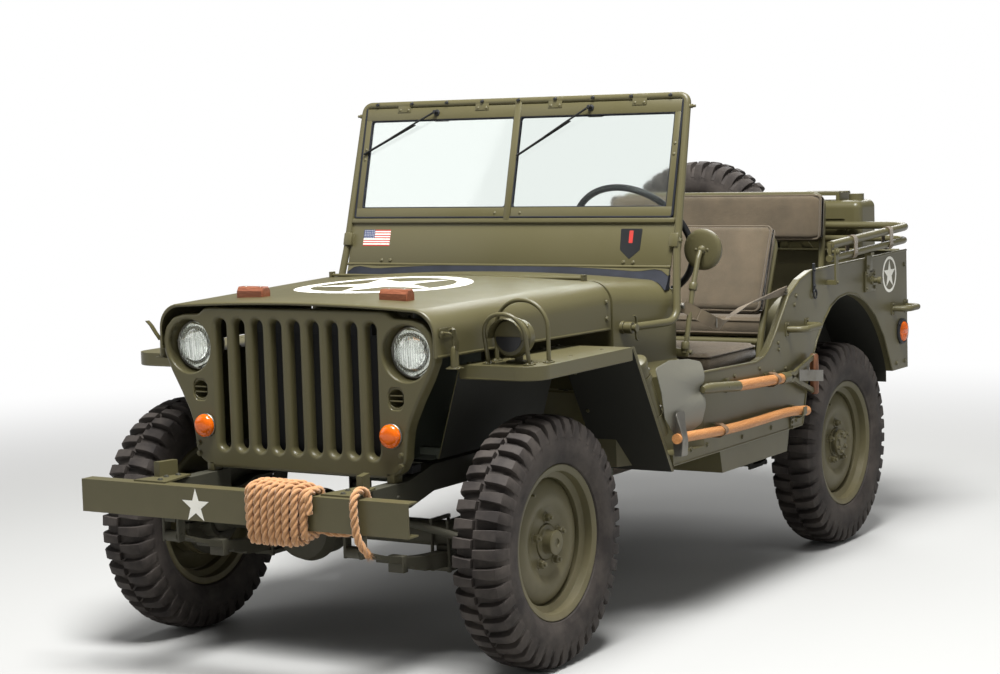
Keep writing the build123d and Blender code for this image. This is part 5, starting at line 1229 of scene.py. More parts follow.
class CAR_OT_hood(Step, bpy.types.Operator):
    """Hood with its star and ring, wooden rests, hinge and catches"""
    bl_idname = "car.hood"
    bl_label = "Hood"

    def make(self, car):
        bm = new_mesh()
        stations = [(-0.288, 0.0085), (-0.2895, 0.005), (-0.289, 0.0022), (-0.2865, 0.0006),
            (-0.282, 0)]
        stations += [(HOOD_ENDS[0] + 0.008 + 0.84 * k / 14, 0) for k in range(1, 15)]
        add_rings(bm, [hood_section(s, shrink) for s, shrink in stations], closed=False)
        thicken(bm, SKIN)
        add_tube(bm, [(x, st(HOOD_HINGE[0] + 0.001), HOOD_HINGE[1] - 0.002)
            for x in (-0.475, 0.475)], 0.005, 12)
        for side in (1, -1):
            foot = [hood_section(s)[0 if side > 0 else -1] + Vector((-side * 0.002, 0, 0.003))
                for s in (-0.28, -0.05, 0.2, 0.4, 0.548)]
            add_tube(bm, foot, 0.0042, 10)
        make_piece(bm, "hood_skin", "olive", ["hood"], body="hood", sharp=32)
        self.rests()
        self.markings()
        self.fittings()

    def rests(self):
        bm = new_mesh()
        for side in (1, -1):
            x0, x1 = side * REST_X - 0.048, side * REST_X + 0.048
            # Columns: station from the block's middle, share of the block's height
            outline = [(-0.02, 0), (0.02, 0), (0.02, 0.6), (0.012, 1), (-0.012, 1), (-0.02, 0.6)]
            rings = []
            for x, wide in ((x0, 0.9), (x0 + 0.003, 1.0), (x1 - 0.003, 1.0), (x1, 0.9)):
                feet = [hood_height(x, REST_AT + u * wide) + 0.0003 for u, share in outline]
                rings.append([Vector((x, st(REST_AT) + u * wide,
                    foot + (REST_TOP - foot) * share * wide))
                    for (u, share), foot in zip(outline, feet)])
            add_rings(bm, rings, capped=True)
        make_piece(bm, "hood_rests", "block", ["hood_blocks"], body="hood", sharp=30)
        screws = new_mesh()
        for side in (1, -1):
            for x in (-0.026, 0.026):
                add_screw(screws, (side * REST_X + x, st(REST_AT), REST_TOP - 0.0002), UP, 0.005,
                    0.002)
        make_piece(screws, "hood_rest_screws", "steel", body="hood", sharp=30)

    def markings(self):
        bm = new_mesh()
        middle = Vector((-0.046, 0.24))

        def on_hood(u, v):
            x, s = middle.x + u, middle.y - v
            return pt(x, s, hood_height(x, s) + 0.0008)

        add_draped(bm, [circle(96, STAR_OUT), circle(96, STAR_IN)], on_hood, 0.03)
        add_draped(bm, [star_outline(STAR_IN)], on_hood, 0.03)
        make_piece(bm, "hood_star", "white", body="hood", sharp=60)

    def fittings(self):
        bm = new_mesh()
        y, z = st(CATCH_AT), 0.967
        half = hood_size(CATCH_AT)[0]
        for side in (1, -1):
            plate = frame_at((side * half, y, z), (side, 0, 0))
            add_slab(bm, plate_outline(0.036, 0.014, 0.006), 0, 0.003,
                plate @ Matrix.Rotation(pi / 2, 4, "Y") @ Matrix.Rotation(pi / 2, 4, "Z"))
            for dy in (-0.026, 0.026):
                add_screw(bm, (side * (half + 0.003), y + dy, z), (side, 0, 0), 0.006, 0.004)
            loop = [(side * (half + out), y + dy, z + dz) for out, dy, dz in ((0.002, -0.016, 0),
                (0.018, -0.016, 0), (0.022, -0.01, -0.004), (0.022, 0.01, -0.004),
                (0.018, 0.016, 0), (0.002, 0.016, 0))]
            add_tube(bm, rounded(loop, 0.006), 0.0035, 8)
            for height in (0.985, 0.935):
                add_bolt(bm, (side * hood_size(0.545)[0], st(0.548 - 0.012), height), (side, 0, 0),
                    0.012, 0.005)
        make_piece(bm, "hood_fittings", "olive", body="hood")
        catches = new_mesh()
        for side in (1, -1):
            foot = Vector((side * (half + 0.024), y, 0.8683))
            add_slab(catches, plate_outline(0.02, 0.02, 0.008), 0, 0.003, Matrix.Translation(foot))
            add_turned(catches, [(0.003, 0.012), (0.055, 0.011), (0.06, 0.008), (0.062, 0)],
                frame_at(foot, UP, REAR), 20)
            hook = [foot + Vector((0, 0, h)) + Vector((-side * out, 0, 0))
                for out, h in ((0, 0.06), (0, 0.084), (-0.006, 0.098), (0.004, 0.11),
                (0.014, 0.103))]
            add_tube(catches, rounded(hook, 0.008), 0.0045, 10)
            lever = [foot + Vector((side * out, dy, h)) for out, dy, h in ((0.01, -0.002, 0.052),
                (0.018, -0.014, 0.075), (0.02, -0.03, 0.098), (0.026, -0.04, 0.112))]
            add_strap(catches, lever, 0.016, 0.003, REAR)
            for dx in (-0.014, 0.014):
                add_bolt(catches, foot + Vector((dx, 0, 0.003)), UP, 0.01, 0.004)
        make_piece(catches, "hood_catches", "olive")


# Windshield


# The windshield's lean, its foot and pivot (stations and heights), and half its width
SHIELD_LEAN = radians(14.8)
SHIELD_FOOT = (0.843, 1.033)
SHIELD_PIVOT = (0.592, 0.612, 0.902)
SHIELD_SIDE = 0.615
SHIELD_TOP = 0.585
SHIELD_HEM = 1.07
SHIELD_TURN = Matrix((
    (1, 0, 0),
    (0, sin(SHIELD_LEAN), -cos(SHIELD_LEAN)),
    (0, cos(SHIELD_LEAN), sin(SHIELD_LEAN)),
))
SHIELD_PLACE = Matrix.Translation((0, st(SHIELD_FOOT[0]), SHIELD_FOOT[1])) @ SHIELD_TURN.to_4x4()
SHIELD_OUT = SHIELD_PLACE.to_3x3() @ Vector(UP)

# Each pane's inner and outer, lower and upper edge; its rim's width and half depth
PANE = ((0.012, 0.58), (0.228, 0.53))
PANE_RIM = 0.022
RIM_FRONT = 0.0088

# Back and front of the markings on the apron
MARK_BACK, MARK_FRONT = 0.0021, 0.0024


def on_shield(x, rise, ahead=0.0):
    """Point of the windshield: across, up the glass and forward of it."""
    return SHIELD_PLACE @ Vector((x, rise, ahead))


def cowl_top(x):
    """Height of the cowl under the windshield."""
    if abs(x) <= 0.548:
        return 1.05 - 0.02 * (x / 0.548) ** 2
    return 0.95 + sqrt(max(0.08 ** 2 - (abs(x) - 0.548) ** 2, 0))


class CAR_OT_windshield(Step, bpy.types.Operator):
    """Folding windshield: tube frame, apron, glazed frames, seals, wipers and markings"""
    bl_idname = "car.windshield"
    bl_label = "Windshield"

    def make(self, car):
        self.tubes()
        self.seals()
        self.wipers()
        self.markings()

    def tubes(self):
        bm = new_mesh()
        px, ps, pz = SHIELD_PIVOT
        right = [pt(px, ps, pz), pt(0.651, 0.812, 0.905), on_shield(SHIELD_SIDE + 0.014, 0.09),
            on_shield(SHIELD_SIDE, SHIELD_TOP)]
        left = [Vector((-p.x, p.y, p.z)) for p in reversed(right)]
        add_tube(bm, rounded(right + left, (0.055, 0.055, 0.03, 0.03, 0.055, 0.055), 10), 0.012, 24)
        side = SHIELD_SIDE
        add_box(bm, (-side, 0.034, -0.002), (side, 0.184, 0.002), 0.001, SHIELD_PLACE)
        add_box(bm, (-side, 0.176, -0.01), (side, 0.192, 0.01), 0.003, SHIELD_PLACE)
        add_tube(bm, [on_shield(x, 0.036, 0.003) for x in (-side, side)], 0.005, 12)
        pane_out, (pane_low, pane_high) = PANE[0][1], PANE[1]
        border = pane_out + PANE_RIM
        add_box(bm, (-0.0125, 0.186, -0.011), (0.0125, 0.585, 0.011), 0.003, SHIELD_PLACE)
        for way in (1, -1):
            for x0, x1, r0, r1 in ((0.0125, border, 0.192, pane_low),
                    (0.0125, border, pane_high, 0.572), (pane_out, border, pane_low - 0.002,
                    pane_high + 0.002)):
                x_low, x_high = sorted((way * x0, way * x1))
                add_box(bm, (x_low, r0, -RIM_FRONT), (x_high, r1, RIM_FRONT), 0.0022, SHIELD_PLACE)
            for x in (0.14, 0.45):
                add_box(bm, (way * x - 0.026, 0.556, 0.008), (way * x + 0.026, 0.592, 0.0108),
                    0.001, SHIELD_PLACE)
                for dx in (-0.016, 0.016):
                    add_screw(bm, on_shield(way * x + dx, 0.564, 0.0108), SHIELD_OUT, 0.005, 0.0022)
            for x, rise in ((0.048, 0.209), (pane_out + 0.01, 0.395), (pane_out + 0.01, 0.43)):
                add_screw(bm, on_shield(way * x, rise, RIM_FRONT), SHIELD_OUT, 0.005, 0.0025)
            for x in (0.445, 0.48):
                add_bolt(bm, on_shield(way * x, 0.05, 0.002), SHIELD_OUT, 0.009, 0.004)
            low, high = sorted((way * side, way * (side - 0.013)))
            add_box(bm, (low, 0.184, -0.0015), (high, 0.572, 0.0015), place=SHIELD_PLACE)
            ear = frame_at(on_shield(way * (side + 0.01), SHIELD_TOP - 0.035), (way, 0, 0))
            add_turned(bm, [(0, 0.007), (0.01, 0.007), (0.011, 0.0045), (0.02, 0.0045), (0.022, 0)],
                ear, 16)
            eye = frame_at((way * (px - 0.0125), st(ps), pz), (way, 0, 0))
            add_turned(bm, [(0, 0), (0, 0.0165), (0.0015, 0.018), (0.0245, 0.018), (0.026, 0.0165),
                (0.026, 0)], eye, 32)
            add_turned(bm, [(0.026, 0.009), (0.033, 0.009), (0.033, 0.0125), (0.041, 0.0125),
                (0.042, 0)], eye, 24)
            grip = [Vector((0.037, dy, dz)) for dy, dz in ((0, 0), (0.012, 0.016), (0.016, 0.03),
                (0.01, 0.038))]
            for turn in (0.5, 0.5 + pi):
                spun = eye @ Matrix.Rotation(turn, 4, "X")
                add_strap(bm, [spun @ p for p in grip], 0.006, 0.0035, (1, 0, 0))
            pin = frame_at((way * (px - 0.026), st(ps), pz), (way, 0, 0))
            add_turned(bm, [(0, 0), (0, 0.008), (0.03, 0.008)], pin, 20)
            clamp = on_shield(way * (side + 0.006), 0.12, 0)
            add_box(bm, (-0.016, -0.022, -0.016), (0.016, 0.022, 0.016), 0.004,
                Matrix.Translation(clamp) @ SHIELD_PLACE.to_3x3().to_4x4())
            add_bolt(bm, clamp + Vector((way * 0.016, 0, 0)), (way, 0, 0), 0.014, 0.006)
        make_piece(bm, "shield_frame", "olive", ["windshield_frame"], body="windshield")
        hooks = new_mesh()
        for k in range(9):
            x = -0.56 + 0.14 * k
            add_box(hooks, (x - 0.006, SHIELD_TOP - 0.004, 0.01),
                (x + 0.006, SHIELD_TOP + 0.003, 0.017), 0.001, SHIELD_PLACE)
            add_screw(hooks, on_shield(x, SHIELD_TOP + 0.004, 0.0105),
                SHIELD_PLACE.to_3x3() @ Vector((0, 0.5, 1)), 0.004, 0.003)
        make_piece(hooks, "top_strip_hooks", "black", body="windshield")

    def seals(self):
        bm = new_mesh()
        (pane_in, pane_out), (pane_low, pane_high) = PANE
        for way in (1, -1):
            for depth in (-0.0045, 0.0045):
                corners = [(pane_in, pane_low), (pane_out, pane_low), (pane_out, pane_high),
                    (pane_in, pane_high)]
                loop = round_loop([(way * x, r) for x, r in corners], 0.012, 4)
                add_tube(bm, [on_shield(x, r, depth) for x, r in loop], 0.0035, 8, closed=True)
            edge = [(0, 0.1945), (pane_out + 0.0245, 0.1945), (pane_out + 0.0245, 0.574)]
            add_tube(bm, rounded([on_shield(way * x, r, 0.0065) for x, r in edge], 0.01), 0.0042, 8)
        apron, rings, skirt = new_mesh(), [], []
        for x in (-0.612 + 1.224 * k / 48 for k in range(49)):
            low = cowl_top(x) + 0.0008
            high = min(low + 0.023 + 0.2 * max(abs(x) - 0.5, 0), SHIELD_HEM)
            rings.append([self.leaning(x, ahead, z) for ahead, z in ((-0.007, high), (0.006, high),
                (0.012, (low + high) / 2), (0.019, low + 0.005), (0.021, low), (-0.004, low),
                (-0.007, low + 0.006))])
            top = SHIELD_HEM + 0.002
            skirt.append([self.leaning(x, ahead, z) for ahead, z in ((-0.004, high - 0.003),
                (0.0078, high - 0.003), (0.004, top), (-0.004, top))])
        add_rings(bm, rings, capped=True)
        add_rings(apron, skirt, capped=True)
        make_piece(apron, "shield_apron", "olive", body="windshield", sharp=40)
        make_piece(bm, "shield_seals", "rubber", body="windshield", sharp=40)

    def leaning(self, x, ahead, z):
        """Point below the apron, at a height and a reach ahead of the windshield's own plane."""
        return Vector((x, st(SHIELD_FOOT[0]) + (z - SHIELD_FOOT[1]) * tan(SHIELD_LEAN) - ahead, z))

    def wipers(self):
        arms, blades = new_mesh(), new_mesh()
        for x, rise, tip_x, tip_rise in ((-0.317, 0.552, -0.59, 0.415), (0.275, 0.552, 0.02, 0.4)):
            add_box(arms, (x - 0.03, rise - 0.022, -0.034), (x + 0.03, rise + 0.022, -0.01), 0.006,
                SHIELD_PLACE)
            hub = frame_at(on_shield(x, rise, RIM_FRONT), SHIELD_OUT)
            add_turned(arms, [(0, 0), (0, 0.011), (0.003, 0.011), (0.004, 0.007), (0.014, 0.007),
                (0.02, 0.0055), (0.021, 0)], hub, 24)
            start, end = on_shield(x, rise, 0.024), on_shield(tip_x * 0.62 + x * 0.38,
                tip_rise * 0.62 + rise * 0.38, 0.02)
            add_tube(arms, [start, start.lerp(end, 0.5) + Vector((0, -0.003, 0)), end],
                [0.0036, 0.003, 0.0024], 8)
            low, high = Vector((tip_x, tip_rise)), Vector((x, rise))
            ahead = (high - low).normalized()
            a, b = low - ahead * 0.004, low + ahead * 0.215
            back = [on_shield(p.x, p.y, 0.015) for p in (a, a.lerp(b, 0.5), b)]
            add_tube(arms, [back[0], back[1] + Vector((0, -0.002, 0.001)), back[2]], 0.003, 8)
            edge = [on_shield(p.x, p.y, 0.0092) for p in (a, b)]
            across = SHIELD_OUT
            add_strap(blades, [edge[0] + across * 0.0018, edge[1] + across * 0.0018], 0.0055,
                0.0026, across)
        make_piece(arms, "wiper_arms", "black", ["wipers"], body="windshield")
        make_piece(blades, "wiper_blades", "rubber", body="windshield")

    def markings(self):
        white, red, blue, dark = (new_mesh() for _ in range(4))
        x0, x1, r0, r1 = -0.563, -0.455, 0.099, 0.154
        stripe, canton = (r1 - r0) / 13, x0 + 0.045
        for k in range(13):
            target = red if k % 2 == 0 else white
            low = x0 if k < 6 else canton
            add_box(target, (low, r0 + stripe * k, MARK_BACK),
                (x1, r0 + stripe * (k + 1), MARK_FRONT), place=SHIELD_PLACE)
        add_box(blue, (x0, r0 + stripe * 6, MARK_BACK), (canton, r1, MARK_FRONT),
            place=SHIELD_PLACE)
        for row in range(5):
            for column in range(6):
                place = SHIELD_PLACE @ Matrix.Translation((x0 + 0.005 + 0.007 * column,
                    r0 + stripe * 6 + 0.0034 + 0.0057 * row, 0))
                add_slab(white, star_outline(0.0022), MARK_FRONT, 0.0026, place)
        badge = round_loop([(0.4645, 0.06), (0.5, 0.09), (0.503, 0.158), (0.426, 0.158),
            (0.429, 0.09)], 0.005)
        add_slab(dark, badge, MARK_BACK, MARK_FRONT, SHIELD_PLACE)
        bar = round_loop([(0.4575, 0.112), (0.4715, 0.112), (0.4715, 0.152), (0.4575, 0.152)],
            0.002)
        add_slab(red, bar, MARK_FRONT, 0.0027, SHIELD_PLACE)
        for bm, finish, name in ((white, "white", "flag_white"), (red, "badge_red", "marking_red"),
                (blue, "blue", "flag_canton"), (dark, "black", "badge_ground")):
            make_piece(bm, name, finish, body="windshield", sharp=60)


# Seats


def add_cushion(bm, size, place, puff):
    """Boxed cushion about the place's middle: width, depth and thickness, with swollen faces."""
    wide, deep, thick = (v / 2 for v in size)
    across, steps, edge = 26, 26, 0.016
    rings = []
    for i in range(across + 1):
        x = -1 + 2 * i / across
        end = max(0, abs(x) * wide - (wide - edge)) / edge
        pull = edge * (1 - sqrt(max(0, 1 - end * end)))
        ring = []
        for way in (1, -1):
            for k in range(steps + 1):
                y = way * (-1 + 2 * k / steps)
                side = max(0, abs(y) * deep - (deep - edge)) / edge
                drop = edge * (1 - sqrt(max(0, 1 - side * side)))
                swell = puff * (1 - x ** 4) * (1 - y ** 4)
                h = thick - drop * 0.9 - pull * 0.9 + swell
                ring.append(place @ Vector((x * wide, y * (deep - pull * 0.5), way * h)))
        rings.append(ring)
    add_rings(bm, rings, capped=True)


def cushion_piping(bm, size, place):
    """Piping round the upper and lower edges of a boxed cushion."""
    wide, deep, thick = (v / 2 for v in size)
    for way in (1, -1):
        loop = plate_outline(wide * 0.992, deep * 0.992, 0.022)
        add_tube(bm, [place @ Vector((x, y, way * (thick - 0.013))) for x, y in loop], 0.0042, 8,
            closed=True)


# Columns: station, height, width, depth, thickness and lean in degrees
FRONT_PADS = ((1.3, 0.7323, 0.43, 0.376, 0.084, 0), (1.5801, 1.007, 0.43, 0.31, 0.06, 67.46))
REAR_PADS = ((2.24, 0.7543, 0.86, 0.26, 0.08, 0), (2.401, 1.142, 0.9, 0.17, 0.056, 84.0))
# Columns: name, body, place across and pads
SEATS = (
    ("driver", "chassis", 0.390, FRONT_PADS),
    ("passenger", "passenger_seat", -0.390, FRONT_PADS),
    ("rear", "rear_seat", 0.0, REAR_PADS),
)


class CAR_OT_seats(Step, bpy.types.Operator):
    """Canvas seat and back cushions with piping"""
    bl_idname = "car.seats"
    bl_label = "Seat cushions"

    def make(self, car):
        for name, body, x, pads in SEATS:
            bm = new_mesh()
            for s, z, wide, deep, thick, lean in pads:
                place = Matrix.Translation((x, st(s), z)) @ Matrix.Rotation(radians(lean), 4, "X")
                size = (wide - 0.006, deep - 0.006, thick - 0.012)
                add_cushion(bm, size, place, 0.006)
                cushion_piping(bm, (wide - 0.006, deep - 0.006, thick - 0.008), place)
            piece = make_piece(bm, f"{name}_cushion_covers", "canvas", [f"{name}_cushions"],
                body=body, sharp=50)


# Fenders, tub and what they carry


FENDER_TOP = 0.868
# Upper edge of the tub's side: stations and heights
TUB_LINE = ((TUB_END, 1.013), (1.683, 0.998), (1.590, 0.975), (1.500, 0.930), (1.391, 0.814),
            (1.340, 0.768), (1.296, 0.744), (1.236, 0.733), (0.850, 0.743))


class CAR_OT_fender_fittings(Step, bpy.types.Operator):
    """Bolt lines, beads and brackets of the front fenders, and the guard of the blackout lamp"""
    bl_idname = "car.fender_fittings"
    bl_label = "Fender fittings"

    def make(self, car):
        bm = new_mesh()
        for side in (1, -1):
            for s in (-0.12, -0.02, 0.08, 0.18, 0.28, 0.37):
                add_bolt(bm, (side * 0.484, st(s), FENDER_TOP), UP, 0.011, 0.005)
            for s in (-0.04, 0.14, 0.32):
                add_screw(bm, (side * 0.66, st(s), FENDER_TOP), UP, 0.006, 0.003)
            edge = [(side * 0.7165, st(s), z) for s, z in ((0.402, 0.864), (0.636, 0.468))]
            add_tube(bm, edge, 0.0045, 10)
            skirt = [(side * (0.648 + 0.069 * sin(a)), st(-0.078 - 0.069 * cos(a)), 0.8315)
                for a in (pi / 2 * k / 10 for k in range(11))]
            skirt.insert(0, (side * 0.472, st(-0.1475), 0.8315))
            skirt.append((side * 0.717, st(0.39), 0.8315))
            add_tube(bm, skirt, 0.0035, 8)
            for s, z in ((0.45, 0.785), (0.52, 0.662), (0.59, 0.543)):
                add_bolt(bm, (side * 0.497, st(s - 0.004), z - 0.004), (0, -0.86, -0.5), 0.011,
                    0.005)
        make_piece(bm, "fender_fittings", "olive")
        self.lamp()

    def lamp(self):
        bm = new_mesh()
        x, s, z = 0.604, -0.07, 0.94
        for half, foot in ((0.066, s - 0.034), (0.084, s + 0.04)):
            for way in (1, -1):
                pad = Matrix.Translation((x + way * half, st(foot), FENDER_TOP + 0.0003))
                add_slab(bm, plate_outline(0.012, 0.017, 0.006), 0, 0.0028, pad)
                for dy in (-0.011, 0.011):
                    add_bolt(bm, pad @ Vector((0, dy, 0.0028)), UP, 0.008, 0.004)
        drum = frame_at((x, st(s - 0.03), z), AHEAD)
        add_turned(bm, [(0, 0), (0.0015, 0.03), (-0.002, 0.0485), (-0.008, 0.0505),
            (-0.016, 0.0545), (-0.024, 0.0545)], drum, 48)
        add_turned(bm, [(-0.019, 0.0545), (-0.019, 0.0575), (-0.025, 0.0575), (-0.025, 0.0535)],
            drum, 48)
        for turn in (0.6, 2.7, 4.4):
            add_screw(bm, drum @ Vector((-0.022, 0.0575 * cos(turn), 0.0575 * sin(turn))),
                drum.to_3x3() @ Vector((0, cos(turn), sin(turn))), 0.004, 0.003)
        make_piece(bm, "lamp_fittings", "olive")
        slit = new_mesh()
        outline = [(0.0415 * cos(a), 0.004 + 0.0415 * sin(a))
            for a in (pi + pi * k / 24 for k in range(25))]
        add_slab(slit, outline, 0.0012, 0.0026, facing(x, s - 0.03, z))
        make_piece(slit, "lamp_window", "bakelite")


def add_loop_handle(bm, at, out, along, reach, width, wire):
    """Strap loop: a bent wire that stands on two round feet."""
    at, out, along = Vector(at), Vector(out), Vector(along)
    points = [at + along * a + out * o for a, o in ((-width / 2, 0), (-width / 2, reach),
        (width / 2, reach), (width / 2, 0))]
    add_tube(bm, rounded(points, reach * 0.6), wire, 8)
    for way in (-1, 1):
        place = frame_at(at + along * way * (width / 2 + 0.004), out)
        add_turned(bm, [(0, 0), (0, 0.009), (0.002, 0.009), (0.003, 0.007), (0.003, 0)], place, 14)


class CAR_OT_tub_fittings(Step, bpy.types.Operator):
    """Edge beads, bolts, strap loops, lamps, reflectors and stars of the tub"""
    bl_idname = "car.tub_fittings"
    bl_label = "Tub fittings"

    def make(self, car):
        bm = new_mesh()
        for side in (1, -1):
            self.edges(bm, side)
            self.bolts(bm, side)
        self.rear(bm)
        make_piece(bm, "tub_fittings", "olive")
        self.lamps()
        self.stars()

    def edges(self, bm, side):
        out = TUB_HALF * side
        line = [pt(out - side * 0.003, s, z - 0.0006) for s, z in TUB_LINE]
        add_tube(bm, rounded(line, 0.035, 5), 0.0048, 12)
        lower = [pt(out - side * 0.002, s, 0.4835) for s in (0.64, 1.58)]
        add_tube(bm, lower, 0.004, 10)
        arch = [(1.59, 0.486), (1.64, 0.642), (1.718, 0.756), (1.775, 0.815), (1.842, 0.864),
            (1.91, 0.888), (1.995, 0.8965), (2.08, 0.884), (2.16, 0.85), (2.24, 0.798),
            (2.32, 0.715), (2.398, 0.58)]
        add_tube(bm, rounded([pt(out - side * 0.001, s, z) for s, z in arch], 0.08, 4), 0.0042, 10)

    def bolts(self, bm, side):
        out = side * TUB_HALF
        for s, z in ((0.66, 0.515), (0.76, 0.515), (0.87, 0.515), (1.12, 0.505), (1.34, 0.505),
                (1.54, 0.505), (0.87, 0.7), (2.44, 0.6), (2.52, 0.6), (2.525, 0.8), (2.525, 0.96)):
            add_bolt(bm, (out, st(s), z), (side, 0, 0), 0.012, 0.005)
        for s, z in ((1.48, 0.817), (1.64, 0.817), (2.41, 0.805), (2.536, 0.805)):
            plate = frame_at((out, st(s), z), (side, 0, 0)) @ Matrix.Rotation(pi / 2, 4, "Y")
            add_slab(bm, plate_outline(0.024, 0.018, 0.008), 0, 0.003, plate)
            for dz in (-0.017, 0.017):
                add_bolt(bm, (out + side * 0.003, st(s), z + dz), (side, 0, 0), 0.009, 0.004)
        for s, z in ((1.074, 0.707), (1.262, 0.71), (1.368, 0.687), (1.458, 0.689), (1.411, 0.757),
                (1.408, 0.779), (1.542, 0.893), (1.557, 0.923)):
            add_bolt(bm, (out, st(s), z), (side, 0, 0), 0.011, 0.0045)
        for s, z in ((0.7, 0.6), (0.78, 0.64), (0.7, 0.66)):
            add_screw(bm, (side * 0.7178, st(s), z), (side, 0, 0), 0.005, 0.003)

    def rear(self, bm):
        back = st(TUB_END)
        for x in (-0.66, -0.56, -0.46, 0.1, 0.56, 0.66):
            for z in (0.595, 0.99):
                add_bolt(bm, (x, back, z), REAR, 0.011, 0.005)
        for x in (-0.64, 0.64):
            add_loop_handle(bm, (x, back, 0.88), REAR, (1, 0, 0), 0.016, 0.034, 0.0032)
        add_tube(bm, [(-0.69, back - 0.003, 1.0125), (0.69, back - 0.003, 1.0125)], 0.0048, 12)

    def lamps(self):
        red, amber, rims, cups = new_mesh(), new_mesh(), new_mesh(), new_mesh()
        for side in (1, -1):
            tail = frame_at((side * 0.64, st(TUB_END), 0.69), REAR)
            add_turned(rims, [(0.0004, 0), (0.0004, 0.0345), (0.03, 0.0345), (0.036, 0.033),
                (0.038, 0.03), (0.037, 0.0275)], tail, 40)
            add_turned(red, [(0.0375, 0.0285), (0.041, 0.024), (0.0425, 0.014), (0.043, 0)], tail,
                40)
            spot = frame_at((side * TUB_HALF, st(2.492), 0.714), (side, 0, 0))
            add_turned(cups, [(0.0004, 0), (0.0004, 0.048), (0.006, 0.048), (0.01, 0.045),
                (0.0105, 0.0395), (0.007, 0.037)], spot, 40)
            add_turned(amber, [(0.007, 0.0375), (0.0125, 0.035), (0.016, 0.026), (0.0175, 0.014),
                (0.018, 0)], spot, 40)
            add_ribs(amber, spot, 16, ((0.0137, 0.0325), (0.0166, 0.022), (0.0178, 0.01)), 0.0011)
        make_piece(rims, "tail_lamp_bodies", "olive", ["marker_lamps"])
        make_piece(cups, "side_reflector_cups", "black")
        make_piece(red, "tail_lamp_lenses", "red")
        make_piece(amber, "side_reflectors", "amber")

    def stars(self):
        bm = new_mesh()
        for side in (1, -1):
            place = frame_at((side * (TUB_HALF + 0.0004), st(2.38), 0.934), (0, side, 0), UP)
            flat = place @ Matrix.Rotation(pi / 2, 4, "X")
            flat_fill(bm, [circle(64, 0.066), circle(64, 0.0555)], flat)
            flat_fill(bm, [star_outline(0.0555)], flat)
        flat_fill(bm, [star_outline(0.05)], facing(-0.147, -0.5634, 0.498))
        make_piece(bm, "white_stars", "white", sharp=60)


# Stowed tools, straps and cans


# Curve of the shovel's blade across it, and the height of its crest
DISH_RADIUS, CREST = 0.479, 0.697


def add_webbing(bm, stations, width, thick):
    """Flat webbing along stations of (point, direction of its width)."""
    rings = []
    line = [point for point, across in stations]
    for k, (point, across) in enumerate(stations):
        ahead = heading(line, k)
        side = (across - ahead * across.dot(ahead)).normalized() * width / 2
        out = ahead.cross(side).normalized() * thick / 2
        rings.append([point - side - out, point + side - out, point + side + out,
            point - side + out])
    add_rings(bm, rings, capped=True)


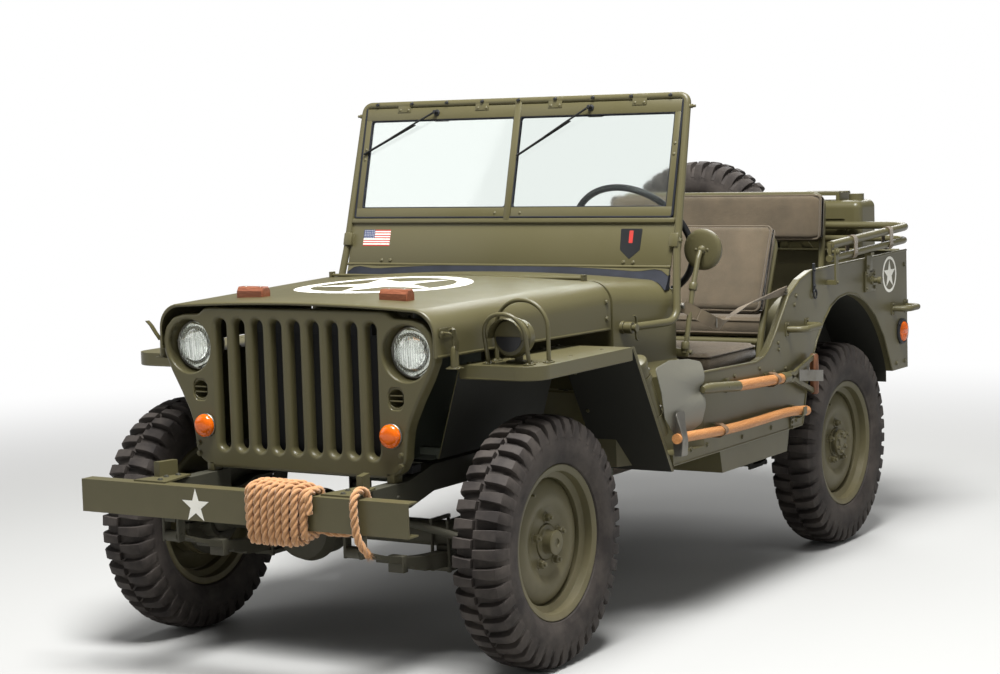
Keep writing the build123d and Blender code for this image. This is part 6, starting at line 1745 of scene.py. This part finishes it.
class CAR_OT_tools(Step, bpy.types.Operator):
    """Shovel with a dished blade, the axe, and the loops and hook that hold them"""
    bl_idname = "car.tools"
    bl_label = "Tools"

    def make(self, car):
        self.shovel()
        self.axe()
        self.loops()

    def shovel(self):
        blade, wood = new_mesh(), new_mesh()
        outline = [(0.52, 0.792), (0.62, 0.806), (0.74, 0.797), (0.812, 0.782), (0.822, 0.69),
            (0.822, 0.59), (0.74, 0.57), (0.64, 0.577), (0.56, 0.64)]
        edge = [Vector((s, z)) for s, z in round_loop(outline, 0.016, 4)]
        focus = Vector((0.812, 0.7))
        rings = []
        for share in (1.0, 0.98, 0.95, 0.9, 0.84, 0.77, 0.7, 0.62, 0.54, 0.46, 0.38, 0.3, 0.22,
                0.14, 0.07):
            ring = []
            for p in edge:
                at = focus + (p - focus) * share
                dish = 0.0155 - (at.y - 0.692) ** 2 / (2 * DISH_RADIUS)
                fade = min(max((at.x - 0.6) / 0.2, 0), 1)
                valley = 0.01 * fade * exp(-((at.y - CREST) / 0.015) ** 2)
                lobe = 0.007 * fade * exp(-((abs(at.y - CREST) - 0.046) / 0.032) ** 2)
                ring.append(pt(TUB_HALF + 0.004 + dish - valley + lobe, at.x, at.y))
            rings.append(ring)
        add_rings(blade, rings)
        blade.faces.new(blade.verts[-len(edge):])
        thicken(blade, SKIN)
        out = TUB_HALF + 0.022
        neck = [(0.8, 0.6965, 0.0105), (0.826, 0.696, 0.015), (0.86, 0.6945, 0.0165),
            (0.93, 0.6892, 0.016), (1.05, 0.678, 0.0172)]
        socket = new_mesh()
        add_tube(socket, [pt(out, s, z) for s, z, r in neck], [r for s, z, r in neck], 20)
        for s in (0.96, 1.02):
            add_screw(socket, (out + 0.0155, st(s), 0.6865 - 0.093 * (s - 0.96)), (1, 0, 0), 0.004,
                0.002)
        # The blade's finish is paler paint with a painted highlight of the sky above it.
        make_piece(blade, "shovel_blade", "blade", ["shovel"])
        make_piece(socket, "shovel_socket", "olive")
        shaft = [(1.04, 0.679, 0.0165), (1.15, 0.6745, 0.0172), (1.28, 0.669, 0.0172),
            (1.4, 0.664, 0.0165)]
        add_tube(wood, [pt(out, s, z) for s, z, r in shaft], [r for s, z, r in shaft], 20)
        make_piece(wood, "shovel_handle", "handle")
        fork, grip, clip = new_mesh(), new_mesh(), new_mesh()
        add_tube(grip, [(out, st(1.644), z) for z in (0.582, 0.588, 0.62, 0.651, 0.68, 0.713,
            0.719)], [0.01, 0.0142, 0.0152, 0.0158, 0.0152, 0.0142, 0.01], 20)
        make_piece(grip, "shovel_grip", "grip")
        run = [(out + 0.006, 1.506, 0.661), (out + 0.006, 1.57, 0.654),
            (out + 0.0182, 1.612, 0.649), (out + 0.0182, 1.674, 0.642), (out + 0.008, 1.69, 0.64)]
        add_strap(clip, rounded([pt(x, at, z) for x, at, z in run], 0.01), 0.038, 0.003, UP)
        make_piece(clip, "shovel_clip", "steel", sharp=40)
        add_turned(fork, [(0, 0), (0, 0.019), (0.03, 0.0192), (0.055, 0.0165), (0.06, 0)],
            frame_at((out, st(1.375), 0.6655), (0, 1, -0.04)), 24)
        for mid, end in ((0.668, 0.712), (0.654, 0.59)):
            arm = rounded([(out, st(1.405), 0.664), (out, st(1.47), mid), (out, st(1.648), end)],
                0.05, 8)
            wide = [0.03 - 0.012 * k / (len(arm) - 1) for k in range(len(arm))]
            rings = []
            for k, point in enumerate(arm):
                up = Vector((1, 0, 0)).cross(heading(arm, k)) * wide[k] / 2
                flat = Vector((0.0045, 0, 0))
                rings.append([point - up - flat, point + up - flat, point + up * 0.8 + flat,
                    point - up * 0.8 + flat])
            add_rings(fork, rings, capped=True)
        for z in (0.714, 0.588):
            add_turned(fork, [(0, 0), (0, 0.0075), (0.004, 0.0065), (0.006, 0)],
                frame_at((out + 0.0042, st(1.644), z), (1, 0, 0)), 16)
        make_piece(fork, "shovel_fork", "olive")

    def axe(self):
        head, wood = new_mesh(), new_mesh()
        out = TUB_HALF + 0.03
        rings = []
        for z, s0, s1, half in ((0.5155, 0.616, 0.65, 0.0125), (0.5175, 0.614, 0.652, 0.0145),
                (0.54, 0.6145, 0.6515, 0.017), (0.56, 0.6155, 0.6505, 0.0185),
                (0.58, 0.6165, 0.6495, 0.0165), (0.6, 0.6155, 0.651, 0.0115),
                (0.62, 0.6115, 0.656, 0.0065), (0.64, 0.6065, 0.663, 0.0024),
                (0.6485, 0.612, 0.658, 0.0006)):
            edge = min(0.003, half * 0.6)
            ring = [(s0 + edge, -half), (s1 - edge, -half), (s1, -half + edge), (s1, half - edge),
                (s1 - edge, half), (s0 + edge, half), (s0, half - edge), (s0, -half + edge)]
            rings.append([pt(out + x, s, z) for s, x in ring])
        add_rings(head, rings, capped=True)
        make_piece(head, "axe_head", "steel", ["axe"], sharp=30)
        shaft = [(0.606, 0.57), (0.66, 0.569), (0.8, 0.561), (0.95, 0.553), (1.15, 0.55),
            (1.35, 0.552), (1.47, 0.547), (1.53, 0.539), (1.56, 0.536)]
        line = [pt(out, s, z) for s, z in shaft]
        add_tube(wood, route_points(line), 0.0155, 20)
        knob = [pt(out, s, z) for s, z in ((1.5, 0.543), (1.535, 0.5385), (1.556, 0.5365),
            (1.5605, 0.536))]
        add_tube(wood, knob, [0.0158, 0.0172, 0.0165, 0.01], 20)
        make_piece(wood, "axe_handle", "handle")

    def loops(self):
        leather, metal = new_mesh(), new_mesh()
        face = TUB_HALF
        # Columns: station, middle height, middle of the handle out from the side, clear radius
        for at, z, out, r in ((1.325, 0.667, 0.022, 0.0185), (0.912, 0.5555, 0.03, 0.0172)):
            bend = [(0.001, r + 0.003), (out, r + 0.002), (out + r + 0.002, r * 0.4),
                (out + r + 0.002, -r * 0.4), (out, -r - 0.002), (0.001, -r - 0.003)]
            line = rounded([pt(face + reach, at, z + rise) for reach, rise in bend], 0.014, 6)
            add_strap(leather, line, 0.019, 0.0028, (0, 1, 0.15))
        hook = [(0.002, -0.062), (0.003, -0.034), (0.012, -0.0225), (0.036, -0.0225),
            (0.0515, -0.012), (0.0525, 0.014)]
        line = rounded([pt(face + reach, 1.497, 0.544 + rise) for reach, rise in hook], 0.012, 5)
        add_strap(metal, line, 0.024, 0.0035, REAR)
        for rise in (-0.058, -0.042):
            add_bolt(metal, (face + 0.004, st(1.497), 0.544 + rise), (1, 0, 0), 0.009, 0.004)
        make_piece(leather, "tool_loops", "leather", sharp=40)
        make_piece(metal, "axe_hook", "olive", sharp=40)


class CAR_OT_stowage(Step, bpy.types.Operator):
    """Mirror, bands, straps, lashings and brackets of what the car carries"""
    bl_idname = "car.stowage"
    bl_label = "Stowage"

    def make(self, car):
        self.mirror()
        self.canister()
        self.can_strap()
        self.safety_straps()
        self.bow_lashings()
        self.bow_brackets()

    def mirror(self):
        body, glass = new_mesh(), new_mesh()
        foot_z = 0.803
        at = pt(0.66, 0.984, 1.115)
        back = frame_at(at, AHEAD)
        add_turned(body, [(-0.0075, 0.0605), (-0.0082, 0.0638), (-0.006, 0.065), (0.003, 0.0648),
            (0.0058, 0.0615), (0.008, 0.0515), (0.009, 0.033), (0.0092, 0)], back, 64)
        add_turned(body, [(0.009, 0.013), (0.013, 0.013), (0.015, 0.01), (0.019, 0.0095),
            (0.023, 0.007), (0.0245, 0)], back, 28)
        for dx in (-0.02, 0.02):
            add_screw(body, back @ Vector((0.009, dx, 0)), AHEAD, 0.0045, 0.0025)
        stem = rounded([(0.654, st(0.853), 0.802), (0.66, st(0.862), 0.85), (0.66, st(0.905), 0.99),
            (0.66, st(0.95), 1.09), (0.66, st(0.968), 1.113)], 0.04, 6)
        add_tube(body, stem, 0.0082, 16)
        collar = [(-0.012, 0), (-0.012, 0.0118), (-0.009, 0.0132), (0.009, 0.0132), (0.012, 0.0118),
            (0.012, 0)]
        add_turned(body, collar, frame_at((0.66, st(0.911), 1.004), (0, 0.4, 1)), 20)
        add_turned(body, collar, frame_at((0.656, st(0.857), 0.824), (0, 0.2, 1)), 20)
        add_box(body, (0.622, st(0.8508), 0.79), (0.668, st(0.86), 0.816), 0.002)
        for x in (0.631, 0.646):
            add_bolt(body, (x, st(0.86), foot_z), REAR, 0.009, 0.004)
        add_tube(body, [(0.612, st(0.864), foot_z), (0.676, st(0.864), foot_z)], 0.0045, 12)
        for x in (0.616, 0.672):
            add_turned(body, [(-0.003, 0), (-0.003, 0.008), (0.003, 0.008), (0.003, 0)],
                frame_at((x, st(0.864), foot_z), (1, 0, 0)), 6)
        make_piece(body, "mirror_body", "olive", ["mirror"])
        add_turned(glass, [(-0.0074, 0), (-0.0074, 0.06), (-0.007, 0.0605)], back, 64)
        make_piece(glass, "mirror_glass", "silver")

    def canister(self):
        painted, metal = new_mesh(), new_mesh()
        top, foot = pt(0.69, 0.467, 0.815), pt(0.69, 0.601, 0.585)
        ahead = (foot - top).normalized()
        add_turned(painted, [(-0.012, 0.0312), (-0.012, 0.0345), (0, 0.035), (0.004, 0.0335),
            (0.009, 0.025), (0.012, 0.013), (0.0125, 0)], frame_at(top, -ahead), 40)
        for down in (0.058, 0.198):
            band = frame_at(top + ahead * down, -ahead)
            add_turned(painted, [(-0.008, 0.0312), (-0.008, 0.0345), (0.008, 0.0345),
                (0.008, 0.0312)], band, 40)
            for turn in (0, 0.5):
                lug = band @ Matrix.Rotation(turn, 4, "X")
                add_box(painted, (-0.007, -0.003, 0.033), (0.007, 0.003, 0.046), 0.001, lug)
            tip = band @ Matrix.Rotation(0.25, 4, "X")
            add_tube(metal, [tip @ Vector((0, y, 0.0405)) for y in (-0.018, 0.02)], 0.003, 10)
            add_bolt(metal, tip @ Vector((0, 0.018, 0.0405)), tip.to_3x3() @ Vector(REAR), 0.009,
                0.004)
            arm = band @ Vector((0, 0, -0.0315))
            add_strap(painted, [arm, Vector((0.56, arm.y + 0.03, arm.z - 0.02))], 0.018, 0.003,
                ahead)
        make_piece(painted, "canister_bands", "olive")
        make_piece(metal, "canister_band_screws", "steel")

    def can_strap(self):
        webbing, metal = new_mesh(), new_mesh()
        x, s, z = 0.345, 2.675, 0.965
        half_x, half_y = 0.1745, 0.0845
        loop = [pt(x + u, s + v, z) for u, v in plate_outline(half_x, half_y, 0.03, 6)]
        add_strap(webbing, loop + loop[:1], 0.03, 0.003, UP)
        add_box(metal, (x - 0.026, st(s + half_y), z - 0.021),
            (x + 0.026, st(s + half_y + 0.004), z + 0.021), 0.0015)
        make_piece(webbing, "can_strap", "webbing", sharp=40)
        make_piece(metal, "can_strap_buckle", "steel", sharp=40)

    def safety_straps(self):
        """Webbing across each entry: it sags, folds at its buckle and turns on edge behind."""
        metal = new_mesh()
        # Columns: place across, station, height, how far the width leans over from upright
        run = ((0.65, 0.858, 0.948, 0.1), (0.668, 0.885, 0.93, 0.1), (0.694, 0.925, 0.905, 0.2),
            (0.706, 0.965, 0.886, 0.3), (0.709, 0.992, 0.879, 0.5), (0.71, 1.022, 0.884, 0.9),
            (0.709, 1.065, 0.897, 1.2), (0.708, 1.12, 0.91, 1.3), (0.707, 1.187, 0.925, 1.25),
            (0.706, 1.3, 0.934, 1.1), (0.705, 1.4, 0.94, 0.9), (0.703, 1.5, 0.944, 0.4))
        for name, side in SIDES:
            webbing = new_mesh()
            line = route_points([pt(side * x, at, z) for x, at, z, lean in run])
            stations = []
            for k, point in enumerate(line):
                share = k / (len(line) - 1) * (len(run) - 1)
                low = min(int(share), len(run) - 2)
                lean = run[low][3] + (run[low + 1][3] - run[low][3]) * (share - low)
                stations.append((point, Vector((side * sin(lean), 0, cos(lean)))))
            add_webbing(webbing, stations, 0.036, 0.0024)
            flap = [(point + Vector((side * 0.0045, 0, -0.002)), across)
                for point, across in stations if 0.9 < point.y - AXLE_Y < 1.03]
            add_webbing(webbing, flap, 0.038, 0.0024)
            strap = make_piece(webbing, f"safety_strap_{name}", "webbing", sharp=40)
            for x, at, z in ((0.65, 0.856, 0.948), (0.703, 1.503, 0.944)):
                add_turned(metal, [(-0.004, 0), (-0.004, 0.009), (0.005, 0.009), (0.006, 0)],
                    frame_at((side * x, st(at), z), (side, 0.2, 0)), 16)
            add_box(metal, (side * 0.713 - 0.0015, st(0.96), 0.872),
                (side * 0.713 + 0.0015, st(0.966), 0.906), 0.0006)
        make_piece(metal, "safety_strap_hooks", "steel", sharp=40)

    def bow_lashings(self):
        webbing, metal = new_mesh(), new_mesh()
        for side in (1, -1):
            x = side * 0.732
            for s in (2.0, 2.33):
                low = 1.03 + 0.024 * (s - 1.8) / 0.762
                high = 1.077 + 0.026 * (s - 1.815) / 0.755
                loop = []
                for k in range(24):
                    turn = tau * k / 24
                    z = high if sin(turn) > 0 else low
                    loop.append(pt(x + 0.0165 * cos(turn), s, z + 0.0165 * sin(turn)))
                add_strap(webbing, loop + loop[:1], 0.03, 0.0028, REAR)
            add_turned(metal, [(0, 0), (0, 0.012), (0.004, 0.012), (0.006, 0.008), (0.01, 0.008),
                (0.012, 0)], frame_at((side * (TUB_HALF + 0.0362), st(1.82), 1.053), (side, 0, 0)),
                20)
            for s, z in ((1.82, 0.948), (2.165, 0.975)):
                add_bolt(metal, (side * (TUB_HALF + (0.036 if s < 2 else 0.008)), st(s), z),
                    (side, 0, 0), 0.011, 0.005)
        make_piece(webbing, "bow_lashings", "webbing", body="top_bows", sharp=40)
        make_piece(metal, "bow_pivot_bolts", "olive")

    def bow_brackets(self):
        """Rests of the folded bows, each with its knob, and the black tie bars ahead of them."""
        painted, dark = new_mesh(), new_mesh()
        for side in (1, -1):
            face = side * TUB_HALF
            low, high = sorted((face, face + side * 0.007))
            add_box(painted, (low, st(2.14), 0.886), (high, st(2.232), 0.962), 0.002)
            add_box(painted, (low, st(2.166), 0.955), (high, st(2.206), 1.03), 0.002)
            knob = frame_at((face + side * 0.007, st(2.196), 0.926), (side, 0, 0))
            add_turned(painted, [(0, 0.016), (0.006, 0.016), (0.01, 0.01), (0.024, 0.009),
                (0.026, 0.013), (0.038, 0.013), (0.04, 0)], knob, 24)
            for at, z in ((2.152, 0.9), (2.152, 0.948), (2.222, 0.9), (2.222, 0.948)):
                add_bolt(painted, (face + side * 0.007, st(at), z), (side, 0, 0), 0.011, 0.005)
            low, high = sorted((face, face + side * 0.005))
            add_box(dark, (low, st(1.688), 0.922), (high, st(1.706), 1.022), 0.0015)
            ring = [pt(face + side * 0.007, 1.697 + 0.012 * sin(turn), 0.918 + 0.016 * cos(turn))
                for turn in (tau * k / 16 for k in range(16))]
            add_tube(dark, ring, 0.0028, 8, closed=True)
            for z in (0.945, 1.0):
                add_bolt(dark, (face + side * 0.005, st(1.697), z), (side, 0, 0), 0.01, 0.004)
        make_piece(painted, "bow_rests", "olive")
        make_piece(dark, "tie_bars", "black")


class CAR_OT_cockpit(Step, bpy.types.Operator):
    """Dials, switches, pedals and knobs of the driver's place"""
    bl_idname = "car.cockpit"
    bl_label = "Cockpit"

    def make(self, car):
        rims, faces, hands, pedals, knobs = (new_mesh() for _ in range(5))
        back = st(0.8633)
        for x, r in ((0, 0.042), (-0.084, 0.026), (0.084, 0.026)):
            place = frame_at((x, back, 0.965), REAR)
            add_turned(rims, [(-0.01, r + 0.0002), (0.0015, r + 0.0002), (0.003, r - 0.001),
                (0.003, r - 0.003), (0.0008, r - 0.004)], place, 40)
            add_turned(faces, [(0.0006, 0), (0.0006, r - 0.003)], place, 40)
            for k in range(11):
                turn = radians(-130 + 26 * k)
                near, far = r * 0.68, r * 0.84
                add_strap(hands, [place @ Vector((0.001, h * sin(turn), h * cos(turn)))
                    for h in (near, far)], 0.0012, 0.0004, place.to_3x3()
                    @ Vector((0, cos(turn), -sin(turn))))
            add_strap(hands, [place @ Vector((0.0018, 0, 0)),
                place @ Vector((0.0018, -r * 0.45, r * 0.5))], 0.0018, 0.0005,
                place.to_3x3() @ Vector((0, 0.74, 0.67)))
        for x, z in ((0.15, 0.955), (0.18, 0.955), (0.15, 0.915), (-0.15, 0.955), (-0.18, 0.955),
                (0.25, 0.93)):
            add_turned(knobs, [(0, 0.004), (0.012, 0.004), (0.014, 0.009), (0.022, 0.01),
                (0.026, 0.007), (0.0265, 0)], frame_at((x, st(0.8543), z), REAR), 20)
        for x in (0.23, 0.33):
            pad = Matrix.Translation((x, st(0.868), 0.69)) @ Matrix.Rotation(radians(-35), 4, "X")
            add_box(pedals, (-0.034, -0.004, -0.026), (0.034, 0.004, 0.026), 0.003, pad)
            for k in range(4):
                add_box(pedals, (-0.03, 0.0035, -0.021 + 0.012 * k),
                    (0.03, 0.0058, -0.016 + 0.012 * k), place=pad)
            add_tube(pedals, rounded([pad @ Vector((0, -0.004, 0)), (x, st(0.835), 0.66),
                (x, st(0.79), 0.625)], 0.03), 0.007, 12)
        slab = Matrix.Translation((0.43, st(0.835), 0.632)) @ Matrix.Rotation(radians(-52), 4, "X")
        add_box(pedals, (-0.022, -0.004, -0.052), (0.022, 0.004, 0.052), 0.003, slab)
        for name, bm, finish in (("dial_rims", rims, "black"), ("dial_faces", faces, "dial"),
                ("dial_marks", hands, "white"), ("pedals", pedals, "olive_dark"),
                ("dash_knobs", knobs, "bakelite")):
            make_piece(bm, name, finish)


# Frame, springs and engine fittings


class CAR_OT_chassis_fittings(Step, bpy.types.Operator):
    """Bolts and clips of the bumper, frame, springs and axles, and the fittings of the engine"""
    bl_idname = "car.chassis_fittings"
    bl_label = "Chassis fittings"

    def make(self, car):
        bm = new_mesh()
        for side in (1, -1):
            x = side * RAIL_X
            for dx, s in ((0.01, -0.52), (-0.01, -0.47), (0, -0.43)):
                add_bolt(bm, (x + dx, st(s), 0.556), UP, 0.012, 0.005)
            for s, z in ((-0.44, 0.508), (-0.36, 0.508), (-0.28, 0.508), (0.46, 0.505),
                    (0.56, 0.49), (0.9, 0.493), (1.1, 0.493), (1.3, 0.493), (1.5, 0.493),
                    (1.9, 0.556), (2.1, 0.558), (2.3, 0.558), (2.46, 0.558)):
                add_screw(bm, (side * 0.34, st(s), z), (side, 0, 0), 0.007, 0.004)
            for station in (0, WHEELBASE):
                for dx in (-0.028, 0.028):
                    for ds in (-0.044, 0.044):
                        at = (x + dx, st(station + ds), 0.2625)
                        add_bolt(bm, at, (0, 0, -1), 0.014, 0.008)
                for ds in (-0.26, 0.26):
                    low_z = 0.2695 + 0.078 * (ds / 0.452) ** 2
                    add_box(bm, (x - 0.026, st(station + ds) - 0.012, low_z - 0.002),
                        (x + 0.026, st(station + ds) + 0.012, low_z + 0.046), 0.002)
        for station, cover in ((0, -1), (WHEELBASE, 1)):
            for u, v in circle(10, 0.106 * 0.93):
                add_bolt(bm, (-0.15 + u, st(station + cover * 0.046), AXLE_Z + v), (0, cover, 0),
                    0.012, 0.006)
            add_turned(bm, [(0, 0), (0, 0.012), (0.008, 0.012), (0.009, 0)],
                frame_at((-0.15, st(station + cover * 0.112), AXLE_Z), (0, cover, 0)), 6)
        make_piece(bm, "chassis_fittings", "olive_dark")
        self.pintle()
        self.engine()

    def pintle(self):
        bm = new_mesh()
        y = st(2.552)
        for x in (-0.045, 0.045):
            for z in (0.515, 0.558):
                add_bolt(bm, (x, y, z), REAR, 0.014, 0.008)
        add_turned(bm, [(0, 0.022), (0, 0.03), (0.012, 0.03), (0.014, 0.026)],
            frame_at((0, y, 0.545), REAR), 32)
        make_piece(bm, "tow_hook_bolts", "olive_dark")

    def engine(self):
        bm, hoses = new_mesh(), new_mesh()
        for k in range(4):
            for x in (-0.095, 0, 0.095):
                add_bolt(bm, (x, st(0.0 + 0.11 * k), 0.905), UP, 0.015, 0.008)
            add_turned(bm, [(0, 0), (0, 0.01), (0.018, 0.009), (0.03, 0.006), (0.042, 0.005),
                (0.043, 0)], frame_at((-0.05, st(0.045 + 0.11 * k), 0.905), UP, REAR), 16)
        add_turned(bm, [(0, 0), (0, 0.07), (0.012, 0.078), (0.085, 0.078), (0.1, 0.06), (0.104, 0)],
            frame_at((0.09, st(0.33), 0.905), UP, REAR), 40)
        add_turned(bm, [(0, 0.06), (0.012, 0.072), (0.016, 0.06), (0.02, 0.072), (0.034, 0.072),
            (0.036, 0)], frame_at((0, st(-0.06), 0.62), AHEAD), 40)
        blades = frame_at((0, st(-0.1), 0.72), AHEAD)
        add_turned(bm, [(-0.04, 0.03), (0.01, 0.032), (0.014, 0.026), (0.015, 0)], blades, 32)
        for k in range(4):
            turn = blades @ Matrix.Rotation(pi / 2 * k + 0.4, 4, "X")
            blade = turn @ Matrix.Translation((0.002, 0, 0.1)) @ Matrix.Rotation(0.5, 4, "Z")
            add_box(bm, (-0.0015, -0.034, -0.075), (0.0015, 0.034, 0.085), 0.001, blade)
        for start, end in (((0.06, st(-0.15), 0.96), (0.04, st(-0.055), 0.9)),
                ((-0.12, st(-0.15), 0.6), (-0.11, st(-0.055), 0.64))):
            mid = (Vector(start) + Vector(end)) / 2 + Vector((0, 0, 0.015))
            add_tube(hoses, rounded([start, mid, end], 0.03, 6), 0.021, 20)
        make_piece(bm, "engine_fittings", "iron")
        make_piece(hoses, "engine_hoses", "rubber", sharp=40)


# Solids that keep their shape


NODE_FINISH = (
    ("olive", "body_sides cowl dashboard floor_pan front_bumper front_fenders rear_bumperettes"),
    ("olive", "rear_panel wheelhouses driver_seat_frame passenger_seat_frame rear_seat_frame"),
    ("olive", "blackout_lamp jerrycan top_bows fuel_tank canister steering_column"),
    ("olive_dark", "front_axle rear_axle frame_rails frame_members knuckle_left knuckle_right"),
    ("olive_dark", "bell_crank tie_rods drive_shafts leaf_springs shock_absorbers"),
    ("black", "radiator steering_wheel"),
    ("iron", "powertrain"),
    ("dull_steel", "exhaust"),
    ("glass", "windshield_glass"),
)


class CAR_OT_body_paint(Step, bpy.types.Operator):
    """Finishes of the panels, frame and axles that keep their shape"""
    bl_idname = "car.body_paint"
    bl_label = "Body paint"

    def make(self, car):
        for finish, names in NODE_FINISH:
            for name in names.split():
                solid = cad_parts[name]
                for slot in solid.material_slots:
                    slot.material = FINISH[finish]
        # Faces that look at a wheel get the near-black coat, which paints their shade as well as a
        # real underbody coat.
        self.undercoat_and_shade("front_fenders", 0)
        self.undercoat_and_shade("wheelhouses", WHEELBASE)

    def undercoat_and_shade(self, name, station):
        """Dark coat on the faces that look at a wheel: underbody coat and painted arch shade."""
        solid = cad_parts[name]
        mesh = solid.data
        mesh.materials.append(FINISH["undercoat_and_shade"])
        for face in mesh.polygons:
            at = solid.matrix_world @ face.center
            wheel = pt(copysign(TRACK / 2, at.x), station, AXLE_Z)
            if (solid.matrix_world.to_3x3() @ face.normal).dot(wheel - at) > 0:
                face.material_index = len(mesh.materials) - 1


# Sidebar, registration and the run


PIECES = (CAR_OT_stage, CAR_OT_rope, CAR_OT_tyres, CAR_OT_wheels, CAR_OT_grille, CAR_OT_hood,
          CAR_OT_windshield, CAR_OT_seats, CAR_OT_fender_fittings, CAR_OT_tub_fittings,
          CAR_OT_tools, CAR_OT_stowage, CAR_OT_cockpit, CAR_OT_chassis_fittings, CAR_OT_body_paint)


class CAR_PT_dressing(bpy.types.Panel):
    """Sizes, colours and the pieces of the car"""
    bl_label = "Field Car"
    bl_idname = "CAR_PT_dressing"
    bl_space_type = "VIEW_3D"
    bl_region_type = "UI"
    bl_category = "Field Car"

    def draw(self, context):
        car = context.scene.field_car
        for group in (car.paint, car.tyre, car.rope, car.stage):
            box = self.layout.box()
            for name in group.__annotations__:
                box.prop(group, name)
        for piece in PIECES:
            self.layout.operator(piece.bl_idname)


CLASSES = (PaintSettings, TyreSettings, RopeSettings, StageSettings, CarSettings, *PIECES,
    CAR_PT_dressing)


def register():
    for cls in CLASSES:
        bpy.utils.register_class(cls)
    bpy.types.Scene.field_car = PointerProperty(type=CarSettings)


def unregister():
    del bpy.types.Scene.field_car
    for cls in reversed(CLASSES):
        bpy.utils.unregister_class(cls)


def main():
    register()
    FINISH.update(make_finishes(settings().paint))
    for piece in PIECES:
        group, name = piece.bl_idname.split(".")
        getattr(getattr(bpy.ops, group), name)()


if __name__ == "__main__":
    main()
